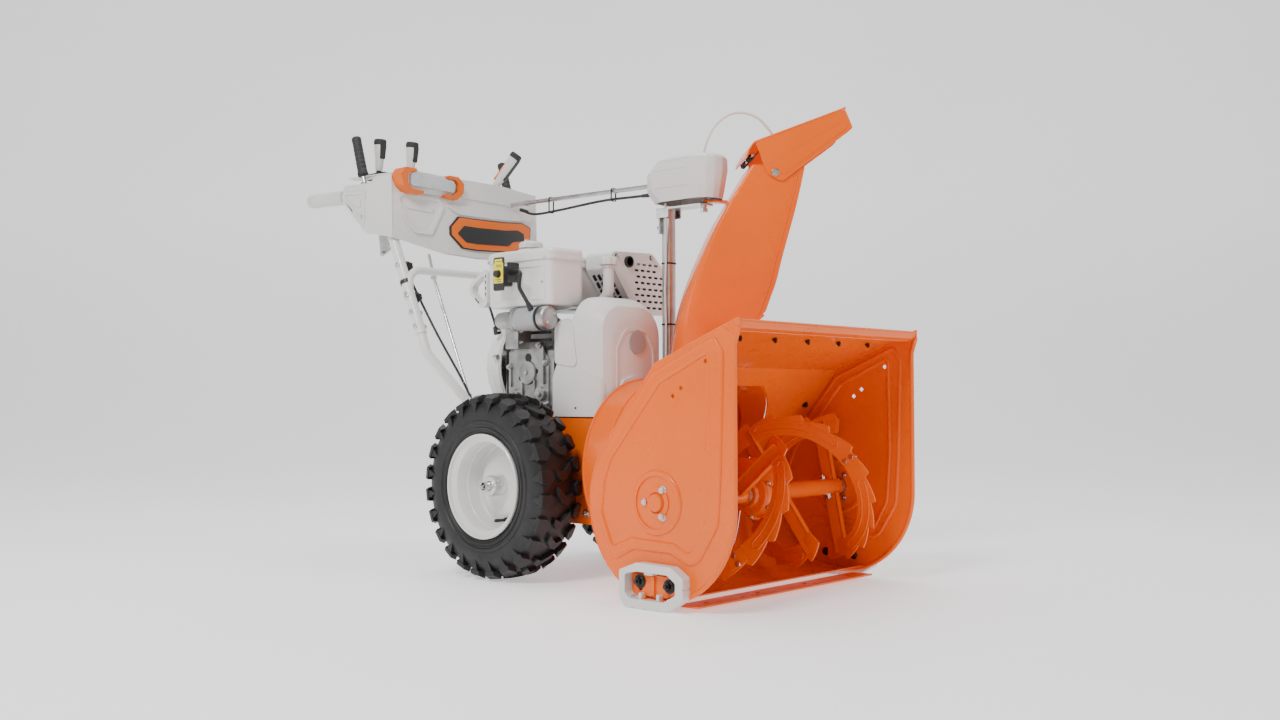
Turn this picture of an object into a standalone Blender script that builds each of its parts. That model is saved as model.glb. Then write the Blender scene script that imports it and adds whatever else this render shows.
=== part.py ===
"""A two stage snowblower in metres, +Z up. +Y points back to the operator, -X is the operator's right.

Every piece is built in the machine's own frame, whose Y is 0 at the front edge of the side plates, X is 0
on the middle plane and Z is 0 on the ground. The empty "machine" then moves all of it, so that the world's
origin lies under the middle of the whole machine's box.
"""

import math

import bmesh
import bpy
from mathutils import Matrix, Vector

# The middle of the machine's box, in the machine's own frame
BOX_MID_X = 0.0306
BOX_MID_Y = 0.7140

GAP = 0.0003  # between pieces that touch
SLIP = 0.0008  # between a tube and the faceted tube round it
SHEET = 0.0025

# Auger housing
PLATE_X = 0.308
PLATE_FRONT = 0.003
HOUSING_CENTRE = (0.183, 0.193)
HOUSING_R = 0.180
PLATE_REAR_CORNER = (0.193, 0.460)
PLATE_TOP_FRONT = (-0.009, 0.538)
HOUSING_TANGENT = math.radians(40)

# Auger and its gearcase
AUGER_Y = 0.188
AUGER_Z = 0.198
AUGER_R = 0.163
FLIGHT_WIDTH = 0.046
FLIGHT_TURN = math.radians(235)
AUGER_SHAFT_R = 0.0125
AUGER_TUBE_R = 0.0175
AUGER_INNER_X = 0.044
AUGER_OUTER_X = 0.288
WORM_WHEEL_R = 0.033

# Impeller and its drum
IMPELLER_Z = 0.243
DRUM_R = 0.191
DRUM_BACK = 0.500
DRUM_WALL = 0.003
IMPELLER_R = 0.178
IMPELLER_SHAFT_R = 0.0125

# The belt that drives the impeller
BELT_Y = 0.545
ENGINE_PULLEY_R = 0.038
IMPELLER_PULLEY_R = 0.098
GROOVE = 0.012

# Chute, which stands turned to the operator's left of straight ahead
CHUTE_X = 0.105
CHUTE_Y = 0.410
CHUTE_TURN = math.radians(46.7)
SPOUT_R = 0.0835
SPOUT_TOP = 0.4365
CHUTE_HALF_WIDTH = 0.075
CHUTE_WALL = 0.002
CHUTE_TOP = 0.905
DEFLECTOR_PIVOT = (0.098, 0.925)

# Wheels
AXLE_Y = 0.716
WHEEL_R = 0.203
AXLE_R = 0.0095
TYRE_MID_X = 0.2250
TYRE_HALF_WIDTH = 0.061
RIM_R = 0.1115

# Tractor frame
FRAME_X = 0.138
FRAME_FRONT = DRUM_BACK + 0.0035
FRAME_BACK = 0.900
FRAME_LOW = 0.122
FRAME_TOP = 0.350

# Engine
CRANK_Z = 0.470
ENGINE_BASE = FRAME_TOP + GAP
RECOIL_R = 0.132
TANK_NEAR_X = -0.172

# Handlebars and dash
HANDLE_X = 0.220
GRIP_X = 0.240
GRIP_END = 1.437
UPPER_TUBE_R = 0.0127
LOWER_TUBE_R = 0.0111
GRIP_R = 0.0175
LEVER_PIVOT = (1.205, 0.918)

WHITE = (0.80, 0.79, 0.77)
ORANGE = (0.90, 0.19, 0.02)
BLACK = (0.02, 0.02, 0.02)
STEEL = (0.55, 0.55, 0.56)
ALUMINIUM = (0.62, 0.62, 0.62)


# ---------------------------------------------------------------- the scene and its materials


def clear_scene():
    for obj in list(bpy.data.objects):
        bpy.data.objects.remove(obj)


def collection(name):
    made = bpy.data.collections.new(name)
    bpy.context.scene.collection.children.link(made)
    return made


def material(name, colour, roughness, metallic=0.0):
    made = bpy.data.materials.get(name)
    if made is None:
        made = bpy.data.materials.new(name)
        made.use_nodes = True
        shader = made.node_tree.nodes["Principled BSDF"]
        shader.inputs["Base Color"].default_value = (*colour, 1.0)
        shader.inputs["Roughness"].default_value = roughness
        shader.inputs["Metallic"].default_value = metallic
        made.diffuse_color = (*colour, 1.0)
    return made


MATERIALS = {
    "orange_paint": (ORANGE, 0.3, 0.0),
    "white_paint": (WHITE, 0.35, 0.0),
    "white_plastic": (WHITE, 0.5, 0.0),
    "black_plastic": (BLACK, 0.5, 0.0),
    "rubber": (BLACK, 0.8, 0.0),
    "steel": (STEEL, 0.35, 1.0),
    "aluminium": (ALUMINIUM, 0.5, 1.0),
    "red_plastic": ((0.7, 0.02, 0.02), 0.4, 0.0),
    "lens": ((0.85, 0.87, 0.9), 0.1, 0.0),
}


# ---------------------------------------------------------------- shapes


def new_object(name, mesh):
    obj = bpy.data.objects.new(name, mesh)
    parts.objects.link(obj)
    return obj


def face_out(bm):
    """Turns the faces outwards. The signed volume settles it where a ring misleads the first step."""
    bmesh.ops.recalc_face_normals(bm, faces=bm.faces)
    if all(edge.is_manifold for edge in bm.edges) and bm.calc_volume(signed=True) < 0:
        bmesh.ops.reverse_faces(bm, faces=bm.faces)


def from_bmesh(name, bm):
    face_out(bm)
    mesh = bpy.data.meshes.new(name)
    bm.to_mesh(mesh)
    bm.free()
    return new_object(name, mesh)


def evaluated_mesh(obj):
    """The object with its modifiers applied, as a mesh object of the same name. The old one is removed.

    A Boolean's result already faces the right way, and a room inside it has to keep facing inwards.
    """
    was_cut = any(step.type == "BOOLEAN" for step in obj.modifiers)
    bpy.context.view_layer.update()
    graph = bpy.context.evaluated_depsgraph_get()
    mesh = bpy.data.meshes.new_from_object(obj.evaluated_get(graph), depsgraph=graph)
    mesh.transform(obj.matrix_world)
    name = obj.name
    bpy.data.objects.remove(obj)
    bm = bmesh.new()
    bm.from_mesh(mesh)
    bmesh.ops.remove_doubles(bm, verts=bm.verts, dist=1e-6)
    if not was_cut:
        face_out(bm)
    bm.to_mesh(mesh)
    bm.free()
    mesh.name = name
    return new_object(name, mesh)


def box(name, low, high):
    bm = bmesh.new()
    bmesh.ops.create_cube(bm, size=1.0)
    size = [b - a for a, b in zip(low, high)]
    middle = [(a + b) / 2 for a, b in zip(low, high)]
    bmesh.ops.scale(bm, vec=size, verts=bm.verts)
    bmesh.ops.translate(bm, vec=middle, verts=bm.verts)
    return from_bmesh(name, bm)


def rod(name, start, end, radius, end_radius=None, segments=20):
    """A solid cylinder or cone between two points."""
    start, end = Vector(start), Vector(end)
    along = end - start
    bm = bmesh.new()
    bmesh.ops.create_cone(
        bm,
        cap_ends=True,
        segments=segments,
        radius1=radius,
        radius2=radius if end_radius is None else end_radius,
        depth=along.length,
    )
    turn = along.to_track_quat("Z", "Y").to_matrix().to_4x4()
    bm.transform(Matrix.Translation((start + end) / 2) @ turn)
    return from_bmesh(name, bm)


def x_rod(name, start_x, end_x, y, z, radius, segments=20):
    return rod(name, (start_x, y, z), (end_x, y, z), radius, segments=segments)


def y_rod(name, start_y, end_y, x, z, radius, segments=20):
    return rod(name, (x, start_y, z), (x, end_y, z), radius, segments=segments)


PLANES = {
    "x": Matrix(((0, 0, 1, 0), (1, 0, 0, 0), (0, 1, 0, 0), (0, 0, 0, 1))),  # outline in Y, Z
    "y": Matrix(((1, 0, 0, 0), (0, 0, 1, 0), (0, 1, 0, 0), (0, 0, 0, 1))),  # outline in X, Z
    "z": Matrix.Identity(4),  # outline in X, Y
}


def slab(name, outline, axis, low, high, holes=()):
    """A flat outline, with any holes, made solid between two places along an axis."""
    curve = bpy.data.curves.new(name, "CURVE")
    curve.dimensions = "2D"
    curve.fill_mode = "BOTH"
    curve.extrude = (high - low) / 2
    for points in (outline, *holes):
        spline = curve.splines.new("POLY")
        spline.points.add(len(points) - 1)
        for point, (a, b) in zip(spline.points, points):
            point.co = (a, b, 0, 1)
        spline.use_cyclic_u = True
    obj = new_object(name, curve)
    obj.matrix_world = PLANES[axis] @ Matrix.Translation((0, 0, (low + high) / 2))
    return evaluated_mesh(obj)


def pipe(name, points, radius, sides=10):
    """A round bar along points, with filled ends."""
    curve = bpy.data.curves.new(name, "CURVE")
    curve.dimensions = "3D"
    curve.bevel_depth = radius
    curve.bevel_resolution = (sides - 4) // 2
    curve.use_fill_caps = True
    spline = curve.splines.new("POLY")
    spline.points.add(len(points) - 1)
    for point, place in zip(spline.points, points):
        point.co = (*place, 1)
    return evaluated_mesh(new_object(name, curve))


def turned(name, profile, axis, centre, steps=32):
    """A closed profile of (radius, height) turned round an axis through centre, heights along the axis."""
    bm = bmesh.new()
    rings = []
    for step in range(steps):
        angle = 2 * math.pi * step / steps
        rings.append([bm.verts.new((r * math.cos(angle), r * math.sin(angle), h)) for r, h in profile])
    for ring, after in zip(rings, rings[1:] + rings[:1]):
        for i in range(len(profile)):
            j = (i + 1) % len(profile)
            bm.faces.new((ring[i], ring[j], after[j], after[i]))
    bmesh.ops.remove_doubles(bm, verts=bm.verts, dist=1e-7)
    bmesh.ops.dissolve_degenerate(bm, edges=bm.edges, dist=1e-7)
    bm.transform(Matrix.Translation(centre) @ Vector(axis).to_track_quat("Z", "Y").to_matrix().to_4x4())
    return from_bmesh(name, bm)


def shell(name, rows, thickness, closed=False):
    """A sheet through rows of points, given thickness to the side that its normals point away from."""
    bm = bmesh.new()
    grid = [[bm.verts.new(point) for point in row] for row in rows]
    for row, after in zip(grid, grid[1:]):
        count = len(row)
        for i in range(count if closed else count - 1):
            j = (i + 1) % count
            bm.faces.new((row[i], row[j], after[j], after[i]))
    obj = from_bmesh(name, bm)
    solid = obj.modifiers.new("Thickness", "SOLIDIFY")
    solid.thickness = thickness
    solid.offset = -1
    solid.use_even_offset = True
    return evaluated_mesh(obj)


def arc(centre, radius, start, end, count):
    """Points on an arc, angles in radians, both ends included."""
    turns = [start + (end - start) * i / (count - 1) for i in range(count)]
    return [(centre[0] + radius * math.cos(t), centre[1] + radius * math.sin(t)) for t in turns]


def rounded(corners, count=4):
    """An outline whose corners, given as (a, b, radius), are rounded."""
    points = []
    for i, (a, b, radius) in enumerate(corners):
        here = Vector((a, b))
        before = (Vector(corners[i - 1][:2]) - here).normalized()
        after = (Vector(corners[(i + 1) % len(corners)][:2]) - here).normalized()
        if radius == 0:
            points.append((a, b))
            continue
        half = before.angle(after) / 2
        reach = radius / math.tan(half)
        first, last = here + before * reach, here + after * reach
        middle = here + (before + after).normalized() * (radius / math.sin(half))
        for step in range(count + 1):
            t = step / count
            spoke = (first - middle).lerp(last - middle, t).normalized() * radius
            points.append(tuple(middle + spoke))
    return points


def smooth_path(points, per_span=4):
    """Points on a smooth curve through the given ones."""
    places = [Vector(p) for p in points]
    padded = [2 * places[0] - places[1], *places, 2 * places[-1] - places[-2]]
    path = []
    for i in range(1, len(padded) - 2):
        p0, p1, p2, p3 = padded[i - 1 : i + 3]
        for step in range(per_span):
            t = step / per_span
            path.append(
                0.5
                * (
                    2 * p1
                    + (p2 - p0) * t
                    + (2 * p0 - 5 * p1 + 4 * p2 - p3) * t**2
                    + (3 * p1 - p0 - 3 * p2 + p3) * t**3
                )
            )
    return [tuple(p) for p in (*path, places[-1])]


def bent_path(points, radius, count=4):
    """Straight runs between points, with each bend rounded to radius."""
    places = [Vector(p) for p in points]
    path = [places[0]]
    for before, here, after in zip(places, places[1:], places[2:]):
        back, on = (before - here).normalized(), (after - here).normalized()
        half = back.angle(on) / 2
        reach = radius / math.tan(half)
        middle = here + (back + on).normalized() * (radius / math.sin(half))
        first, last = here + back * reach - middle, here + on * reach - middle
        path += [middle + first.lerp(last, step / count).normalized() * radius for step in range(count + 1)]
    return [tuple(p) for p in (*path, places[-1])]


def boolean(obj, other, operation):
    step = obj.modifiers.new(operation.title(), "BOOLEAN")
    step.operation = operation
    step.solver = "EXACT"
    step.object = other
    made = evaluated_mesh(obj)
    bpy.data.objects.remove(other)
    return made


def join(obj, *others):
    for other in others:
        obj = boolean(obj, other, "UNION")
    return obj


def cut(obj, *cutters):
    for cutter in cutters:
        obj = boolean(obj, cutter, "DIFFERENCE")
    return obj


def finish(obj, slot, pivot=(0, 0, 0)):
    """Colours a piece, puts its origin at its pivot and hangs it on the machine."""
    obj.data.transform(Matrix.Translation(-Vector(pivot)))
    obj.location = pivot
    obj.parent = machine
    obj.data.materials.clear()
    obj.data.materials.append(material(slot, *MATERIALS[slot]))
    obj.data.shade_smooth()
    obj.data.set_sharp_from_angle(angle=math.radians(35))
    return obj


def mirrored(obj, name, slot, pivot=(0, 0, 0)):
    """The same piece on the other side of the middle plane."""
    mesh = obj.data.copy()
    mesh.transform(Matrix.Diagonal((-1, 1, 1, 1)) @ Matrix.Translation(obj.location))
    mesh.flip_normals()
    mesh.name = name
    return finish(new_object(name, mesh), slot, pivot)


# ---------------------------------------------------------------- auger housing


def housing_arc(radius, start, end, count):
    return arc(HOUSING_CENTRE, radius, start, end, count)


def plate_outline(inset=0.0):
    """Round below, tangent to the front edge and to the slope behind. A positive inset shrinks it."""
    lean = Vector((math.cos(HOUSING_TANGENT), math.sin(HOUSING_TANGENT))) * inset
    rear = (PLATE_REAR_CORNER[0] - lean.x, PLATE_REAR_CORNER[1] - lean.y)
    return [
        (PLATE_TOP_FRONT[0] + inset, PLATE_TOP_FRONT[1] - inset),
        (PLATE_TOP_FRONT[0] + inset, 0.518),
        (PLATE_FRONT + inset, 0.490),
        *housing_arc(HOUSING_R - inset, math.pi, 2 * math.pi + HOUSING_TANGENT, 26),
        rear,
    ]


def wrap_path(inset):
    """The sheet between the plates, from the rolled front lip over the top, down the back and round below."""
    outline = plate_outline(inset)
    arc_start, arc_end = 3, 3 + 26
    around = outline[arc_start:arc_end]
    under = [p for p in around if p[0] > 0.118]
    lip = [(0.012, 0.514), (-0.004, 0.519), (-0.0075, 0.530)]
    rear = (PLATE_REAR_CORNER[0], PLATE_REAR_CORNER[1] - inset)
    return [*lip, (-0.001, 0.5385 - inset), rear, *under[::-1]]


def side_plates():
    holes = []
    for y, z in ((0.070, 0.4605), (0.129, 0.412), (0.149, 0.397)):
        size = 0.0055
        holes.append([(y - size, z), (y, z - size), (y + size, z), (y, z + size)])
    bore = arc((AUGER_Y, AUGER_Z), AUGER_SHAFT_R + GAP, 0, 2 * math.pi, 21)[:-1]
    plate = slab("side_plate_right", plate_outline(), "x", -PLATE_X, -PLATE_X + SHEET, (*holes, bore))
    finish(plate, "orange_paint")
    mirrored(plate, "side_plate_left", "orange_paint")


def housing_wrap():
    reach = PLATE_X - SHEET - GAP
    path = wrap_path(0.003)
    rows = [[(x, y, z) for x in (-reach, reach)] for y, z in path]
    wrap = shell("housing_wrap", rows, SHEET)
    mouth = rod("mouth", (0, 0.222, IMPELLER_Z), (0, 0.45, IMPELLER_Z), DRUM_R - DRUM_WALL, segments=40)
    finish(cut(wrap, mouth), "orange_paint")


def impeller_drum():
    """A short drum behind the housing, with a round spout up to the chute."""
    drum = rod("impeller_drum", (0, 0.18, IMPELLER_Z), (0, DRUM_BACK, IMPELLER_Z), DRUM_R, segments=40)
    spout = rod("spout", (CHUTE_X, CHUTE_Y, 0.30), (CHUTE_X, CHUTE_Y, SPOUT_TOP), SPOUT_R, segments=24)
    inner_r = DRUM_R - DRUM_WALL
    inner_back = DRUM_BACK - DRUM_WALL
    hollow = rod("hollow", (0, 0.10, IMPELLER_Z), (0, inner_back, IMPELLER_Z), inner_r, segments=40)
    throat_r = SPOUT_R - DRUM_WALL
    throat = rod("throat", (CHUTE_X, CHUTE_Y, 0.25), (CHUTE_X, CHUTE_Y, 0.46), throat_r, segments=24)
    bore = rod("bore", (0, 0.45, IMPELLER_Z), (0, 0.55, IMPELLER_Z), IMPELLER_SHAFT_R + GAP)
    # the inset of the housing's outside face, less the gap, is what the drum's front edge meets
    inside = slab("inside", plate_outline(0.003 - SHEET / 2 - 0.0016), "x", -0.30, 0.30)
    finish(cut(join(drum, spout), hollow, throat, bore, inside), "orange_paint")


def scraper_blade():
    blade = slab(
        "scraper_blade",
        [(0.098, 0.0085), (0.150, 0.0075), (0.150, 0.0115), (0.098, 0.0125)],
        "x",
        -0.296,
        0.296,
    )
    finish(blade, "orange_paint")


def skid_shoes():
    outer = rounded(
        [
            (0.264, 0.070, 0.01),
            (0.221, 0.086, 0.02),
            (0.136, 0.084, 0.015),
            (0.107, 0.066, 0.012),
            (0.107, 0.026, 0.012),
            (0.148, 0.000, 0.008),
            (0.248, 0.000, 0.008),
            (0.264, 0.018, 0.01),
        ],
        2,
    )
    inner = rounded(
        [
            (0.250, 0.064, 0.008),
            (0.218, 0.070, 0.01),
            (0.145, 0.069, 0.01),
            (0.125, 0.056, 0.006),
            (0.125, 0.034, 0.006),
            (0.154, 0.018, 0.008),
            (0.236, 0.018, 0.008),
            (0.250, 0.028, 0.008),
        ],
        2,
    )
    shoe = slab("skid_shoe_right", outer, "x", -PLATE_X - 0.0220, -PLATE_X - GAP, [inner])
    finish(shoe, "white_plastic")
    mirrored(shoe, "skid_shoe_left", "white_plastic")
    bracket = [(0.243, 0.062), (0.135, 0.062), (0.135, 0.034), (0.160, 0.0235), (0.232, 0.0235)]
    plate = slab("skid_bracket_right", bracket, "x", -PLATE_X - 0.0075, -PLATE_X - GAP)
    finish(plate, "orange_paint")
    mirrored(plate, "skid_bracket_left", "orange_paint")


# ---------------------------------------------------------------- auger and impeller


def ribbon(name, side, start_angle, turn, x_start, x_end, steps=26):
    """One helical flight: a flat steel band whose outer edge runs on the auger's radius."""
    inner, outer, half = AUGER_R - FLIGHT_WIDTH, AUGER_R, 0.0022
    bm = bmesh.new()
    rings = []
    for step in range(steps + 1):
        t = step / steps
        angle = start_angle + turn * t
        x = side * (x_start + (x_end - x_start) * t)
        ring = []
        for radius, offset in ((inner, -half), (outer, -half), (outer, half), (inner, half)):
            y = AUGER_Y + radius * math.cos(angle)
            z = AUGER_Z + radius * math.sin(angle)
            ring.append(bm.verts.new((x + offset, y, z)))
        rings.append(ring)
    for ring, after in zip(rings, rings[1:]):
        for i in range(4):
            j = (i + 1) % 4
            bm.faces.new((ring[i], ring[j], after[j], after[i]))
    bm.faces.new(rings[0])
    bm.faces.new(rings[-1])
    return from_bmesh(name, bm)


def auger(name, side, phase):
    """A hub tube with two ribbon flights, each held by a spoke at either end.

    Both augers' flights climb the same way round going outwards, so that both feed snow to the middle.
    """
    inner = side * AUGER_INNER_X
    outer = side * AUGER_OUTER_X
    hub = rod(name, (inner, AUGER_Y, AUGER_Z), (outer, AUGER_Y, AUGER_Z), AUGER_TUBE_R, segments=16)
    first, last = AUGER_INNER_X + 0.012, AUGER_OUTER_X - 0.008
    pieces = []
    for start in (phase, phase + math.pi):
        pieces.append(ribbon("flight", side, start, FLIGHT_TURN, first, last))
        for t in (0.06, 0.93):
            angle = start + FLIGHT_TURN * t
            x = side * (first + (last - first) * t)
            reach = AUGER_R - FLIGHT_WIDTH * 0.45
            tip = (x, AUGER_Y + reach * math.cos(angle), AUGER_Z + reach * math.sin(angle))
            pieces.append(rod("spoke", (x, AUGER_Y, AUGER_Z), tip, 0.0095, segments=6))
    made = join(hub, *pieces)
    bore = x_rod("bore", inner * 0.5, outer * 1.2, AUGER_Y, AUGER_Z, AUGER_SHAFT_R + GAP, 16)
    return finish(cut(made, bore), "orange_paint", (0, AUGER_Y, AUGER_Z))


def auger_shaft():
    """The cross shaft with the worm wheel keyed to its middle."""
    reach = PLATE_X + 0.006
    shaft = x_rod("auger_shaft", -reach, reach, AUGER_Y, AUGER_Z, AUGER_SHAFT_R, 16)
    wheel = x_rod("wheel", -0.009, 0.009, AUGER_Y, AUGER_Z, WORM_WHEEL_R, 24)
    finish(join(shaft, wheel), "steel", (0, AUGER_Y, AUGER_Z))


def gearcase():
    """A hollow case round the worm wheel and the worm above it, open only at its shaft bores."""
    wheel_house = x_rod("gearcase", -0.034, 0.034, AUGER_Y, AUGER_Z, 0.045, 24)
    snout = y_rod("snout", 0.128, 0.262, 0, IMPELLER_Z, 0.027)
    wheel_room = x_rod("room", -0.027, 0.027, AUGER_Y, AUGER_Z, 0.038, 24)
    worm_room = y_rod("worm_room", 0.140, 0.250, 0, IMPELLER_Z, 0.019)
    cross_bore = x_rod("cross_bore", -0.1, 0.1, AUGER_Y, AUGER_Z, AUGER_SHAFT_R + GAP, 16)
    rear_bore = y_rod("rear_bore", 0.20, 0.30, 0, IMPELLER_Z, IMPELLER_SHAFT_R + GAP, 16)
    finish(cut(join(wheel_house, snout), wheel_room, worm_room, cross_bore, rear_bore), "orange_paint")


def impeller_shaft():
    shaft = y_rod("impeller_shaft", 0.244, 0.572, 0, IMPELLER_Z, IMPELLER_SHAFT_R, 16)
    # the worm's core, clear of the wheel below it
    neck = y_rod("neck", 0.145, 0.246, 0, IMPELLER_Z, 0.0105, 16)
    sheave = pulley("sheave", BELT_Y, IMPELLER_Z, 0, IMPELLER_PULLEY_R, 0.010)
    finish(join(shaft, neck, sheave), "steel", (0, 0, IMPELLER_Z))


def impeller():
    """A hub and three blades that sweep the drum."""
    front, back = 0.385, 0.485
    hub = rod("impeller", (0, front - 0.03, IMPELLER_Z), (0, back, IMPELLER_Z), 0.024, segments=18)
    disc = rod("disc", (0, back - 0.006, IMPELLER_Z), (0, back, IMPELLER_Z), 0.085, segments=24)
    pieces = [disc]
    for blade in range(3):
        angle = math.radians(35 + 120 * blade)
        plate = box("blade", (0.015, front, -0.0025), (IMPELLER_R, back - 0.001, 0.0025))
        lip = box("lip", (IMPELLER_R - 0.030, front, -0.0025), (IMPELLER_R - 0.004, front + 0.005, 0.024))
        for piece in (plate, lip):
            piece.data.transform(Matrix.Translation((0, 0, IMPELLER_Z)) @ Matrix.Rotation(-angle, 4, "Y"))
            pieces.append(piece)
    bore = rod("bore", (0, 0.3, IMPELLER_Z), (0, 0.6, IMPELLER_Z), IMPELLER_SHAFT_R + GAP, segments=16)
    finish(cut(join(hub, *pieces), bore), "orange_paint", (0, 0, IMPELLER_Z))


def pulley(name, y, z, x, radius, bore, groove=GROOVE):
    """A V pulley on a shaft along Y, the groove in the middle of its width."""
    half = 0.011
    profile = [
        (bore, -half),
        (radius, -half),
        (radius, -half + 0.002),
        (radius - groove, -0.0045),
        (radius - groove, 0.0045),
        (radius, half - 0.002),
        (radius, half),
        (bore, half),
    ]
    return turned(name, profile, (0, 1, 0), (x, y, z), steps=20)


# ---------------------------------------------------------------- chute


def chute_frame():
    """From the chute's own axes, forward as its throw, to the machine's."""
    return Matrix.Translation((CHUTE_X, CHUTE_Y, 0)) @ Matrix.Rotation(CHUTE_TURN, 4, "Z")


def in_chute(side, forward, height):
    """A place given by its reach to the chute's left, along its throw, and above the ground."""
    return chute_frame() @ Vector((side, -forward, height))


# height, back and front of the chute, and roundness of its back, from round at the foot to square above
CHUTE_LEVELS = (
    (0.4506, -0.077, 0.077, 1.0),
    (0.500, -0.073, 0.085, 0.95),
    (0.575, -0.060, 0.122, 0.75),
    (0.650, -0.037, 0.149, 0.55),
    (0.705, -0.014, 0.163, 0.40),
    (0.765, 0.014, 0.180, 0.25),
    (0.826, 0.049, 0.197, 0.15),
    (CHUTE_TOP, 0.097, 0.214, 0.12),
)


def chute_section(height, back, front, roundness, half_width=CHUTE_HALF_WIDTH, count=9):
    """Half an oval behind and straight sides before it, joined across the front."""
    depth = max(0.012, roundness * half_width)
    power = 2 + 6 * (1 - roundness)
    points = []
    for step in range(count):
        angle = math.pi * (step / (count - 1) - 0.5)
        side, rear = math.sin(angle), math.cos(angle)
        points.append(
            (
                half_width * math.copysign(abs(side) ** (2 / power), side),
                back + depth * (1 - rear ** (2 / power)),
            )
        )
    bow = 0.5 * half_width * max(0.0, roundness - 0.7) / 0.3
    # the front's corners draw in towards the round foot
    corner = half_width * (1 - 0.3 * max(0.0, roundness - 0.75) / 0.25)
    across = [(corner, front - 0.4 * bow), (0, front), (-corner, front - 0.4 * bow)]
    return [in_chute(side, forward, height) for side, forward in (*points, *across)]


def chute():
    rows = [chute_section(*level) for level in CHUTE_LEVELS]
    tube = shell("chute", rows, CHUTE_WALL, closed=True)
    mouth = slab(
        "mouth",
        [(0.090, 0.560), (0.30, 0.560), (0.30, 1.0), (0.120, 1.0), (0.120, 0.88), (0.115, 0.70)],
        "x",
        -CHUTE_HALF_WIDTH + 0.0035,
        CHUTE_HALF_WIDTH - 0.0035,
    )
    # the slab's outline is in throw and height, so its first axis is turned to the chute's throw
    mouth.data.transform(chute_frame() @ Matrix(((1, 0, 0, 0), (0, -1, 0, 0), (0, 0, 1, 0), (0, 0, 0, 1))))
    mouth.data.flip_normals()
    foot = turned(
        "foot",
        [
            (0.0740, SPOUT_TOP + 0.0088),
            (0.0895, SPOUT_TOP + 0.0088),
            (0.0895, SPOUT_TOP + 0.0128),
            (0.0780, 0.4565),
            (0.0745, 0.4565),
        ],
        (0, 0, 1),
        (CHUTE_X, CHUTE_Y, 0),
        steps=24,
    )
    finish(join(cut(tube, mouth), foot), "orange_paint", (CHUTE_X, CHUTE_Y, 0))


def chute_ring():
    low, high = SPOUT_TOP + GAP, SPOUT_TOP + 0.0083
    inner, outer = SPOUT_R - DRUM_WALL, 0.0905
    ring = turned(
        "chute_ring",
        [(inner, low), (outer, low), (outer, high), (inner, high)],
        (0, 0, 1),
        (CHUTE_X, CHUTE_Y, 0),
    )
    finish(ring, "black_plastic")


def chute_gear():
    """The toothed wheel on the chute's upper pivot, with the arm that carries the chute's back."""
    low, high = 0.8450, 0.8500
    teeth = 16
    outline = []
    for tooth in range(teeth):
        for part, radius in ((0.0, 0.033), (0.3, 0.036), (0.6, 0.036), (0.9, 0.033)):
            angle = 2 * math.pi * (tooth + part) / teeth
            outline.append((CHUTE_X + radius * math.cos(angle), CHUTE_Y + radius * math.sin(angle)))
    wheel = slab("chute_gear", outline, "z", low, high)
    arm = box("arm", (-0.014, -0.0515, 0.8315), (0.014, 0.0, 0.8355))
    arm.data.transform(chute_frame())
    stem = rod("stem", (CHUTE_X, CHUTE_Y, 0.8180), (CHUTE_X, CHUTE_Y, 0.8540), 0.0060, segments=12)
    made = join(wheel, arm, stem)
    finish(made, "orange_paint", (CHUTE_X, CHUTE_Y, 0))


def deflector():
    """A hood whose top sheet runs on from the chute's back, with a side flange down each side."""
    outer, inner = 0.0795, 0.0772
    flange = rounded(
        [
            (0.104, 0.952, 0.0),
            (0.303, 1.030, 0.0),
            (0.320, 0.987, 0.008),
            (0.160, 0.868, 0.012),
            (0.131, 0.884, 0.010),
        ],
        3,
    )
    top = [
        (0.083, 0.923),
        (0.099, 0.9535),
        (0.104, 0.957),
        (0.304, 1.0345),
        (0.303, 1.030),
        (0.104, 0.952),
        (0.102, 0.9505),
        (0.087, 0.921),
    ]
    turn = chute_frame() @ Matrix(((1, 0, 0, 0), (0, -1, 0, 0), (0, 0, 1, 0), (0, 0, 0, 1)))
    pieces = [slab("deflector", top, "x", -outer, outer)]
    pieces += [slab("flange", flange, "x", *sorted((side * inner, side * outer))) for side in (-1, 1)]
    for piece in pieces:
        piece.data.transform(turn)
        piece.data.flip_normals()
    made = join(*pieces)
    finish(made, "orange_paint", tuple(in_chute(0, *DEFLECTOR_PIVOT)))


def deflector_cable():
    """The control cable that comes up through the chute's upper pivot and loops over to the deflector."""
    route = [
        (0.000, 0.9335),
        (0.004, 0.960),
        (0.022, 1.000),
        (0.052, 1.028),
        (0.086, 1.036),
        (0.120, 1.026),
        (0.145, 1.002),
        (0.158, 0.984),
    ]
    cable = pipe("deflector_cable", smooth_path([in_chute(0.0, s, z) for s, z in route], 3), 0.0028, sides=8)
    finish(cable, "white_plastic", (CHUTE_X, CHUTE_Y, 0))


POST_Y = 0.5145
POST_HALF = 0.0115


def chute_post():
    """A square tube on the back of the drum, with the bracket that carries the chute's upper pivot."""
    wall = 0.002
    square, inner = (
        [(CHUTE_X + a * half, POST_Y + b * half) for a, b in ((-1, -1), (1, -1), (1, 1), (-1, 1))]
        for half in (POST_HALF, POST_HALF - wall)
    )
    tube = slab("chute_post", square, "z", 0.305, 0.8250, [inner])
    bracket = rounded(
        [
            (CHUTE_X - 0.020, CHUTE_Y - 0.016, 0.012),
            (CHUTE_X + 0.020, CHUTE_Y - 0.016, 0.012),
            (CHUTE_X + 0.024, POST_Y + 0.020, 0.004),
            (CHUTE_X - 0.024, POST_Y + 0.020, 0.004),
        ]
    )
    bore = arc((CHUTE_X, CHUTE_Y), 0.0064, 0, 2 * math.pi, 13)[:-1]
    plate = slab("bracket", bracket, "z", 0.8240, 0.8280, [bore])
    finish(join(tube, plate), "steel")


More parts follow.
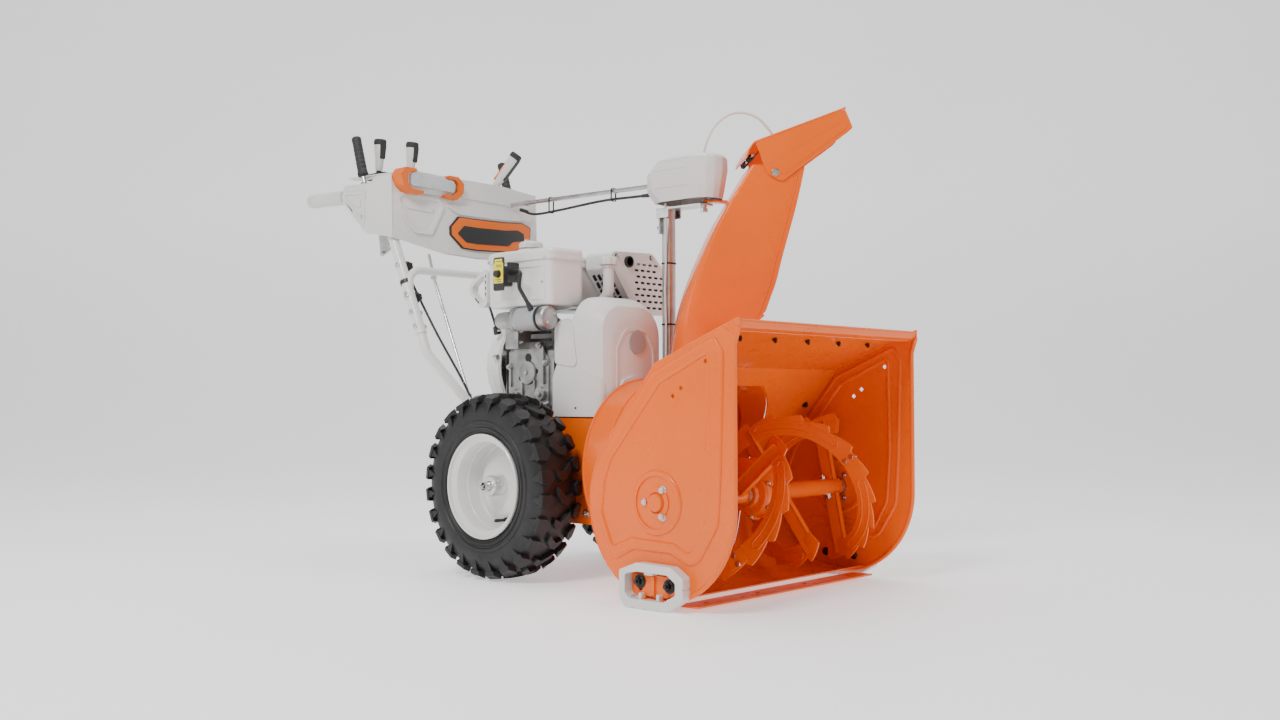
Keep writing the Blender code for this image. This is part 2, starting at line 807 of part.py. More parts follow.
def gear_cover():
    """A hood over the chute's gear: a round nose about the chute's axis, and a body behind it."""
    levels = (
        # height, radius of the nose, back
        (0.8375, 0.0420, 0.535),
        (0.868, 0.0480, 0.556),
        (0.905, 0.0540, 0.552),
        (0.928, 0.0530, 0.530),
        (0.936, 0.044, 0.505),
    )
    rows = []
    for height, nose, back in levels:
        front = arc((CHUTE_X, CHUTE_Y), nose, 0, -math.pi, 11)
        rear = [
            (CHUTE_X - nose, back - 0.03),
            (CHUTE_X - nose * 0.6, back),
            (CHUTE_X + nose * 0.6, back),
            (CHUTE_X + nose, back - 0.03),
        ]
        rows.append([(x, y, height) for x, y in (*front, *rear)])
    bm = bmesh.new()
    grid = [[bm.verts.new(p) for p in row] for row in rows]
    for row, after in zip(grid, grid[1:]):
        for i in range(len(row)):
            j = (i + 1) % len(row)
            bm.faces.new((row[i], row[j], after[j], after[i]))
    bm.faces.new(grid[-1])
    obj = from_bmesh("gear_cover", bm)
    thick = obj.modifiers.new("Thickness", "SOLIDIFY")
    thick.thickness = 0.0025
    thick.offset = -1
    hood = evaluated_mesh(obj)
    above = Vector((CHUTE_X, CHUTE_Y, 0.95))
    cable_hole = rod("cable_hole", above - Vector((0, 0, 0.03)), above, 0.006, segments=12)
    rod_x, _, rod_z = ROD_FRONT
    rod_hole = rod("rod_hole", (rod_x, 0.52, rod_z), (rod_x, 0.60, rod_z), 0.012, segments=12)
    finish(cut(hood, cable_hole, rod_hole), "white_plastic")


ROD_FRONT = (CHUTE_X, 0.455, 0.8850)
ROD_BACK = (0.138, 1.150, 0.9020)


def chute_rod():
    """The long control rod, with the pinion that turns the chute's gear."""
    along = (Vector(ROD_BACK) - Vector(ROD_FRONT)).normalized()
    start = Vector(ROD_FRONT)
    bar = rod("chute_rod", start, ROD_BACK, 0.0055, segments=10)
    pinion = rod("pinion", start, start + along * 0.012, 0.026, 0.030, segments=20)
    finish(join(bar, pinion), "steel", ROD_BACK)


# ---------------------------------------------------------------- tractor


def tractor_frame():
    """A folded steel box, open below and in front where it bolts to the drum."""
    walls = box("tractor_frame", (-FRAME_X, FRAME_FRONT, FRAME_LOW), (FRAME_X, FRAME_BACK, FRAME_TOP))
    inner = box(
        "inner",
        (-FRAME_X + SHEET, 0.4, 0.05),
        (FRAME_X - SHEET, FRAME_BACK - SHEET, FRAME_TOP - SHEET),
    )
    belt_slot = box("belt_slot", (-0.126, 0.4, 0.3), (0.126, 0.600, 0.4))
    bore = rod("bore", (-0.2, AXLE_Y, WHEEL_R), (0.2, AXLE_Y, WHEEL_R), AXLE_R + GAP, segments=20)
    hex_bore = rod("hex_bore", (-0.2, HEX_Y, HEX_Z), (0.2, HEX_Y, HEX_Z), HEX_R + GAP, segments=16)
    post_room = box(
        "post_room",
        (CHUTE_X - POST_HALF - 0.002, 0.4, 0.2),
        (CHUTE_X + POST_HALF + 0.002, POST_Y + POST_HALF + 0.002, 0.5),
    )
    finish(cut(walls, inner, belt_slot, bore, hex_bore, post_room), "orange_paint")


HEX_Y, HEX_Z, HEX_R = 0.690, 0.285, 0.0095


def friction_drive():
    """The disc that the engine's belt turns, and the rubber-edged wheel that slides across its face."""
    disc_front = 0.632
    disc = rod("drive_disc", (0, disc_front, HEX_Z), (0, disc_front + 0.010, HEX_Z), 0.052, segments=28)
    sheave = pulley("sheave", 0.612, HEX_Z, 0, 0.048, 0.006)
    stub = rod("stub", (0, 0.590, HEX_Z), (0, disc_front + 0.004, HEX_Z), 0.0085, segments=14)
    finish(join(disc, sheave, stub), "aluminium", (0, disc_front, HEX_Z))
    reach = FRAME_X + 0.006
    shaft = rod("hex_shaft", (-reach, HEX_Y, HEX_Z), (reach, HEX_Y, HEX_Z), HEX_R, segments=6)
    finish(shaft, "steel", (0, HEX_Y, HEX_Z))
    radius = HEX_Y - disc_front - 0.010 - GAP
    x = FRICTION_X
    wheel = rod("friction_wheel", (x - 0.007, HEX_Y, HEX_Z), (x + 0.007, HEX_Y, HEX_Z), radius, segments=28)
    collar = rod("collar", (x, HEX_Y, HEX_Z), (x + 0.028, HEX_Y, HEX_Z), 0.018, segments=16)
    bore = rod("bore", (x - 0.1, HEX_Y, HEX_Z), (x + 0.1, HEX_Y, HEX_Z), HEX_R + GAP, segments=6)
    finish(cut(join(wheel, collar), bore), "rubber", (0, HEX_Y, HEX_Z))


FRICTION_X = -0.012


def axle():
    reach = 0.2800
    bar = rod("axle", (-reach, AXLE_Y, WHEEL_R), (reach, AXLE_Y, WHEEL_R), AXLE_R, segments=20)
    finish(bar, "steel")


def wheels():
    """Rim and hollow tyre, turned round the axle. Profiles are radius and reach towards the outside."""
    centre = (0, AXLE_Y, WHEEL_R)
    bore = AXLE_R + GAP
    rim_profile = [
        (bore, 0.158),
        (0.022, 0.158),
        (0.022, 0.222),
        (0.060, 0.222),
        (0.088, 0.202),
        (0.0925, 0.170),
        (0.1065, 0.168),
        (0.0975, 0.175),
        (0.0970, 0.272),
        (RIM_R, 0.2865),
        (0.0930, 0.276),
        (0.0920, 0.208),
        (0.0620, 0.232),
        (0.020, 0.232),
        (0.020, 0.262),
        (bore, 0.262),
    ]
    mid, half = TYRE_MID_X, TYRE_HALF_WIDTH
    tyre_profile = [
        (0.1000, mid - 0.046),
        (0.1100, mid - half + 0.004),
        (0.1400, mid - half),
        (0.1700, mid - half + 0.001),
        (0.1880, mid - half + 0.008),
        (0.1980, mid - 0.036),
        (WHEEL_R, mid),
        (0.1980, mid + 0.036),
        (0.1880, mid + half - 0.008),
        (0.1700, mid + half - 0.001),
        (0.1400, mid + half),
        (0.1150, mid + half - 0.0035),
        (0.1000, mid + 0.044),
        # the air space, open towards the rim
        (0.1020, mid + 0.034),
        (0.1200, mid + half - 0.013),
        (0.1680, mid + half - 0.011),
        (0.1885, mid + 0.034),
        (0.1885, mid - 0.034),
        (0.1680, mid - half + 0.011),
        (0.1200, mid - half + 0.013),
        (0.1020, mid - 0.036),
    ]
    rim = turned("wheel_rim_left", rim_profile, (1, 0, 0), centre, steps=24)
    finish(rim, "white_paint", centre)
    mirrored(rim, "wheel_rim_right", "white_paint", centre)
    tyre = turned("tyre_left", tyre_profile, (1, 0, 0), centre, steps=24)
    finish(tyre, "rubber", centre)
    mirrored(tyre, "tyre_right", "rubber", centre)


# ---------------------------------------------------------------- engine


FILLER_ROUTE = (
    (-0.004, 0.680, 0.500),
    (-0.004, 0.672, 0.575),
    (-0.004, 0.602, 0.630),
    (-0.004, 0.602, 0.696),
)


def crankcase():
    """The aluminium block with its slanted cylinder and the oil filler's tube."""
    block = slab(
        "crankcase",
        rounded(
            [
                (-0.118, ENGINE_BASE, 0),
                (-0.118, 0.500, 0.02),
                (-0.085, 0.560, 0.03),
                (0.075, 0.560, 0.03),
                (0.105, 0.480, 0.03),
                (0.105, ENGINE_BASE, 0),
            ],
            3,
        ),
        "y",
        0.662,
        0.822,
    )
    cylinder = box("cylinder", (0.02, 0.672, -0.055), (0.185, 0.812, 0.055))
    lift = Matrix.Translation((0, 0, CRANK_Z)) @ Matrix.Rotation(math.radians(-20), 4, "Y")
    cylinder.data.transform(lift)
    bore = rod("bore", (0, 0.6, CRANK_Z), (0, 0.9, CRANK_Z), 0.0150 + GAP, segments=18)
    room = rod("room", (0, 0.690, CRANK_Z), (0, 0.795, CRANK_Z), 0.060, segments=20)
    filler = pipe("filler", FILLER_ROUTE, 0.0125, sides=12)
    mouth = Vector(FILLER_ROUTE[-1])
    up = Vector((0, 0, 1))
    throat = rod("throat", mouth - 0.05 * up, mouth + 0.02 * up, 0.0090, segments=12)
    finish(cut(join(block, cylinder, filler), bore, room, throat), "aluminium")


def crankshaft():
    """Crankshaft with its throw, the flywheel behind and the belt pulleys in front."""
    shaft = rod("crankshaft", (0, 0.522, CRANK_Z), (0, 0.872, CRANK_Z), 0.0150, segments=14)
    web = rod("web", (0, 0.725, CRANK_Z), (0, 0.760, CRANK_Z), 0.044, segments=16)
    flywheel = rod("flywheel", (0, 0.836, CRANK_Z), (0, 0.864, CRANK_Z), 0.098, segments=24)
    front = pulley("front", BELT_Y, CRANK_Z, 0, ENGINE_PULLEY_R, 0.010)
    rear = pulley("rear", 0.612, CRANK_Z, 0, 0.034, 0.010)
    finish(join(shaft, web, flywheel, front, rear), "steel", (0, 0, CRANK_Z))


def recoil_housing():
    """The white blower cover over the flywheel, domed behind."""
    inner_front = 0.8265
    profile = [
        (RECOIL_R, inner_front),
        (RECOIL_R, 0.856),
        (RECOIL_R - 0.012, 0.888),
        (0.085, 0.906),
        (0.0, 0.912),
        (0.0, 0.909),
        (0.083, 0.903),
        (RECOIL_R - 0.0145, 0.8855),
        (RECOIL_R - 0.003, 0.8555),
        (RECOIL_R - 0.003, inner_front),
    ]
    dome = turned("recoil_housing", profile, (0, 1, 0), (0, 0, CRANK_Z), steps=36)
    low = box("low", (-0.2, 0.7, 0.2), (0.2, 1.0, FRAME_TOP + 0.002))
    slot = box("slot", (-0.116, 0.84, 0.500), (-0.085, 0.92, 0.520))
    finish(cut(dome, low, slot), "white_paint")


def fuel_tank():
    """The tank's deep white body with its rimmed lid."""
    outline = rounded(
        [
            (TANK_NEAR_X, 0.618, 0.012),
            (-0.075, 0.612, 0.02),
            (-0.022, 0.712, 0.03),
            (0.100, 0.712, 0.02),
            (0.100, 0.826, 0.02),
            (TANK_NEAR_X, 0.826, 0.012),
        ],
        3,
    )
    body = slab("fuel_tank", outline, "z", 0.598, 0.706)
    lid_outline = [
        (x + (0.004 if x > 0 else -0.004), y + (0.004 if y > 0.75 else -0.004)) for x, y in outline
    ]
    lid = slab("lid", lid_outline, "z", 0.7045, 0.728)
    near_room = box("room", (TANK_NEAR_X + 0.006, 0.640, 0.606), (-0.100, 0.815, 0.722))
    far_room = box("far_room", (-0.110, 0.722, 0.606), (0.090, 0.815, 0.722))
    neck = rod("neck", (-0.120, 0.735, 0.70), (-0.120, 0.735, 0.735), 0.0200, segments=20)
    throat = rod("throat", (-0.120, 0.735, 0.690), (-0.120, 0.735, 0.78), 0.0170, segments=20)
    finish(cut(join(body, lid, neck), join(near_room, far_room, throat)), "white_paint")


def fuel_cap():
    profile = [(0.0, 0.7353), (0.026, 0.7353), (0.0265, 0.747), (0.022, 0.750), (0.0, 0.751)]
    cap = turned("fuel_cap", profile, (0, 0, 1), (-0.120, 0.735, 0), steps=24)
    plug = rod("plug", (-0.120, 0.735, 0.724), (-0.120, 0.735, 0.740), 0.0160, segments=16)
    finish(join(cap, plug), "white_plastic", (-0.120, 0.735, 0.7353))


def dipstick():
    x, y, top = FILLER_ROUTE[-1]
    top += GAP
    rim = (0.0215, top + 0.016)
    profile = [(0.0, top), (0.0205, top), rim, (0.018, top + 0.019), (0.0, top + 0.020)]
    cap = turned("dipstick", profile, (0, 0, 1), (x, y, 0), steps=20)
    stick = rod("stick", (x, y, 0.650), (x, y, top + 0.005), 0.0035, segments=8)
    finish(join(cap, stick), "white_plastic", (x, y, top))


def starter_motor():
    """The electric starter: a round can along Y with a nose towards the flywheel."""
    x, z = -0.1680, 0.5700
    can = rod("starter_motor", (x, 0.620, z), (x, 0.735, z), 0.0268, segments=24)
    nose = rod("nose", (x + 0.004, 0.735 - 0.002, z), (x + 0.004, 0.790, z), 0.022, 0.018, segments=20)
    lug = box("lug", (x + 0.010, 0.736, z - 0.065), (-0.1183, 0.780, z - 0.004))
    made = join(can, nose, lug)
    finish(made, "aluminium")


def switch_box():
    low_x, face = -0.230, TANK_NEAR_X - 0.0045
    corners = ((0.702, 0.628), (0.742, 0.628), (0.742, 0.708), (0.702, 0.708))
    main = slab("switch_box", rounded([(*place, 0.006) for place in corners], 2), "x", low_x, face)
    back = box("back", (-0.205, 0.739, 0.645), (face, 0.766, 0.690))
    y, z = 0.722, 0.668
    well = x_rod("well", low_x - 0.010, low_x + 0.008, y, z, 0.0070, 14)
    finish(cut(join(main, back), well), "black_plastic")
    button = x_rod("start_button", low_x - 0.0050, low_x + 0.0025, y, z, 0.0062, 14)
    finish(button, "red_plastic", (low_x, y, z))


def switch_lead():
    """The rubber lead that loops from the switch box down into the starter."""
    route = [
        (-0.2080, 0.7005, 0.6720),
        (-0.2090, 0.6830, 0.6740),
        (-0.2130, 0.6700, 0.6670),
        (-0.2120, 0.6740, 0.6510),
        (-0.2040, 0.6820, 0.6370),
        (-0.1990, 0.6760, 0.6220),
        (-0.1955, 0.6670, 0.6060),
        (-0.1868, 0.6640, 0.5918),
    ]
    lead = pipe("switch_lead", smooth_path(route, 3), 0.0045, sides=8)
    finish(lead, "rubber")


def muffler_guard():
    """The perforated white guard round the muffler, open behind."""
    wall = 0.003
    front, back = 0.6180, 0.7050
    corners = [
        (0.028, 0.733, 0.010),
        (0.165, 0.738, 0.030),
        (0.218, 0.690, 0.030),
        (0.218, 0.592, 0.010),
        (0.108, 0.592, 0.006),
        (0.028, 0.695, 0.010),
    ]
    middle = Vector((0.125, 0.665))
    inset = []
    for x, z, radius in corners:
        inward = (middle - Vector((x, z))).normalized() * wall * 1.4
        inset.append((x + inward.x, z + inward.y, max(0.003, radius - wall)))
    guard = slab("muffler_guard", rounded(corners, 3), "y", front, back)
    inner = slab("inner", rounded(inset, 3), "y", front + wall, 0.8)
    mouth = rod("mouth", (0.080, 0.5, 0.712), (0.080, 0.64, 0.712), 0.014, segments=14)
    slots = []
    for row in range(4):
        for column in range(2):
            x, z = 0.140 + 0.034 * column, 0.615 + 0.027 * row
            low, high = (x - 0.012, front - 0.01, z - 0.005), (x + 0.012, front + 0.01, z + 0.005)
            slots.append(box("slot", low, high))
    finish(cut(guard, inner, mouth, *slots), "white_paint")


def recoil_handle():
    """The starter's pull handle, a closed loop beside the tank."""
    x = -0.150
    outer = rounded(
        [
            (0.842, 0.700, 0.010),
            (0.842, 0.610, 0.010),
            (0.862, 0.602, 0.012),
            (0.905, 0.640, 0.014),
            (0.905, 0.660, 0.014),
        ],
        3,
    )
    inner = rounded(
        [
            (0.852, 0.682, 0.006),
            (0.852, 0.620, 0.006),
            (0.862, 0.613, 0.006),
            (0.894, 0.642, 0.008),
            (0.894, 0.656, 0.008),
        ],
        3,
    )
    loop = slab("recoil_handle", outer, "x", x - 0.009, x + 0.009, [inner])
    finish(loop, "white_plastic", (x, 0.842, 0.650))


def belt_cover():
    """The moulded white hood over the belts, open behind and below."""
    levels = (
        # how far back, left, right, top, the radius of the shoulders, and how far the top steps forward
        (0.5060, -0.088, 0.052, 0.560, 0.050, 0.0),
        (0.5160, -0.112, 0.072, 0.596, 0.055, 0.0),
        (0.5600, -0.128, 0.092, 0.618, 0.060, 0.0),
        (0.6500, -0.134, 0.100, 0.618, 0.060, 0.067),
    )
    bottom = 0.3525
    rows = []
    for y, left, right, top, radius, step in levels:
        over = arc((left + radius, top - radius), radius, math.pi, math.pi / 2, 6)
        down = arc((right - radius * 1.2, top - radius * 1.2), radius * 1.2, math.pi / 2, 0, 6)
        edge = ((left, bottom), (left, 0.44), *over, *down, (right, 0.44), (right, bottom))
        # the rear edge steps forward above, clear of the tank and the starter
        rows.append([(x, y - step * min(1.0, max(0.0, (z - 0.48) / 0.10)), z) for x, z in edge])
    bm = bmesh.new()
    grid = [[bm.verts.new(p) for p in row] for row in rows]
    for row, after in zip(grid, grid[1:]):
        for i in range(len(row) - 1):
            bm.faces.new((row[i], row[i + 1], after[i + 1], after[i]))
    bm.faces.new(grid[0])
    obj = from_bmesh("belt_cover", bm)
    thick = obj.modifiers.new("Thickness", "SOLIDIFY")
    thick.thickness = 0.0025
    thick.offset = -1
    finish(evaluated_mesh(obj), "white_plastic")


def belt(name, y, upper, lower):
    """A flat loop round two pulleys on shafts along Y, each given as (x, z, radius)."""
    (x1, z1, r1), (x2, z2, r2) = upper, lower
    lean = math.asin((r2 - r1) / (z1 - z2))
    thickness = 0.007
    outlines = []
    for more in (thickness, 0.0):
        top = arc((x1, z1), r1 + more, lean, math.pi - lean, 10)
        low = arc((x2, z2), r2 + more, math.pi - lean, 2 * math.pi + lean, 17)
        outlines.append([*top, *low])
    return slab(name, outlines[0], "y", y - 0.0038, y + 0.0038, [outlines[1]])


def auger_belt():
    seat = GAP * 3 - GROOVE
    upper = (0, CRANK_Z, ENGINE_PULLEY_R + seat)
    lower = (0, IMPELLER_Z, IMPELLER_PULLEY_R + seat)
    finish(belt("auger_belt", BELT_Y, upper, lower), "rubber")


# ---------------------------------------------------------------- handlebars and dash


def handlebar():
    """The two upper tubes with the brace welded across them."""
    tubes = []
    for side in (-1, 1):
        route = [
            (side * HANDLE_X, 1.0065, 0.5450),
            (side * HANDLE_X, 1.1500, 0.8520),
            (side * GRIP_X, 1.2150, 0.8950),
            (side * GRIP_X, GRIP_END - 0.004, 0.9030),
        ]
        tube = pipe("handlebar", bent_path(route, 0.045, 3), UPPER_TUBE_R, sides=10)
        along = (Vector(route[1]) - Vector(route[0])).normalized()
        low = Vector(route[0])
        socket = rod("socket", low - along * 0.02, low + along * 0.085, LOWER_TUBE_R + SLIP, segments=10)
        tubes.append(cut(tube, socket))
    brace = bent_path(
        [
            (-HANDLE_X, 1.0520, 0.6430),
            (-HANDLE_X + 0.006, 1.0620, 0.7030),
            (HANDLE_X - 0.006, 1.0620, 0.7030),
            (HANDLE_X, 1.0520, 0.6430),
        ],
        0.035,
        3,
    )
    made = join(tubes[0], pipe("brace", brace, 0.0095, sides=8), tubes[1])
    finish(made, "white_paint")


def lower_handles():
    """The bent lower tubes, from the frame's rear corners up into the upper tubes."""
    x = -HANDLE_X
    slope = Vector((0, 1.1500 - 1.0065, 0.8520 - 0.5450)).normalized()
    top = Vector((x, 1.0065, 0.5450)) + slope * 0.075
    route = [
        (-FRAME_X - LOWER_TUBE_R - GAP, 0.792, 0.215),
        (-FRAME_X - LOWER_TUBE_R - GAP, 0.868, 0.345),
        (x, 0.985, 0.4990),
        tuple(top),
    ]
    tube = pipe("lower_handle_right", bent_path(route, 0.05, 3), LOWER_TUBE_R, sides=12)
    finish(tube, "white_paint")
    mirrored(tube, "lower_handle_left", "white_paint")


def grips():
    back = GRIP_END
    profile_x = -GRIP_X
    start, end = Vector((profile_x, 1.285, 0.89756)), Vector((profile_x, GRIP_END - 0.0037, 0.9030))
    along = (end - start).normalized()
    grip = rod("grip_right", start, end + along * 0.003, GRIP_R, GRIP_R - 0.001, segments=18)
    bore = rod("bore", start - along * 0.05, end + along * 0.0003, UPPER_TUBE_R + SLIP, segments=12)
    finish(cut(grip, bore), "white_plastic")
    mirrored(bpy.data.objects["grip_right"], "grip_left", "white_plastic")


# half of the dash: reach from the middle plane, then the bottom, upper front and upper rear edges in Y, Z
DASH_SECTIONS = (
    (0.000, (1.065, 0.745), (1.080, 0.945), (1.290, 0.962), 0.800),
    (0.100, (1.070, 0.750), (1.085, 0.945), (1.290, 0.960), 0.800),
    (0.236, (1.098, 0.782), (1.105, 0.938), (1.282, 0.944), 0.862),
    (0.266, (1.165, 0.795), (1.160, 0.905), (1.262, 0.910), 0.880),
)


def dash_block(name, inset, open_by):
    """The dash as a solid. The inset one is open_by longer behind and below, and hollows the other out."""
    rows = []
    for side in (-1, 1):
        ordered = DASH_SECTIONS[::-1] if side < 0 else DASH_SECTIONS[1:]
        for x, low, front, back, tail in ordered:
            reach = side * (x - inset if x == DASH_SECTIONS[-1][0] else x)
            rows.append(
                [
                    (reach, low[0] + inset, low[1] - open_by),
                    (reach, front[0] + inset, front[1] - inset),
                    (reach, back[0] + open_by, back[1] - inset),
                    (reach, back[0] + open_by, tail - open_by),
                ]
            )
    bm = bmesh.new()
    grid = [[bm.verts.new(p) for p in row] for row in rows]
    for row, after in zip(grid, grid[1:]):
        for i in range(4):
            j = (i + 1) % 4
            bm.faces.new((row[i], row[j], after[j], after[i]))
    bm.faces.new(grid[0])
    bm.faces.new(grid[-1])
    bmesh.ops.triangulate(bm, faces=bm.faces)
    return from_bmesh(name, bm)


def dash_panel():
    """A wide moulded console, open to the operator's side and below."""
    slots = []
    for x, y, half_x, half_y in (
        # the hand levers' slots run out through the rear edge, so that the levers can lie back on the grips
        (AUGER_LEVER_X, LEVER_PIVOT[0] + 0.030, 0.0137, 0.070),
        (-AUGER_LEVER_X, LEVER_PIVOT[0] + 0.030, 0.0137, 0.070),
        (DEFLECTOR_LEVER[0], DEFLECTOR_LEVER[1], 0.008, 0.034),
        (SPEED_LEVER[0], SPEED_LEVER[1], 0.008, 0.034),
        (CHUTE_LEVER[0], CHUTE_LEVER[1] - 0.010, 0.046, 0.024),
    ):
        slots.append(box("slot", (x - half_x, y - half_y, 0.85), (x + half_x, y + half_y, 1.0)))
    rod_hole = y_rod("rod_hole", 1.06, 1.12, 0.1345, ROD_BACK[2], 0.010, 12)
    outside = dash_block("dash_panel", 0.0, 0.0)
    finish(cut(outside, dash_block("inside", 0.003, 0.02), *slots, rod_hole), "white_plastic")


AUGER_LEVER_X = -0.2400
DEFLECTOR_LEVER = (-0.190, 1.222, 0.925)
SPEED_LEVER = (-0.095, 1.222, 0.930)
CHUTE_LEVER = (0.150, 1.205, 0.930)


def hand_lever(name, side):
    """A black clutch lever that stands up from the dash and is pressed back over its grip."""
    x = side * abs(AUGER_LEVER_X)
    y, z = LEVER_PIVOT
    lean = Vector((0, 0.300, 0.954)).normalized()
    base = Vector((x, y, z))
    stem = rod(name, base, base + lean * 0.040, 0.0055, segments=10)
    hub = rod("hub", (x - 0.009, y, z), (x + 0.009, y, z), 0.0090, segments=14)
    grip = rod("grip", base + lean * 0.026, base + lean * 0.132, 0.0125, 0.0115, segments=14)
    finish(join(stem, hub, grip), "black_plastic", (x, y, z))


def joystick(name, base, lean, length):
    """A short control lever with a moulded hand grip."""
    base = Vector(base)
    along = Vector(lean).normalized()
    stem = rod(name, base, base + along * 0.045, 0.0040, segments=8)
    ball = rod("hub", base - Vector((0.006, 0, 0)), base + Vector((0.006, 0, 0)), 0.0070, segments=10)
    grip = rod("grip", base + along * 0.038, base + along * length, 0.0095, 0.0145, segments=12)
    finish(join(stem, ball, grip), "white_plastic", tuple(base))


def headlight():
    """The clear bar lamp in the upper front of the dash."""
    corners = ((-0.205, 0.940), (-0.072, 0.934), (-0.072, 0.905), (-0.205, 0.907))
    lamp = slab("headlight", rounded([(*place, 0.01) for place in corners], 2), "y", 1.0640, 1.0745)
    finish(lamp, "lens")


def clutch_cable():
    """The black cable from the right hand lever down to the frame."""
    route = [
        (-0.192, 1.140, 0.772),
        (-0.186, 1.105, 0.700),
        (-0.170, 1.020, 0.560),
        (-0.140, 0.955, 0.440),
        (-0.126, 0.922, 0.370),
        (-0.120, 0.915, 0.330),
    ]
    cable = pipe("clutch_cable", smooth_path(route, 3), 0.0030, sides=8)
    finish(cable, "rubber")


def chute_cable():
    """The black lead that runs under the control rod from the dash to the gear cover."""
    route = [
        (0.140, 1.055, 0.885),
        (0.138, 1.000, 0.868),
        (0.132, 0.900, 0.868),
        (0.118, 0.740, 0.872),
        (0.108, 0.620, 0.868),
        (0.105, 0.5700, 0.866),
    ]
    cable = pipe("chute_cable", smooth_path(route, 3), 0.0032, sides=8)
    finish(cable, "rubber")


def build():
    side_plates()
    housing_wrap()
    impeller_drum()
    scraper_blade()
    skid_shoes()
    auger_shaft()
    auger("auger_right", -1, math.radians(125))
    auger("auger_left", 1, math.radians(40))
    gearcase()
    impeller_shaft()
    impeller()
    chute_ring()
    chute()
    chute_gear()
    deflector()
    deflector_cable()
    chute_post()
    gear_cover()
    chute_rod()
    tractor_frame()
    friction_drive()
    axle()
    wheels()
    crankcase()
    crankshaft()
    recoil_housing()
    recoil_handle()
    fuel_tank()
    fuel_cap()
    dipstick()
    starter_motor()
    switch_box()
    switch_lead()
    muffler_guard()
    belt_cover()
    auger_belt()
    handlebar()
    lower_handles()
    grips()
    dash_panel()
    headlight()
    hand_lever("auger_lever", -1)
    hand_lever("drive_lever", 1)
    joystick("deflector_lever", DEFLECTOR_LEVER, (0.0, -0.10, 1.0), 0.118)
    joystick("speed_lever", SPEED_LEVER, (0.03, -0.12, 1.0), 0.120)
    joystick("chute_lever", CHUTE_LEVER, (0.42, -0.62, 1.0), 0.148)
    clutch_cable()
    chute_cable()


clear_scene()
parts = collection("snowblower")
machine = bpy.data.objects.new("machine", None)
parts.objects.link(machine)
build()
machine.location = (-BOX_MID_X, -BOX_MID_Y, 0)
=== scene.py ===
"""The looks of the two stage snowblower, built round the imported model.

Pieces are made in the machine's own frame: X is 0 on the middle plane, Y is 0 at the front edge of the side
plates and grows towards the operator, Z is 0 on the ground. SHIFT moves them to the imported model's place.
"""

from math import asin, copysign, cos, pi, radians, sin, tan

import bmesh
import bpy
from mathutils import Matrix, Vector


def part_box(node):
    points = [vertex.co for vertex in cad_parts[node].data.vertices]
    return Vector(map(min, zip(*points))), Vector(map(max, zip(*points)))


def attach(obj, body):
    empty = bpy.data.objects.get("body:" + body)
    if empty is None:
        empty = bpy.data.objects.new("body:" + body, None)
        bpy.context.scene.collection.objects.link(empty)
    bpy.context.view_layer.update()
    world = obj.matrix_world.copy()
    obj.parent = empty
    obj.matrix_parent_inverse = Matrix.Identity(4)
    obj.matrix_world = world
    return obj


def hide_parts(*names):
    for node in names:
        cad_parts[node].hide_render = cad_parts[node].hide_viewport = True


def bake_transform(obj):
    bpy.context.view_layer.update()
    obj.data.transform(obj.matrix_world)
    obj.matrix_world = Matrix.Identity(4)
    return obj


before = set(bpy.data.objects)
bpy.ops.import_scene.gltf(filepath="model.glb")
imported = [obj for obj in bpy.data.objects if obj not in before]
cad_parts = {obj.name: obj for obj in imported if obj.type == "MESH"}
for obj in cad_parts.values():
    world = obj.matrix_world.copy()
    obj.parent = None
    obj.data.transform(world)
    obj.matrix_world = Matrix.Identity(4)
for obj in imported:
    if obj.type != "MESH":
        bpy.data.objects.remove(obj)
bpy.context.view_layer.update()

# The right side plate's outer, foremost and lowest corner is at (-0.308, -0.009) in the machine's frame
PLATE_X = 0.308
PLATE_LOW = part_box("side_plate_right")[0]
SHIFT = Vector((PLATE_LOW.x + PLATE_X, PLATE_LOW.y + 0.009, 0.0))


def cad_box(node):
    """A node's box in the machine's frame."""
    low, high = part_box(node)
    return low - SHIFT, high - SHIFT


# ---------------------------------------------------------------- materials


def nodes_of(name):
    """A new material, its node tree, and its shader's inputs."""
    made = bpy.data.materials.new(name)
    made.use_nodes = True
    return made, made.node_tree, made.node_tree.nodes["Principled BSDF"].inputs


def coordinates(tree):
    return tree.nodes.new("ShaderNodeTexCoord").outputs["Object"]


def noise(tree, scale, detail=3.0, roughness=0.5, vector=None):
    """A noise texture's value, in the piece's own coordinates unless given others."""
    node = tree.nodes.new("ShaderNodeTexNoise")
    node.inputs["Scale"].default_value = scale
    node.inputs["Detail"].default_value = detail
    node.inputs["Roughness"].default_value = roughness
    tree.links.new(vector or coordinates(tree), node.inputs["Vector"])
    return node.outputs["Fac"]


def ramp(tree, factor, stops):
    """Colours from a value, as (value, colour) stops."""
    node = tree.nodes.new("ShaderNodeValToRGB")
    edges = node.color_ramp.elements
    while len(edges) < len(stops):
        edges.new(0.5)
    for edge, (place, colour) in zip(edges, stops):
        edge.position = place
        edge.color = (*colour, 1.0)
    tree.links.new(factor, node.inputs["Fac"])
    return node.outputs["Color"]


def grey(value):
    """A colour without hue."""
    return (value, value, value)


def bump(tree, height, strength, distance, normal=None):
    """A normal from a height."""
    node = tree.nodes.new("ShaderNodeBump")
    node.inputs["Strength"].default_value = strength
    node.inputs["Distance"].default_value = distance
    tree.links.new(height, node.inputs["Height"])
    if normal:
        tree.links.new(normal, node.inputs["Normal"])
    return node.outputs["Normal"]


def shades(colour, dark, light):
    """Two stops of one colour, for a slow change over the surface."""
    low = tuple(c * dark for c in colour)
    high = tuple(min(1.0, c * light) for c in colour)
    return [(0.35, low), (0.65, high)]


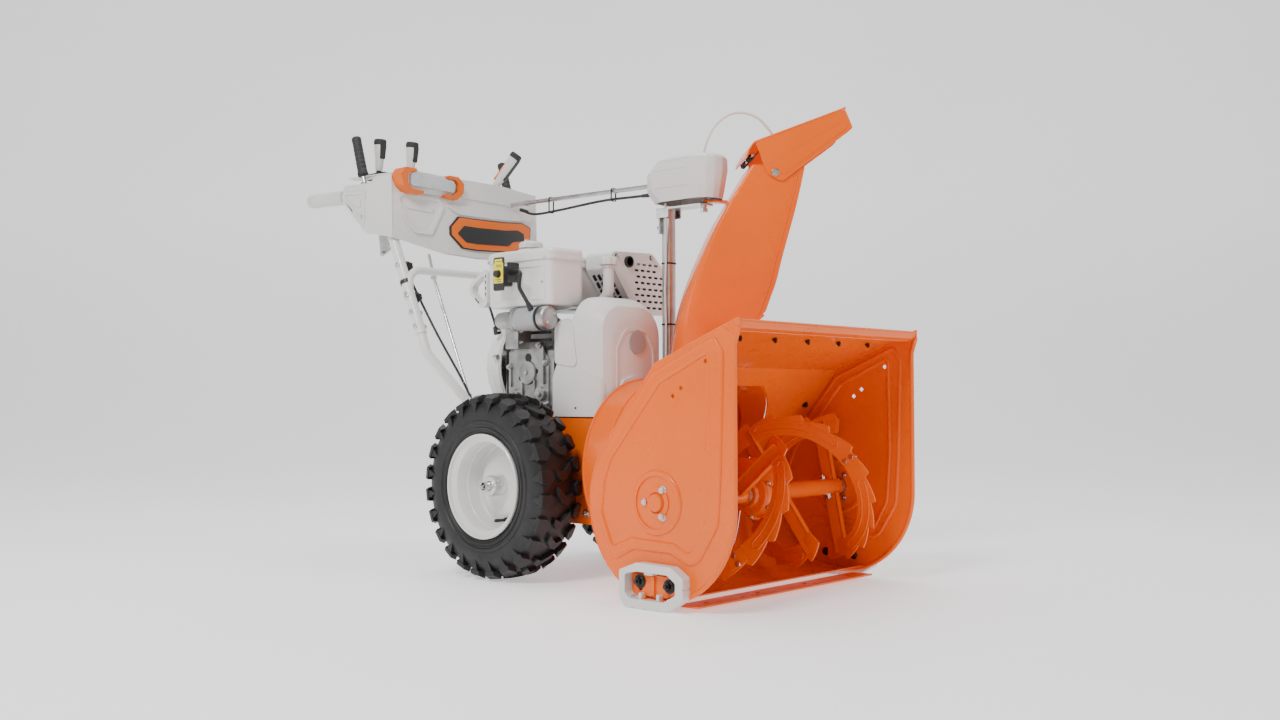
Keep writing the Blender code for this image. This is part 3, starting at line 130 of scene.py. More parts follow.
def paint(name, colour, roughness, coat):
    """Powder coat: a slow drift in colour, a faint orange peel, and a clear gloss."""
    made, tree, inputs = nodes_of(name)
    tree.links.new(ramp(tree, noise(tree, 3.5), shades(colour, 0.94, 1.04)), inputs["Base Color"])
    rough = ramp(tree, noise(tree, 18.0, 5.0), [(0.3, grey(roughness * 0.8)), (0.7, grey(roughness * 1.25))])
    tree.links.new(rough, inputs["Roughness"])
    tree.links.new(bump(tree, noise(tree, 900.0, 2.0), 0.1, 0.0004), inputs["Normal"])
    inputs["Coat Weight"].default_value = coat
    inputs["Coat Roughness"].default_value = 0.08
    inputs["Specular IOR Level"].default_value = 0.3
    return made


def plastic(name, colour, roughness, grain=0.25, scale=1400.0):
    """Moulded plastic with a fine etched grain."""
    made, tree, inputs = nodes_of(name)
    tree.links.new(ramp(tree, noise(tree, 5.0), shades(colour, 0.93, 1.03)), inputs["Base Color"])
    rough = ramp(tree, noise(tree, 30.0, 4.0), [(0.3, grey(roughness * 0.9)), (0.7, grey(roughness * 1.15))])
    tree.links.new(rough, inputs["Roughness"])
    tree.links.new(bump(tree, noise(tree, scale, 2.0), grain, 0.0003), inputs["Normal"])
    return made


def rubber_like(name, colour, roughness, dust=0.06):
    """Black rubber: faint mould flow, a fine grain and a little dust."""
    made, tree, inputs = nodes_of(name)
    dusty = tuple(min(1.0, c + dust) for c in colour)
    tree.links.new(ramp(tree, noise(tree, 14.0, 6.0, 0.6), [(0.42, colour), (0.75, dusty)]),
        inputs["Base Color"])
    tree.links.new(ramp(tree, noise(tree, 40.0, 5.0), [(0.3, grey(roughness * 0.85)),
        (0.7, grey(roughness * 1.15))]), inputs["Roughness"])
    fine = bump(tree, noise(tree, 700.0, 3.0), 0.3, 0.0004)
    tree.links.new(bump(tree, noise(tree, 60.0, 3.0), 0.12, 0.002, fine), inputs["Normal"])
    return made


def metal(name, colour, roughness, grain=0.15, scale=500.0, stretch=(1, 1, 1), blotch=0.85):
    """Metal with a drawn or cast grain; stretch says along which axes the grain runs."""
    made, tree, inputs = nodes_of(name)
    spread = tree.nodes.new("ShaderNodeVectorMath")
    spread.operation = "MULTIPLY"
    spread.inputs[1].default_value = stretch
    tree.links.new(coordinates(tree), spread.inputs[0])
    inputs["Metallic"].default_value = 1.0
    tree.links.new(ramp(tree, noise(tree, 26.0, 5.0), shades(colour, blotch, 1.08)), inputs["Base Color"])
    lines = noise(tree, scale, 4.0, 0.6, spread.outputs["Vector"])
    tree.links.new(ramp(tree, lines, [(0.3, grey(roughness * 0.75)),
        (0.7, grey(min(1.0, roughness * 1.35)))]), inputs["Roughness"])
    tree.links.new(bump(tree, lines, grain, 0.0005), inputs["Normal"])
    return made


def clear_plastic(name):
    """The lamp's clear lens, faintly ribbed."""
    made, tree, inputs = nodes_of(name)
    wave = tree.nodes.new("ShaderNodeTexWave")
    wave.inputs["Scale"].default_value = 60.0
    tree.links.new(coordinates(tree), wave.inputs["Vector"])
    tree.links.new(bump(tree, wave.outputs["Fac"], 0.35, 0.0015), inputs["Normal"])
    tree.links.new(ramp(tree, noise(tree, 30.0), [(0.4, (0.78, 0.82, 0.86)), (0.6, (0.93, 0.95, 0.97))]),
        inputs["Base Color"])
    inputs["Roughness"].default_value = 0.08
    inputs["Transmission Weight"].default_value = 0.55
    inputs["IOR"].default_value = 1.49
    return made


ORANGE_COLOUR = (0.9, 0.135, 0.0)
WHITE_COLOUR = (0.78, 0.77, 0.75)
ORANGE = paint("orange powder coat", ORANGE_COLOUR, 0.3, coat=0.22)
WHITE = paint("white powder coat", WHITE_COLOUR, 0.34, coat=0.3)
WHITE_PLASTIC = plastic("white moulded plastic", (0.71, 0.7, 0.68), 0.42)
GRIP_PLASTIC = plastic("white grip", (0.66, 0.66, 0.64), 0.6, grain=0.5, scale=700.0)
BLACK_PLASTIC = plastic("black moulded plastic", (0.018, 0.018, 0.019), 0.42)
SOFT_BLACK = plastic("soft black grip", (0.022, 0.022, 0.023), 0.62, grain=0.5, scale=800.0)
ORANGE_PLASTIC = plastic("orange moulded plastic", (0.78, 0.14, 0.0), 0.35)
YELLOW = plastic("yellow label", (0.85, 0.72, 0.02), 0.35, grain=0.1)
RED = plastic("red plastic", (0.6, 0.012, 0.01), 0.25, grain=0.05)
LABEL = plastic("grey printed label", (0.36, 0.37, 0.38), 0.35, grain=0.1)
TYRE = rubber_like("tyre rubber", (0.005, 0.005, 0.0053), 0.5, dust=0.008)
RUBBER = rubber_like("black rubber", (0.014, 0.014, 0.014), 0.5, dust=0.02)
CLEAR_TUBE = plastic("pale cable sheath", (0.72, 0.66, 0.62), 0.3, grain=0.05)
ZINC = metal("zinc plated steel", (0.66, 0.66, 0.65), 0.28)
DRAWN = metal("drawn steel tube", (0.6, 0.6, 0.6), 0.33, grain=0.2, scale=260.0, stretch=(1, 1, 0.06))
DARK_STEEL = metal("dark steel", (0.1, 0.098, 0.095), 0.42, blotch=0.7)
BLACK_STEEL = metal("black steel", (0.055, 0.055, 0.057), 0.38, blotch=0.8)
CAST = metal("cast aluminium", (0.46, 0.46, 0.455), 0.4, grain=0.7, scale=420.0, blotch=0.62)
BRIGHT = metal("machined aluminium", (0.74, 0.74, 0.74), 0.25)
LENS = clear_plastic("clear lens")


# the record's slot that each material belongs to, unless a piece says otherwise
SLOTS = {"orange_paint": (ORANGE, ORANGE_PLASTIC), "steel": (ZINC, DARK_STEEL, BLACK_STEEL, DRAWN),
    "white_plastic": (WHITE_PLASTIC, CLEAR_TUBE, GRIP_PLASTIC),
    "black_plastic": (BLACK_PLASTIC, YELLOW, SOFT_BLACK), "rubber": (RUBBER,), "tyre": (TYRE,),
    "white_paint": (WHITE,), "aluminium": (BRIGHT, CAST, LABEL), "red_plastic": (RED,), "lens": (LENS,)}
SLOT_OF = {material: slot for slot, materials in SLOTS.items() for material in materials}


# ---------------------------------------------------------------- shapes, each added to a bmesh


def add(bm, made, matrix=None):
    """Adds another bmesh's shape, moved by a matrix, and frees it."""
    if matrix is not None:
        made.transform(matrix)
    mesh = bpy.data.meshes.new("scratch")
    made.to_mesh(mesh)
    made.free()
    bm.from_mesh(mesh)
    bpy.data.meshes.remove(mesh)


def pointing(along):
    """The turn that takes Z along a direction."""
    return along.to_track_quat("Z", "Y").to_matrix().to_4x4()


def block(bm, low, high, matrix=None):
    """A box between two corners."""
    made = bmesh.new()
    bmesh.ops.create_cube(made, size=1.0)
    bmesh.ops.scale(made, vec=[b - a for a, b in zip(low, high)], verts=made.verts)
    bmesh.ops.translate(made, vec=[(a + b) / 2 for a, b in zip(low, high)], verts=made.verts)
    add(bm, made, matrix)


def rod(bm, start, end, radius, end_radius=None, segments=24):
    """A round bar or cone between two places."""
    start, end = Vector(start), Vector(end)
    along = end - start
    made = bmesh.new()
    bmesh.ops.create_cone(made, cap_ends=True, segments=segments, radius1=radius, radius2=radius
        if end_radius is None else end_radius, depth=along.length)
    add(bm, made, Matrix.Translation((start + end) / 2) @ pointing(along))


PLANES = {
    "x": Matrix(((0, 0, 1, 0), (1, 0, 0, 0), (0, 1, 0, 0), (0, 0, 0, 1))),  # outline in Y, Z
    "y": Matrix(((1, 0, 0, 0), (0, 0, 1, 0), (0, 1, 0, 0), (0, 0, 0, 1))),  # outline in X, Z
    "z": Matrix.Identity(4),  # outline in X, Y
}


def weld(made):
    """Joins doubled points and turns the faces outwards."""
    bmesh.ops.remove_doubles(made, verts=made.verts, dist=2e-6)
    bmesh.ops.recalc_face_normals(made, faces=made.faces)
    if made.calc_volume(signed=True) < 0:
        bmesh.ops.reverse_faces(made, faces=made.faces)


def crease(made, place, across, clear_outer=False):
    """Adds edges where a plane meets the shape, and clears what is beyond it if asked."""
    bmesh.ops.bisect_plane(made, geom=[*made.verts, *made.edges, *made.faces], plane_co=place,
        plane_no=across, clear_outer=clear_outer)


def from_curve(bm, curve, placed, matrix=None):
    """Adds a curve's mesh to the shape."""
    obj = bpy.data.objects.new("scratch", curve)
    mesh = bpy.data.meshes.new_from_object(obj)
    made = bmesh.new()
    made.from_mesh(mesh)
    made.transform(placed)
    weld(made)
    add(bm, made, matrix)
    bpy.data.objects.remove(obj)
    bpy.data.curves.remove(curve)
    bpy.data.meshes.remove(mesh)


def slab(bm, outline, axis, low, high, holes=(), matrix=None):
    """A flat outline, with any holes, made solid between two places along an axis."""
    curve = bpy.data.curves.new("scratch", "CURVE")
    curve.dimensions = "2D"
    curve.fill_mode = "BOTH"
    curve.extrude = abs(high - low) / 2
    for points in (outline, *holes):
        spline = curve.splines.new("POLY")
        spline.points.add(len(points) - 1)
        for point, (a, b) in zip(spline.points, points):
            point.co = (a, b, 0, 1)
        spline.use_cyclic_u = True
    placed = PLANES[axis] @ Matrix.Translation((0, 0, (low + high) / 2))
    from_curve(bm, curve, placed, matrix)


def pipe(bm, points, radius, sides=16):
    """A round bar along points, with filled ends."""
    curve = bpy.data.curves.new("scratch", "CURVE")
    curve.dimensions = "3D"
    curve.bevel_depth = radius
    curve.bevel_resolution = max(0, (sides - 4) // 2)
    curve.use_fill_caps = True
    spline = curve.splines.new("POLY")
    spline.points.add(len(points) - 1)
    for point, place in zip(spline.points, points):
        point.co = (*place, 1)
    from_curve(bm, curve, Matrix.Identity(4))


def turned(bm, profile, axis, centre, steps=64, matrix=None):
    """A closed profile of (radius, height) turned round an axis through centre, heights along the axis."""
    made = bmesh.new()
    rings = []
    for step in range(steps):
        angle = 2 * pi * step / steps
        rings.append([made.verts.new((r * cos(angle), r * sin(angle), h)) for r, h in profile])
    for ring, after in zip(rings, rings[1:] + rings[:1]):
        for i in range(len(profile)):
            j = (i + 1) % len(profile)
            made.faces.new((ring[i], ring[j], after[j], after[i]))
    bmesh.ops.remove_doubles(made, verts=made.verts, dist=1e-6)
    bmesh.ops.dissolve_degenerate(made, edges=made.edges, dist=1e-7)
    weld(made)
    place = Matrix.Translation(centre) @ pointing(Vector(axis))
    add(bm, made, place if matrix is None else matrix @ place)


def lofted(bm, rows, closed=False, caps=False):
    """Faces through rows of points."""
    made = bmesh.new()
    grid = [[made.verts.new(point) for point in row] for row in rows]
    for row, after in zip(grid, grid[1:]):
        count = len(row)
        for i in range(count if closed else count - 1):
            j = (i + 1) % count
            made.faces.new((row[i], row[j], after[j], after[i]))
    if caps:
        made.faces.new(grid[0])
        made.faces.new(grid[-1])
        weld(made)
    add(bm, made)


def arc(centre, radius, start, end, count):
    """Points along an arc, angles in radians."""
    turns = [start + (end - start) * i / (count - 1) for i in range(count)]
    return [(centre[0] + radius * cos(t), centre[1] + radius * sin(t)) for t in turns]


def circle(centre, radius, count=32):
    return arc(centre, radius, 0, 2 * pi, count + 1)[:-1]


def rectangle(left, low, right, high, *radius):
    """The corners of a rectangle, each with the radius of its corner if one is given."""
    return [(left, low, *radius), (right, low, *radius), (right, high, *radius), (left, high, *radius)]


def rounded(corners, count=5):
    """An outline whose corners, given as (a, b, radius), are rounded."""
    points = []
    for i, (a, b, radius) in enumerate(corners):
        if radius == 0:
            points.append((a, b))
            continue
        here = Vector((a, b))
        before = (Vector(corners[i - 1][:2]) - here).normalized()
        after = (Vector(corners[(i + 1) % len(corners)][:2]) - here).normalized()
        half = before.angle(after) / 2
        first, last = here + before * (radius / tan(half)), here + after * (radius / tan(half))
        centre = here + (before + after).normalized() * (radius / sin(half))
        for step in range(count + 1):
            spoke = (first - centre).lerp(last - centre, step / count).normalized() * radius
            points.append(tuple(centre + spoke))
    return points


def smooth_path(points, per_span=6):
    """Points on a smooth curve through the given ones, which may be of any size."""
    places = [Vector(p) for p in points]
    padded = [2 * places[0] - places[1], *places, 2 * places[-1] - places[-2]]
    path = []
    for p0, p1, p2, p3 in zip(padded, padded[1:], padded[2:], padded[3:]):
        for step in range(per_span):
            t = step / per_span
            bend = (2 * p0 - 5 * p1 + 4 * p2 - p3) * t**2 + (3 * p1 - p0 - 3 * p2 + p3) * t**3
            path.append(0.5 * (2 * p1 + (p2 - p0) * t + bend))
    return [tuple(p) for p in (*path, places[-1])]


def bent_path(points, radius, count=8):
    """Straight runs between points, with each bend rounded to radius."""
    places = [Vector(p) for p in points]
    path = [places[0]]
    for before, here, after in zip(places, places[1:], places[2:]):
        back, on = (before - here).normalized(), (after - here).normalized()
        half = back.angle(on) / 2
        centre = here + (back + on).normalized() * (radius / sin(half))
        reach = radius / tan(half)
        first, last = here + back * reach - centre, here + on * reach - centre
        path += [centre + first.lerp(last, step / count).normalized() * radius for step in range(count + 1)]
    return [tuple(p) for p in (*path, places[-1])]


def hexagon(bm, place, direction, width, height):
    """A hexagonal head or nut standing on a surface."""
    place, direction = Vector(place), Vector(direction).normalized()
    rod(bm, place, place + direction * height, width * 0.577, segments=6)


def bolt(bm, place, direction, width=0.01, head=0.005, washer=0.0):
    """A hexagonal bolt head, with a washer under it if given its width."""
    place, direction = Vector(place), Vector(direction).normalized()
    if washer:
        rod(bm, place - direction * 0.0005, place + direction * 0.0015, washer / 2, segments=24)
    hexagon(bm, place, direction, width, head + (0.0015 if washer else 0))
    rod(bm, place, place + direction * (head + 0.004), width * 0.28, segments=12)


def dome(bm, place, direction, radius, height):
    """A carriage bolt's low round head."""
    profile = [(radius * cos(t), height * sin(t)) for t in (0.0, 0.4, 0.8, 1.2)]
    turned(bm, [(0.0, 0.0), *profile, (0.0, height)], direction, place, steps=16)


# ---------------------------------------------------------------- from a bmesh to a piece of the model


def modifier(obj, kind, **values):
    """Adds a modifier with the stated settings."""
    step = obj.modifiers.new(kind.title(), kind)
    for name, value in values.items():
        setattr(step, name, value)


def bevelled(obj, width, segments=2, angle=35.0):
    """Softens every edge sharper than an angle in degrees."""
    modifier(obj, "BEVEL", width=width, segments=segments, limit_method="ANGLE", angle_limit=radians(angle),
        harden_normals=True)


def piece(name, bm, material, body="machine", replaces=(), slot=None, bevel=0.0, segments=2, angle=35.0,
        solid=0.0):
    """Places the shape at the model's own place, gives it its finish and hangs it on its body.

    A body given as (from, to, start, end) is not attached: the piece's place is baked into its mesh.
    """
    bm.transform(Matrix.Translation(SHIFT))
    mesh = bpy.data.meshes.new(name)
    bm.to_mesh(mesh)
    bm.free()
    mesh.materials.append(material)
    mesh.shade_smooth()
    mesh.set_sharp_from_angle(angle=radians(angle))
    obj = bpy.data.objects.new(name, mesh)
    bpy.context.scene.collection.objects.link(obj)
    if solid:
        modifier(obj, "SOLIDIFY", thickness=solid, offset=-1.0, use_even_offset=True)
    if bevel:
        bevelled(obj, bevel, segments, angle)
    if isinstance(body, tuple):
        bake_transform(obj)
    else:
        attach(obj, body)
    slot or SLOT_OF[material]
    if replaces:
        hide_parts(*replaces)
    return obj


def applied(obj):
    """Applies the object's modifiers."""
    bpy.context.view_layer.update()
    graph = bpy.context.evaluated_depsgraph_get()
    mesh = bpy.data.meshes.new_from_object(obj.evaluated_get(graph), depsgraph=graph)
    obj.modifiers.clear()
    obj.data = mesh


def cut(obj, cutter, operation="DIFFERENCE"):
    """Cuts a bmesh in the machine's frame out of a piece that has no bevel yet, or joins it on."""
    cutter.transform(Matrix.Translation(SHIFT))
    mesh = bpy.data.meshes.new("cutter")
    cutter.to_mesh(mesh)
    cutter.free()
    tool = bpy.data.objects.new("cutter", mesh)
    bpy.context.scene.collection.objects.link(tool)
    modifier(obj, "BOOLEAN", operation=operation, solver="EXACT", object=tool)
    applied(obj)
    bpy.data.objects.remove(tool)


def both_sides(bm):
    """Adds the mirror image of a shape across the middle plane."""
    other = bm.copy()
    other.transform(Matrix.Diagonal((-1, 1, 1, 1)))
    bmesh.ops.reverse_faces(other, faces=other.faces)
    add(bm, other)


def flipped(bm, side):
    """The shape as built on the operator's right, or mirrored to the left for side 1."""
    if side > 0:
        bm.transform(Matrix.Diagonal((-1, 1, 1, 1)))
        bmesh.ops.reverse_faces(bm, faces=bm.faces)
    return bm


def new():
    return bmesh.new()


def carry(node, material, bevel):
    """A CAD node that is shown as it is, with its finish and softer edges."""
    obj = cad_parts[node]
    for place in obj.material_slots:
        place.material = material
    bevelled(obj, bevel)


# ---------------------------------------------------------------- auger housing


SHEET = 0.0025
HOUSING_CENTRE = (0.183, 0.193)
HOUSING_R = 0.18
HOUSING_TANGENT = radians(40)
AUGER_Y, AUGER_Z = 0.188, 0.198
IMPELLER_Z = 0.243


def plate_outline(inset=0.0):
    """Round below, tangent to the front edge and to the slope behind. A positive inset shrinks it."""
    lean = Vector((cos(HOUSING_TANGENT), sin(HOUSING_TANGENT))) * inset
    return [(-0.009 + inset, 0.538 - inset), (-0.009 + inset, 0.518), (0.003 + inset, 0.49),
        *arc(HOUSING_CENTRE, HOUSING_R - inset, pi, 2 * pi + HOUSING_TANGENT, 60),
        (0.193 - lean.x, 0.46 - lean.y)]


# the pressed band on the side plates: its outer and inner edges in Y, Z, with corner radii
BAND_OUTER = ((0.049, 0.5, 0.006), (0.031, 0.474, 0.02), (0.038, 0.262, 0.2), (0.044, 0.166, 0.05),
    (0.096, 0.084, 0.03), (0.152, 0.11, 0.02), (0.246, 0.112, 0.02), (0.298, 0.086, 0.015),
    (0.338, 0.16, 0.05), (0.337, 0.264, 0.05), (0.195, 0.438, 0.02))
BAND_INNER = ((0.061, 0.48, 0.006), (0.182, 0.424, 0.01), (0.309, 0.277, 0.02), (0.326, 0.234, 0.03),
    (0.333, 0.173, 0.04), (0.302, 0.104, 0.012), (0.252, 0.125, 0.015), (0.145, 0.121, 0.015),
    (0.104, 0.1, 0.02), (0.066, 0.17, 0.05), (0.058, 0.282, 0.1))
BEARING_BOLTS = ((0.172, 0.222), (0.215, 0.198), (0.173, 0.173))
PLATE_HOLES = ((0.07, 0.4605), (0.129, 0.412), (0.149, 0.397))
SKID_BOLTS = ((0.224, 0.05), (0.151, 0.047))


def side_plate(side, word):
    """A pressed steel plate with a rolled front edge, a raised band and a raised ring round the bearing."""
    out = -PLATE_X
    holes = [[(y - 0.0055, z), (y, z - 0.0055), (y + 0.0055, z), (y, z + 0.0055)] for y, z in PLATE_HOLES]
    bm = new()
    slab(bm, plate_outline(), "x", out, out + SHEET, holes)
    bore = circle((AUGER_Y, AUGER_Z), 0.02)
    piece(f"side_plate.sheet.{word}", flipped(bm, side), ORANGE, replaces=(f"side_plate_{word}",),
        bevel=0.0007)
    bm = new()
    slab(bm, rounded(BAND_OUTER, 8), "x", out - 0.0035, out + SHEET + 0.002, [rounded(BAND_INNER, 8)])
    ring = circle((AUGER_Y, AUGER_Z), 0.0565, 64)
    slab(bm, ring, "x", out - 0.0032, out + SHEET + 0.0018, [circle((AUGER_Y, AUGER_Z), 0.0505, 64)])
    slab(bm, circle((AUGER_Y, AUGER_Z), 0.03, 48), "x", out - 0.0025, out + SHEET + 0.0015, [bore])
    piece(f"side_plate.pressing.{word}", flipped(bm, side), ORANGE, bevel=0.0022, segments=4)
    bm = new()
    for outline in (rounded(BAND_OUTER, 8), rounded(BAND_INNER, 8), ring):
        pipe(bm, [(out + SHEET / 2, y, z) for y, z in (*outline, outline[0])], 0.0052, 16)
    piece(f"side_plate.ridges.{word}", flipped(bm, side), ORANGE)
    bm = new()
    front = [(-0.006, 0.52), (0.004, 0.489), (0.004, 0.3), *arc(HOUSING_CENTRE, 0.179, pi, 1.55 * pi, 30)]
    pipe(bm, [(out + 0.001, y, z) for y, z in front], 0.0048, 20)
    rear = [*arc(HOUSING_CENTRE, 0.179, 1.56 * pi, 2 * pi + HOUSING_TANGENT, 30), (0.191, 0.458)]
    pipe(bm, [(out + 0.001, y, z) for y, z in rear], 0.0019, 12)
    top = [(-0.006, 0.5365), (0.09, 0.499), (0.191, 0.458)]
    pipe(bm, [(out + 0.001, y, z) for y, z in top], 0.0019, 12)
    for reach in (0.012, 0.022, 0.032):
        pipe(bm, [(out, -0.002, 0.532 - reach), (out, -0.004 + reach * 1.1, 0.5285 - reach * 0.12)], 0.0013,
            10)
    piece(f"side_plate.rolled_edge.{word}", flipped(bm, side), ORANGE)
    bm = new()
    for y, z in BEARING_BOLTS:
        bolt(bm, (out, y, z), (-1, 0, 0), 0.011, 0.0055, washer=0.017)
        bolt(bm, (out + SHEET, y, z), (1, 0, 0), 0.011, 0.006)
    rod(bm, (out + SHEET, AUGER_Y, AUGER_Z), (out + 0.016, AUGER_Y, AUGER_Z), 0.019, segments=32)
    piece(f"side_plate.bearing_bolts.{word}", flipped(bm, side), ZINC, bevel=0.0005)
    bm = new()
    end = out - cad_box("auger_shaft")[0].x
    turned(bm, [(0.0, end + 0.0005), (0.0, end + 0.0018), (0.016, end + 0.0018), (0.0188, 0.0),
        (0.0188, -0.001), (0.0168, -0.001), (0.015, end + 0.0005)], (-1, 0, 0), (out, AUGER_Y, AUGER_Z), 48)
    piece(f"side_plate.bearing_cap.{word}", flipped(bm, side), ORANGE, bevel=0.0006)


def wrap_path():
    """The sheet between the plates, from the rolled front lip over the top, down the back and round below."""
    around = plate_outline(0.003)[3:63]
    under = [p for p in around if p[0] > 0.118]
    lip = [(0.012, 0.514), (0.003, 0.515), (-0.004, 0.519), (-0.007, 0.5245), (-0.0075, 0.53),
        (-0.005, 0.534)]
    return [*lip, (-0.001, 0.5355), (0.193, 0.457), *under[::-1]]


def housing_wrap():
    reach = PLATE_X - SHEET - 0.0004
    bm = new()
    lofted(bm, [[(-reach + 2 * reach * i / 8, y, z) for i in range(9)] for y, z in wrap_path()])
    wrap = piece("housing.wrap", bm, ORANGE, replaces=("housing_wrap",), solid=SHEET, angle=28)
    applied(wrap)
    mouth = new()
    rod(mouth, (0, 0.222, IMPELLER_Z), (0, 0.45, IMPELLER_Z), 0.1885, segments=96)
    cut(wrap, mouth)
    bevelled(wrap, 0.0006)
    bm = new()
    pipe(bm, [(-reach, -0.0035, 0.53), (reach, -0.0035, 0.53)], 0.0048, 20)
    pipe(bm, [(-reach, 0.01, 0.515), (reach, 0.01, 0.515)], 0.0025, 12)
    for x in (-0.18, 0.18):
        slab(bm, rounded([(x - 0.05, 0.05, 0.01), (x + 0.05, 0.05, 0.01), (x + 0.045, 0.15, 0.01),
            (x - 0.045, 0.15, 0.01)]), "z", 0.0, 0.0022, matrix=Matrix.Translation(
            (0, 0.01, 0.5345)) @ Matrix.Rotation(radians(-22.0), 4, "X"))
    piece("housing.rolled_lip", bm, ORANGE, bevel=0.0006)
    bm = new()
    for i in range(5):
        bolt(bm, (-0.22 + 0.11 * i, 0.06, 0.5075), (0, -0.38, -0.92), 0.009, 0.005)
    for x in (-0.27, 0.27):
        for z in (0.3, 0.38):
            y = 0.193 + (0.457 - z) * 0.84
            bolt(bm, (x, y - 0.002, z), (0, -0.77, -0.64), 0.01, 0.005, washer=0.016)
    piece("housing.bolts", bm, DARK_STEEL)


def impeller_drum():
    """A short drum behind the housing, with a round spout up to the chute."""
    high = cad_box("impeller_drum")[1]
    centre, back, radius = IMPELLER_Z, high.y, 0.191
    bm = new()
    rod(bm, (0, 0.18, centre), (0, back, centre), radius, segments=112)
    drum = piece("drum.shell", bm, ORANGE, replaces=("impeller_drum",))
    spout = new()
    rod(spout, (*CHUTE_AXIS, 0.3), (*CHUTE_AXIS, high.z), 0.0835, segments=72)
    cut(drum, spout, "UNION")
    for start, end, size in (((0, 0.1, centre), (0, back - 0.0022, centre), radius - 0.0025),
            ((*CHUTE_AXIS, 0.25), (*CHUTE_AXIS, 0.46), 0.081), ((0, 0.45, centre), (0, 0.55, centre), 0.011)):
        hole = new()
        rod(hole, start, end, size, segments=96)
        cut(drum, hole)
    inside = new()
    slab(inside, plate_outline(0.003 - SHEET / 2 - 0.0016), "x", -0.3, 0.3)
    cut(drum, inside)
    bevelled(drum, 0.0006)
    bm = new()
    for y in (0.432, back - 0.004):
        turned(bm, [(radius, -0.004), (radius + 0.003, -0.002), (radius + 0.003, 0.002), (radius, 0.004)],
            (0, 1, 0), (0, y, centre), 112)
    turned(bm, [(0.0835, 0.418), (0.0885, 0.42), (0.0885, high.z), (0.0835, high.z)], (0, 0, 1),
        (*CHUTE_AXIS, 0), 72)
    piece("drum.ribs", bm, ORANGE, bevel=0.0006)
    bm = new()
    for i in range(8):
        angle = radians(22.5 + 45 * i)
        bolt(bm, (0.165 * cos(angle), back, centre + 0.165 * sin(angle)), (0, 1, 0), 0.011, 0.0025)
    for i in range(3):
        angle = radians(200 + 40 * i)
        x, y = CHUTE_AXIS[0] + 0.0885 * cos(angle), CHUTE_AXIS[1] + 0.0885 * sin(angle)
        rod(bm, (x, y, 0.424), (x, y, 0.434), 0.0045)
    piece("drum.bolts", bm, ZINC)


def scraper():
    bm = new()
    slab(bm, [(0.098, 0.0085), (0.15, 0.0075), (0.15, 0.0115), (0.098, 0.0125)], "x", -0.296, 0.296)
    piece("scraper.blade", bm, ORANGE, replaces=("scraper_blade",), bevel=0.0008)
    bm = new()
    for x in (-0.24, -0.08, 0.08, 0.24):
        dome(bm, (x, 0.125, 0.01), (0, 0, 1), 0.0075, 0.003)
    piece("scraper.bolts", bm, ZINC)


SHOE_OUTER = ((0.264, 0.07, 0.006), (0.221, 0.086, 0.01), (0.136, 0.084, 0.01), (0.107, 0.066, 0.008),
    (0.107, 0.026, 0.008), (0.148, 0.0, 0.006), (0.248, 0.0, 0.006), (0.264, 0.018, 0.008))
SHOE_INNER = ((0.25, 0.064, 0.006), (0.218, 0.07, 0.008), (0.145, 0.069, 0.008), (0.125, 0.056, 0.006),
    (0.125, 0.034, 0.006), (0.154, 0.018, 0.006), (0.236, 0.018, 0.006), (0.25, 0.028, 0.006))


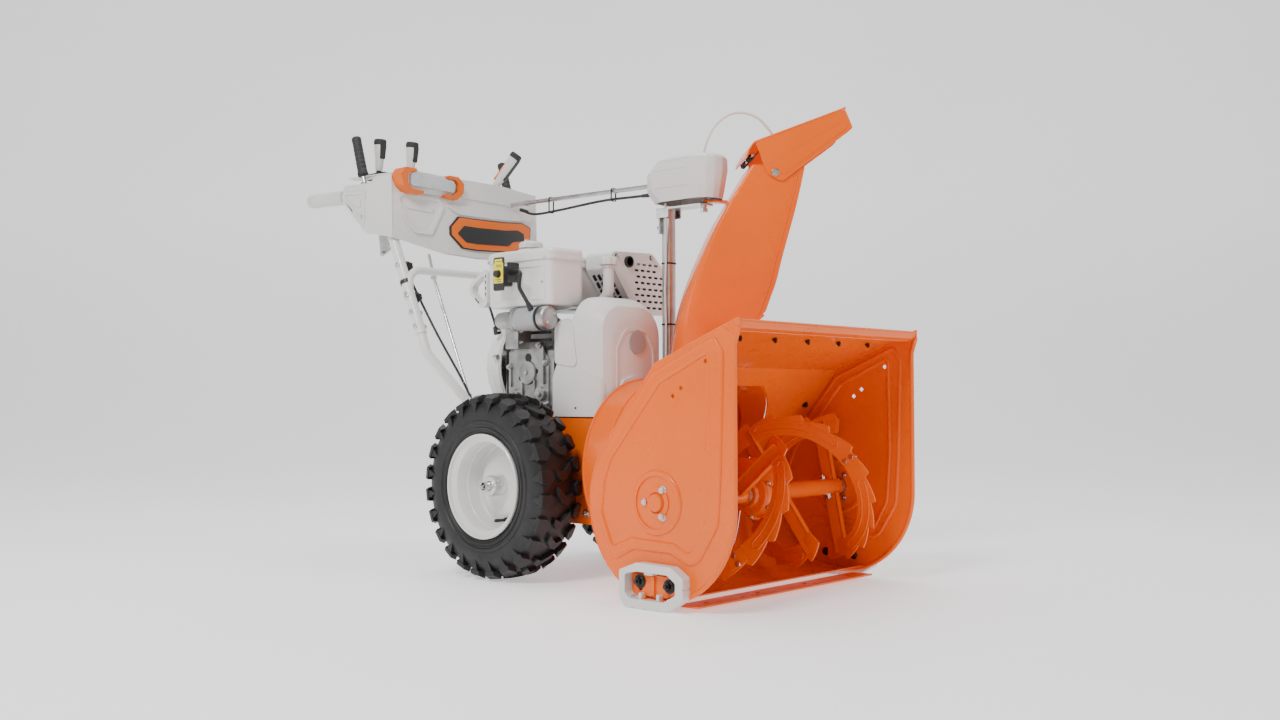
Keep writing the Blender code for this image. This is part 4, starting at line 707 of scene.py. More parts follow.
def skid_shoe(side, word):
    """A turnable plastic shoe on a folded steel bracket, held by two flange nuts."""
    near, far = -PLATE_X - 0.0004, -PLATE_X - 0.022
    bm = new()
    slab(bm, rounded(SHOE_OUTER, 4), "x", far, near, [rounded(SHOE_INNER, 4)])
    shoe = piece(f"skid.shoe.{word}", flipped(bm, side), WHITE_PLASTIC, replaces=(f"skid_shoe_{word}",))
    notches = new()
    for y in (0.166, 0.198, 0.23):
        slab(notches, [(y - 0.004, -0.004), (y + 0.004, -0.004), (y + 0.0015, 0.003), (y - 0.0015, 0.003)],
            "x", far - 0.002, near + 0.002)
    for y, z in ((0.102, 0.046), (0.269, 0.044)):
        slab(notches, circle((y, z), 0.0065, 16), "x", far - 0.002, near + 0.002)
    cut(shoe, flipped(notches, side))
    bevelled(shoe, 0.0022, 3)
    bm = new()
    for y in (0.146, 0.172, 0.216, 0.243):
        block(bm, (far + 0.005, y - 0.0035, 0.012), (near, y + 0.0035, 0.03 if y in (0.172, 0.216)
            else 0.024))
    block(bm, (far + 0.004, 0.184, 0.064), (near, 0.205, 0.074))
    piece(f"skid.posts.{word}", flipped(bm, side), WHITE_PLASTIC, bevel=0.0015)
    bracket = [(0.243, 0.062), (0.2, 0.064), (0.19, 0.068), (0.18, 0.064), (0.135, 0.062), (0.135, 0.034),
        (0.16, 0.0235), (0.232, 0.0235)]
    slots = [rounded(rectangle(y - 0.0052, 0.033, y + 0.0052, 0.057, 0.005)) for y, _ in SKID_BOLTS]
    bm = new()
    slab(bm, bracket, "x", -PLATE_X - 0.006, -PLATE_X - 0.0004, slots)
    slab(bm, rectangle(0.186, 0.026, 0.194, 0.062), "x", -PLATE_X - 0.0105, -PLATE_X - 0.004)
    for y in (0.168, 0.212):
        slab(bm, [(y - 0.005, 0.0235), (y + 0.005, 0.0235), (y + 0.004, 0.014), (y - 0.004, 0.014)], "x",
            -PLATE_X - 0.012, -PLATE_X - 0.0075)
    piece(f"skid.bracket.{word}", flipped(bm, side), ORANGE, replaces=(f"skid_bracket_{word}",), bevel=0.0012,
        segments=3)
    bm = new()
    for y, z in SKID_BOLTS:
        place = -PLATE_X - 0.006
        rod(bm, (place, y, z), (place - 0.0022, y, z), 0.0135, segments=32)
        rod(bm, (place - 0.002, y, z), (place - 0.0048, y, z), 0.011, 0.0082, segments=32)
        hexagon(bm, (place - 0.0045, y, z), (-1, 0, 0), 0.013, 0.0075)
        rod(bm, (place, y, z), (place - 0.016, y, z), 0.0038, segments=16)
        dome(bm, (-PLATE_X + SHEET, y, z), (1, 0, 0), 0.0095, 0.0045)
    piece(f"skid.nuts.{word}", flipped(bm, side), BLACK_STEEL, bevel=0.0006)


# ---------------------------------------------------------------- auger and impeller


AUGER_R = 0.163
FLIGHT_WIDTH = 0.046
AUGER_INNER, AUGER_OUTER = 0.044, 0.288
FLIGHT_FIRST, FLIGHT_LAST = AUGER_INNER + 0.012, AUGER_OUTER - 0.008


def on_flight(side, start, t, radius, lift=0.0):
    """A place on a flight, t along it from the gearcase out, lift along the shaft."""
    angle = start + radians(235) * t
    x = side * (FLIGHT_FIRST + (FLIGHT_LAST - FLIGHT_FIRST) * t)
    return Vector((x + lift, AUGER_Y + radius * cos(angle), AUGER_Z + radius * sin(angle)))


def ribbon(bm, side, start):
    """A flat steel band with saw teeth cut in its outer edge: a long slope, then a short step."""
    teeth, per_tooth, tooth_height, half = 11, 8, 0.0125, 0.0021
    rows = []
    for step in range(teeth * per_tooth + 1):
        tooth = step % per_tooth / per_tooth
        rise = tooth / 0.87 if tooth < 0.87 else (1 - tooth) / 0.13
        outer = AUGER_R - tooth_height + tooth_height * rise
        t = step / (teeth * per_tooth)
        rows.append([on_flight(side, start, t, r, half) for r, half in ((AUGER_R - FLIGHT_WIDTH, -0.0021),
            (AUGER_R - 0.022, -0.0021), (outer, -0.0021), (outer, 0.0021), (AUGER_R - 0.022, 0.0021),
            (AUGER_R - FLIGHT_WIDTH, 0.0021))])
    lofted(bm, rows, closed=True, caps=True)


def flight_slot(bm, side, start, first, last):
    """A long raised loop pressed in the middle of the band."""
    middle_r, half, count = AUGER_R - FLIGHT_WIDTH * 0.55, 0.0085, 14
    ahead = [(first + (last - first) * i / count, middle_r + half) for i in range(count + 1)]
    back = [(t, middle_r - half) for t, _ in ahead[::-1]]
    for lift in (-0.0021, 0.0021):
        loop = [on_flight(side, start, t, r, lift) for t, r in (*ahead, (last + 0.012, middle_r), *back,
            (first - 0.012, middle_r), ahead[0])]
        pipe(bm, loop, 0.0019, 8)


def spoke(bm, side, start, t):
    """A folded U channel from the hub tube out to the band."""
    foot, tip = on_flight(side, start, t, 0.014), on_flight(side, start, t, AUGER_R - FLIGHT_WIDTH * 0.4)
    along = (tip - foot).normalized()
    across = Vector((0, -along.z, along.y))
    for low, high, near, far in ((-0.0145, 0.0145, -0.0012, 0.0012), (-0.0145, -0.0121, -0.0012, 0.0135),
            (0.0121, 0.0145, -0.0012, 0.0135)):
        rows = [[place + across * a + Vector((side * b, 0, 0))
            for a, b in ((low, near), (high, near), (high, far), (low, far))] for place in (foot, tip)]
        lofted(bm, rows, closed=True, caps=True)


def auger(side, word):
    phase = radians(125 if side < 0 else 40)
    starts = (phase, phase + pi)
    bm = new()
    for start in starts:
        ribbon(bm, side, start)
        for t in (0.06, 0.93):
            spoke(bm, side, start, t)
        for t in (0.47, 0.985):
            rows = []
            for k in range(5):
                a = t - 0.03 + 0.06 * k / 4 if t < 0.9 else t - 0.03 + 0.012 * k
                rows.append([on_flight(side, start, a, r, lift)
                    for r, lift in ((AUGER_R - FLIGHT_WIDTH + 0.003, side * 0.0021),
                    (AUGER_R - 0.012, side * 0.0021), (AUGER_R - 0.012, side * 0.006),
                    (AUGER_R - FLIGHT_WIDTH + 0.003, side * 0.006))])
            lofted(bm, rows, closed=True, caps=True)
    piece(f"auger.flights.{word}", bm, ORANGE, "auger", replaces=(f"auger_{word}",), bevel=0.0007)
    bm = new()
    for start in starts:
        flight_slot(bm, side, start, 0.11, 0.4)
        flight_slot(bm, side, start, 0.56, 0.86)
    piece(f"auger.pressings.{word}", bm, ORANGE, "auger")
    bm = new()
    centre = (0, AUGER_Y, AUGER_Z)
    low, high = AUGER_INNER, AUGER_OUTER
    profile = rectangle(0.0129, low, 0.0175, high)
    turned(bm, profile, (side, 0, 0), centre, 48)
    for x in (low + 0.001, high - 0.003):
        turned(bm, rectangle(0.0175, x, 0.0205, x + 0.0025), (side, 0, 0), centre, 48)
    piece(f"auger.hub.{word}", bm, ORANGE, "auger", bevel=0.0005)
    bm = new()
    for x in (0.086, 0.25):
        place = Vector((side * x, AUGER_Y, AUGER_Z))
        turn = radians(70 if x < 0.1 else 250)
        out = Vector((0, cos(turn), sin(turn)))
        bolt(bm, place + out * 0.0172, out, 0.0125, 0.0065, washer=0.019)
        rod(bm, place - out * 0.017, place - out * 0.027, 0.0038, segments=16)
        hexagon(bm, place - out * 0.017, -out, 0.0115, 0.0055)
    for start in starts:
        for t, r in ((0.47, 0.128), (0.47, 0.146)):
            for way in (-1, 1):
                spot = on_flight(side, start, t, r, way * (0.0058 if way == side else 0.002))
                hexagon(bm, spot, (way, 0, 0), 0.01, 0.0042)
    piece(f"auger.shear_bolts.{word}", bm, ZINC, "auger", bevel=0.0004)


def auger_shaft():
    carry("auger_shaft", ZINC, 0.0004)
    bm = new()
    for side in (-1, 1):
        for x, r in ((0.0372, 0.0185), (0.0395, 0.0165), (0.0418, 0.0185), (0.292, 0.019), (0.296, 0.017)):
            turned(bm, rectangle(0.0127, x, r, x + 0.0018), (side, 0, 0), (0, AUGER_Y, AUGER_Z), 40)
    piece("auger.thrust_washers", bm, ZINC, "auger", bevel=0.0003)


def gearcase():
    """A round worm case in two halves, with a snout back to the impeller."""
    centre = (0, AUGER_Y, AUGER_Z)
    bm = new()
    profile = [(0.013, -0.034), (0.024, -0.034), (0.027, -0.027), (0.04, -0.024), (0.045, -0.018),
        (0.045, 0.018), (0.04, 0.024), (0.027, 0.027), (0.024, 0.034), (0.013, 0.034)]
    turned(bm, profile, (1, 0, 0), centre, 72)
    turned(bm, rectangle(0.044, -0.0035, 0.05, 0.0035), (1, 0, 0), centre, 72)
    snout = [(0.011, 0.128), (0.018, 0.128), (0.023, 0.136), (0.027, 0.16), (0.027, 0.235), (0.024, 0.245),
        (0.024, 0.262), (0.011, 0.262)]
    turned(bm, snout, (0, 1, 0), (0, 0, IMPELLER_Z), 56)
    for i in range(5):
        angle = radians(150 + 62 * i)
        y, z = AUGER_Y + 0.0475 * cos(angle), AUGER_Z + 0.0475 * sin(angle)
        rod(bm, (-0.011, y, z), (0.011, y, z), 0.0075, segments=24)
    piece("gearcase.halves", bm, ORANGE, replaces=("gearcase",), bevel=0.0012)
    bm = new()
    for i in range(5):
        angle = radians(150 + 62 * i)
        y, z = AUGER_Y + 0.0475 * cos(angle), AUGER_Z + 0.0475 * sin(angle)
        for way in (-1, 1):
            bolt(bm, (way * 0.011, y, z), (way, 0, 0), 0.01, 0.005)
    hexagon(bm, (0, 0.16, 0.268), (0, 0, 1), 0.014, 0.006)
    piece("gearcase.nuts", bm, ZINC, bevel=0.0004)


def on_impeller(blade):
    """The place of one of the three paddles, from a paddle drawn along X."""
    return Matrix.Translation((0, 0, IMPELLER_Z)) @ Matrix.Rotation(-radians(35 + 120 * blade), 4, "Y")


def impeller():
    """A hub with a rear disc and three folded paddles that sweep the drum."""
    centre, front, back, reach = IMPELLER_Z, 0.385, 0.4845, 0.178
    bm = new()
    turned(bm, [(0.0107, 0.355), (0.02, 0.355), (0.024, 0.359), (0.024, back), (0.0107, back)], (0, 1, 0),
        (0, 0, centre), 48)
    turned(bm, rectangle(0.022, back - 0.006, 0.085, back), (0, 1, 0), (0, 0, centre), 72)
    for blade in range(3):
        place = on_impeller(blade)
        paddle = [(0.015, -0.0025), (0.06, -0.0025), (0.12, -0.0015), (reach - 0.004, 0.004),
            (reach - 0.0045, 0.0085), (0.118, 0.0032), (0.06, 0.0025), (0.015, 0.0025)]
        slab(bm, paddle, "y", front, back - 0.001, matrix=place)
        fold = [(0.045, 0.002), (reach - 0.006, 0.0055), (reach - 0.01, 0.03), (0.11, 0.026), (0.05, 0.01)]
        slab(bm, fold, "y", front, front + 0.0038, matrix=place)
        slab(bm, fold, "y", back - 0.01, back - 0.0062, matrix=place)
    piece("impeller.paddles", bm, ORANGE, "impeller", replaces=("impeller",), bevel=0.0009)
    bm = new()
    for blade in range(3):
        angle = radians(80 + 120 * blade)
        out = Vector((cos(angle), 0, sin(angle)))
        bolt(bm, Vector((0, 0.372, centre)) + out * 0.0235, out, 0.01, 0.005)
        place = on_impeller(blade)
        for reach, up in ((0.07, 0.007), (0.13, 0.015)):
            bolt(bm, place @ Vector((reach, front, up)), (0, -1, 0), 0.01, 0.0045, washer=0.014)
    hexagon(bm, (0, 0.352, centre), (0, -1, 0), 0.02, 0.004)
    piece("impeller.bolts", bm, ZINC, "impeller", bevel=0.0004)
    carry("impeller_shaft", ZINC, 0.0004)


# ---------------------------------------------------------------- chute


CHUTE_AXIS = (0.105, 0.41)
CHUTE_HALF = 0.075
CHUTE_FRAME = Matrix.Translation((*CHUTE_AXIS, 0)) @ Matrix.Rotation(radians(46.7), 4, "Z")
# turns an outline in throw and height, made solid along X, into the chute's place
CHUTE_SIDEWAYS = CHUTE_FRAME @ Matrix(((1, 0, 0, 0), (0, -1, 0, 0), (0, 0, 1, 0), (0, 0, 0, 1)))


def in_chute(side, forward, height):
    """A place given by its reach to the chute's left, along its throw, and above the ground."""
    return CHUTE_FRAME @ Vector((side, -forward, height))


def chute_slab(bm, outline, low, high, holes=()):
    """A slab drawn in throw and height, solid between two reaches to the chute's left."""
    made = new()
    slab(made, outline, "x", low, high, holes)
    made.transform(CHUTE_SIDEWAYS)
    bmesh.ops.reverse_faces(made, faces=made.faces)
    add(bm, made)


# height, back and front of the chute, and how round its back is
CHUTE_LEVELS = ((0.4506, -0.077, 0.077, 1.0), (0.5, -0.073, 0.085, 0.95), (0.575, -0.06, 0.122, 0.75),
    (0.65, -0.037, 0.149, 0.55), (0.705, -0.014, 0.163, 0.4), (0.765, 0.014, 0.18, 0.25),
    (0.826, 0.049, 0.197, 0.15), (0.905, 0.097, 0.214, 0.12))


def chute_level(height):
    """Back, front and roundness at a height, between the stated levels."""
    for low, high in zip(CHUTE_LEVELS, CHUTE_LEVELS[1:]):
        if height <= high[0] + 1e-9:
            t = (height - low[0]) / (high[0] - low[0])
            return [a + (b - a) * t for a, b in zip(low[1:], high[1:])]
    return list(CHUTE_LEVELS[-1][1:])


def chute_section(height, back, front, roundness, count=25):
    """The chute's outline at one height."""
    depth = max(0.012, roundness * CHUTE_HALF)
    power = 2 + 6 * (1 - roundness)
    points = []
    for step in range(count):
        angle = pi * (step / (count - 1) - 0.5)
        side, rear = sin(angle), cos(angle)
        across = CHUTE_HALF * copysign(abs(side) ** (2 / power), side)
        points.append((across, back + depth * (1 - max(0.0, rear) ** (2 / power))))
    bow = 0.5 * CHUTE_HALF * max(0.0, roundness - 0.7) / 0.3
    corner = CHUTE_HALF * (1 - 0.3 * max(0.0, roundness - 0.75) / 0.25)
    ahead = [(corner, front - 0.4 * bow), (corner * 0.6, front - 0.14 * bow), (0.0, front)]
    points += [*ahead, *[(-side, forward) for side, forward in ahead[-2::-1]]]
    return [in_chute(side, forward, height) for side, forward in points]


def chute_front(height):
    return chute_level(height)[1]


def chute():
    """A bent steel tube, round at the foot and open in front above, with folded edges."""
    bm = new()
    lofted(bm, [chute_section(*level) for level in smooth_path(CHUTE_LEVELS, 4)], closed=True)
    bmesh.ops.recalc_face_normals(bm, faces=bm.faces)
    tube = piece("chute.tube", bm, ORANGE, "chute", replaces=("chute",), solid=0.002, angle=32)
    applied(tube)
    mouth = new()
    corner = arc((0.104, 0.576), 0.016, pi, 1.5 * pi, 6)
    outline = [(0.106, 0.7), (0.088, 0.592), *corner[1:], (0.3, 0.56), (0.3, 1.0), (0.12, 1.0), (0.114, 0.88)]
    chute_slab(mouth, outline, -CHUTE_HALF + 0.0035, CHUTE_HALF - 0.0035)
    cut(tube, mouth)
    bevelled(tube, 0.0006)
    bm = new()
    for side in (-1, 1):
        reach = side * (CHUTE_HALF + 0.0004)
        line = [(chute_front(z) - 0.013, z) for z in (0.578, 0.61, 0.65, 0.7, 0.75, 0.8, 0.85, 0.893)]
        pipe(bm, smooth_path([in_chute(reach, f, z) for f, z in line], 5), 0.0016, 10)
        edge = [(chute_front(z) - 0.0012, z) for z in (0.582, 0.61, 0.65, 0.7, 0.75, 0.8, 0.85, 0.9)]
        pipe(bm, smooth_path([in_chute(reach * 0.985, f, z) for f, z in edge], 5), 0.0021, 12)
        low = [(0.122, 0.5745), (0.108, 0.563), (0.09, 0.552), (0.07, 0.545)]
        pipe(bm, smooth_path([in_chute(reach * 0.992, f, z) for f, z in low], 5), 0.0019, 10)
    piece("chute.folded_edges", bm, ORANGE, "chute")
    bm = new()
    foot = [(0.074, 0.4453), (0.0895, 0.4453), (0.0895, 0.4493), (0.084, 0.4515), (0.079, 0.46),
        (0.0745, 0.46)]
    turned(bm, foot, (0, 0, 1), (*CHUTE_AXIS, 0), 96)
    piece("chute.foot", bm, ORANGE, "chute", bevel=0.0006)
    bm = new()
    for turn in (20, 140, 262):
        a = radians(turn)
        place = Vector((CHUTE_AXIS[0] + 0.0845 * cos(a), CHUTE_AXIS[1] + 0.0845 * sin(a), 0.4495))
        dome(bm, place, (0, 0, 1), 0.004, 0.0022)
    place = in_chute(-CHUTE_HALF, 0.02, 0.5)
    out = (in_chute(-1, 0, 0) - in_chute(0, 0, 0)).normalized()
    rod(bm, place, place + out * 0.006, 0.0095, 0.0088, segments=32)
    rod(bm, place + out * 0.006, place + out * 0.012, 0.0065, 0.0058, segments=32)
    piece("chute.knob", bm, BLACK_PLASTIC, "chute", bevel=0.0008)


def chute_ring():
    bm = new()
    low, high = cad_box("chute_ring")
    profile = [(0.0812, low.z), (0.0902, low.z), (0.0905, high.z), (0.0812, high.z)]
    turned(bm, profile, (0, 0, 1), (*CHUTE_AXIS, 0), 96)
    piece("chute.slip_ring", bm, BLACK_PLASTIC, replaces=("chute_ring",), bevel=0.0006)


def chute_gear():
    """The toothed wheel on the chute's upper pivot, with the arm that carries the chute's back."""
    teeth = 24
    outline = []
    for tooth in range(teeth):
        for part, radius in ((0.0, 0.0325), (0.22, 0.036), (0.42, 0.0365), (0.62, 0.036), (0.84, 0.0325)):
            angle = 2 * pi * (tooth + part) / teeth
            outline.append((CHUTE_AXIS[0] + radius * cos(angle), CHUTE_AXIS[1] + radius * sin(angle)))
    bm = new()
    slab(bm, outline, "z", 0.845, 0.85)
    turned(bm, [(0.006, 0.8418), (0.015, 0.8418), (0.018, 0.845), (0.018, 0.85), (0.006, 0.85)], (0, 0, 1),
        (*CHUTE_AXIS, 0), 40)
    piece("chute.gear", bm, BLACK_STEEL, "chute", replaces=("chute_gear",), bevel=0.0005)
    bm = new()
    arm = rounded([(-0.014, 0.0515, 0.004), (0.014, 0.0515, 0.004), (0.014, -0.004, 0.01),
        (-0.014, -0.004, 0.01)])
    slab(bm, [(a, -b) for a, b in arm], "z", 0.8315, 0.8355, matrix=CHUTE_FRAME)
    block(bm, (-0.014, -0.0515, 0.8), (0.014, -0.0485, 0.8335), CHUTE_FRAME)
    piece("chute.arm", bm, ORANGE, "chute", bevel=0.0008)
    bm = new()
    rod(bm, (*CHUTE_AXIS, 0.818), (*CHUTE_AXIS, 0.854), 0.006, segments=32)
    hexagon(bm, (*CHUTE_AXIS, 0.818), (0, 0, -1), 0.017, 0.008)
    for side in (-0.008, 0.008):
        out = (in_chute(0, 1, 0) - in_chute(0, 0, 0)).normalized()
        hexagon(bm, in_chute(side, 0.0485, 0.813), -out, 0.008, 0.004)
    piece("chute.pivot_bolt", bm, ZINC, "chute", bevel=0.0004)


FLANGE = ((0.104, 0.952, 0.004), (0.303, 1.03, 0.01), (0.32, 0.987, 0.01), (0.16, 0.868, 0.014),
    (0.131, 0.884, 0.012))


def deflector():
    """A hood whose top sheet runs on from the chute's back, with a flange down each side."""
    outer, inner = 0.0795, 0.0772
    bm = new()
    for side in (-1, 1):
        chute_slab(bm, rounded(FLANGE, 6), *sorted((side * inner, side * outer)))
        shelf = [(0.135, 0.905), (0.166, 0.8825), (0.309, 0.989), (0.303, 1.004)]
        chute_slab(bm, rounded([(*p, 0.006) for p in shelf], 4),
            *sorted((side * (outer - 0.0004), side * (outer + 0.0012))))
    top = [(0.083, 0.923), (0.0885, 0.9375), (0.099, 0.9535), (0.104, 0.957), (0.304, 1.0345),
        (0.3035, 1.0305), (0.104, 0.9525), (0.102, 0.9505), (0.091, 0.936), (0.087, 0.921)]
    chute_slab(bm, top, -outer, outer)
    piece("deflector.hood", bm, ORANGE, "deflector", replaces=("deflector",), bevel=0.0008)
    bm = new()
    for side in (-1, 1):
        line = [in_chute(side * (outer - 0.001), f, z) for f, z in ((0.106, 0.9545), (0.2, 0.992),
            (0.303, 1.032))]
        pipe(bm, line, 0.002, 12)
        edge = [(0.3025, 1.028), (0.3135, 1.003), (0.319, 0.989), (0.309, 0.9795), (0.2, 0.8985),
            (0.163, 0.8705)]
        pipe(bm, [in_chute(side * (outer - 0.0003), f, z) for f, z in edge], 0.0015, 10)
    lip = [in_chute(x, 0.3035, 1.0325) for x in (-outer + 0.002, 0.0, outer - 0.002)]
    pipe(bm, lip, 0.0026, 14)
    for x in (-0.045, 0.0, 0.045):
        pipe(bm, [in_chute(x, 0.115, 0.9605), in_chute(x, 0.29, 1.0285)], 0.0016, 10)
    piece("deflector.edges", bm, ORANGE, "deflector")
    bm = new()
    for side in (-1, 1):
        place = in_chute(side * outer, 0.148, 0.888)
        out = (in_chute(side, 0, 0) - in_chute(0, 0, 0)).normalized()
        hexagon(bm, place, out, 0.01, 0.005)
        rod(bm, place - out * 0.0004, place + out * 0.0012, 0.0085, segments=24)
        rod(bm, place + out * 0.002, place + out * 0.0075, 0.003, segments=12)
    rod(bm, in_chute(-0.0765, 0.098, 0.925), in_chute(0.0765, 0.098, 0.925), 0.0026, segments=16)
    piece("deflector.bolts", bm, ZINC, "deflector", bevel=0.0004)
    bm = new()
    for side in (-1, 1):
        coil = []
        for step in range(12 * 8 + 1):
            angle = 2 * pi * step / 12
            coil.append(in_chute(side * (0.022 + 0.034 * step / 96), 0.098 + 0.0058 * cos(angle),
                0.925 + 0.0058 * sin(angle)))
        coil.append(in_chute(side * 0.06, 0.125, 0.948))
        pipe(bm, coil, 0.0012, 8)
    piece("deflector.springs", bm, BLACK_STEEL, "deflector")
    bm = new()
    clamp = in_chute(0, 0.158, 0.9745)
    rod(bm, clamp, in_chute(0, 0.156, 0.985), 0.0065, 0.0045, segments=24)
    block(bm, (-0.011, -0.17, 0.9715), (0.011, -0.146, 0.976), CHUTE_FRAME)
    piece("deflector.cable_anchor", bm, BLACK_PLASTIC, "deflector", bevel=0.0008)


DEFLECTOR_CABLE = ((0.0, 0.9335), (0.004, 0.96), (0.022, 1.0), (0.052, 1.028), (0.086, 1.036), (0.12, 1.026),
    (0.145, 1.002), (0.158, 0.984))


def deflector_cable():
    """The control cable that comes up through the chute's pivot and bends over to the deflector."""
    bm = new()
    pipe(bm, smooth_path([in_chute(0, f, z) for f, z in DEFLECTOR_CABLE], 8), 0.0028, 14)
    start, end = in_chute(0, 0.02, 0.995) + SHIFT, in_chute(0, 0.15, 0.99) + SHIFT
    piece("deflector.cable", bm, CLEAR_TUBE, ("chute", "deflector", start, end),
        replaces=("deflector_cable",))


POST_Y, POST_HALF = 0.5145, 0.0115


def chute_post():
    """A square steel tube with a bracket on top, which carries the chute's upper pivot."""
    x0 = CHUTE_AXIS[0]
    square, inner = (rounded([(x0 + a * half, POST_Y + b * half, 0.0022)
        for a, b in ((-1, -1), (1, -1), (1, 1), (-1, 1))], 4) for half in (POST_HALF, POST_HALF - 0.002))
    bm = new()
    slab(bm, square, "z", 0.305, 0.825, [inner])
    piece("chute_post.tube", bm, DRAWN, replaces=("chute_post",), bevel=0.0003)
    bm = new()
    bracket = rounded([(x0 - 0.02, 0.394, 0.012), (x0 + 0.02, 0.394, 0.012),
        (x0 + 0.024, POST_Y + 0.02, 0.004), (x0 - 0.024, POST_Y + 0.02, 0.004)])
    slab(bm, bracket, "z", 0.824, 0.828, [circle((x0, CHUTE_AXIS[1]), 0.0064)])
    for side in (-1, 1):
        block(bm, (x0 + side * 0.0215 - 0.0015, POST_Y - 0.018, 0.806),
            (x0 + side * 0.0215 + 0.0015, POST_Y + 0.018, 0.826))
    block(bm, (x0 - 0.02, POST_Y + POST_HALF, 0.77), (x0 + 0.02, POST_Y + POST_HALF + 0.003, 0.8262))
    block(bm, (x0 - 0.022, POST_Y + POST_HALF, 0.318), (x0 + 0.022, POST_Y + POST_HALF + 0.003, 0.345))
    piece("chute_post.bracket", bm, ZINC, bevel=0.0006)
    bm = new()
    back = POST_Y + POST_HALF + 0.003
    for z in (0.785, 0.808, 0.3315):
        for x in (x0 - 0.012, x0 + 0.012):
            bolt(bm, (x, back, z), (0, 1, 0), 0.0095, 0.0045)
    bolt(bm, (x0, CHUTE_AXIS[1], 0.828 + 0.0005), (0, 0, 1), 0.014, 0.004)
    for z in (0.56, 0.7):
        turned(bm, rectangle(0.0165, z, 0.0172, z + 0.004), (0, 0, 1), (x0, POST_Y, 0), 4,
            Matrix.Translation((x0, POST_Y, 0)) @ Matrix.Rotation(radians(45), 4,
            "Z") @ Matrix.Translation((-x0, -POST_Y, 0)))
    piece("chute_post.bolts", bm, BLACK_STEEL, bevel=0.0004)
    bm = new()
    route = [(x0 - 0.015, POST_Y - 0.004, 0.4), (x0 - 0.0155, POST_Y - 0.004, 0.48),
        (x0 - 0.0148, POST_Y - 0.004, 0.56), (x0 - 0.0156, POST_Y - 0.002, 0.64),
        (x0 - 0.0148, POST_Y - 0.004, 0.702), (x0 - 0.017, POST_Y - 0.006, 0.77),
        (x0 - 0.022, POST_Y - 0.01, 0.838)]
    pipe(bm, smooth_path(route, 6), 0.0026, 12)
    piece("chute_post.thin_cable", bm, CLEAR_TUBE)


def gear_cover():
    """A moulded hood over the chute's gear: a round nose, creased sides and a faceted back."""
    x0, y0 = CHUTE_AXIS
    levels = (
        # height, radius of the nose, back
        (0.8375, 0.0420, 0.535),
        (0.8680, 0.0480, 0.556),
        (0.9050, 0.0540, 0.552),
        (0.9280, 0.0530, 0.530),
        (0.9360, 0.0440, 0.505),
    )
    rows = []
    for height, nose, back in levels:
        front = arc((x0, y0), nose, 0, -pi, 9)
        rear = [(x0 - nose, back - 0.03), (x0 - nose * 0.6, back), (x0 + nose * 0.6, back),
            (x0 + nose, back - 0.03)]
        rows.append([(x, y, height) for x, y in (*front, *rear)])
    made = new()
    grid = [[made.verts.new(p) for p in row] for row in rows]
    for row, after in zip(grid, grid[1:]):
        for i in range(len(row)):
            j = (i + 1) % len(row)
            made.faces.new((row[i], row[j], after[j], after[i]))
    made.faces.new(grid[-1])
    bmesh.ops.recalc_face_normals(made, faces=made.faces)
    cover = piece("gear_cover.hood", made, WHITE_PLASTIC, replaces=("gear_cover",), solid=0.0025, angle=24)
    applied(cover)
    hole = new()
    rod(hole, (x0, y0, 0.92), (x0, y0, 0.95), 0.006)
    cut(cover, hole)
    hole = new()
    rod(hole, (x0, 0.52, 0.885), (x0, 0.6, 0.885), 0.012)
    cut(cover, hole)
    bevelled(cover, 0.0026, 4, 14)
    bm = new()
    for side in (-1, 1):
        for height, reach in ((0.868, 0.0486), (0.907, 0.0544)):
            pipe(bm, [(x0 + side * reach * 0.985, 0.42, height),
                (x0 + side * reach * 0.99, 0.515, height + 0.001)], 0.0016, 10)
        pipe(bm, [(x0 + side * 0.0528, 0.41, 0.9285), (x0 + side * 0.0522, 0.497, 0.9285)], 0.0017, 10)
    turned(bm, [(0.0062, 0.9355), (0.02, 0.9355), (0.0185, 0.9385), (0.01, 0.9395), (0.0062, 0.9395)],
        (0, 0, 1), (x0, y0, 0), 48)
    rim = rounded([(x0 - 0.03, 0.452, 0.006), (x0 + 0.03, 0.452, 0.006), (x0 + 0.026, 0.494, 0.008),
        (x0 - 0.026, 0.494, 0.008)])
    slab(bm, rim, "z", 0.9345, 0.9378)
    piece("gear_cover.ribs", bm, WHITE_PLASTIC, bevel=0.0006)
    bm = new()
    for x, y in ((x0 - 0.018, 0.462), (x0 + 0.018, 0.462), (x0, 0.486)):
        rod(bm, (x, y, 0.9375), (x, y, 0.9392), 0.0042, segments=20)
    piece("gear_cover.screws", bm, ZINC, bevel=0.0004)


ROD_FRONT = (0.105, 0.455, 0.885)
ROD_BACK = (0.138, 1.15, 0.902)


def chute_rod():
    """The long control rod, with the pinion that turns the chute's gear."""
    start, end = Vector(ROD_FRONT), Vector(ROD_BACK)
    along = (end - start).normalized()
    bm = new()
    rod(bm, start, end, 0.0055, segments=32)
    for reach in (0.115, 0.56):
        place = start + along * reach
        rod(bm, place, place + along * 0.009, 0.0078, segments=32)
    piece("chute_rod.bar", bm, DRAWN, "chute_rod", replaces=("chute_rod",), bevel=0.0005)
    bm = new()
    turn = pointing(along)
    for tooth in range(16):
        spin = Matrix.Translation(start) @ turn @ Matrix.Rotation(2 * pi * tooth / 16, 4, "Z")
        block(bm, (0.02, -0.0028, 0.0005), (0.029, 0.0028, 0.011), spin)
    rod(bm, start, start + along * 0.0115, 0.0235, 0.0265, segments=48)
    piece("chute_rod.pinion", bm, BLACK_PLASTIC, "chute_rod", bevel=0.0005)


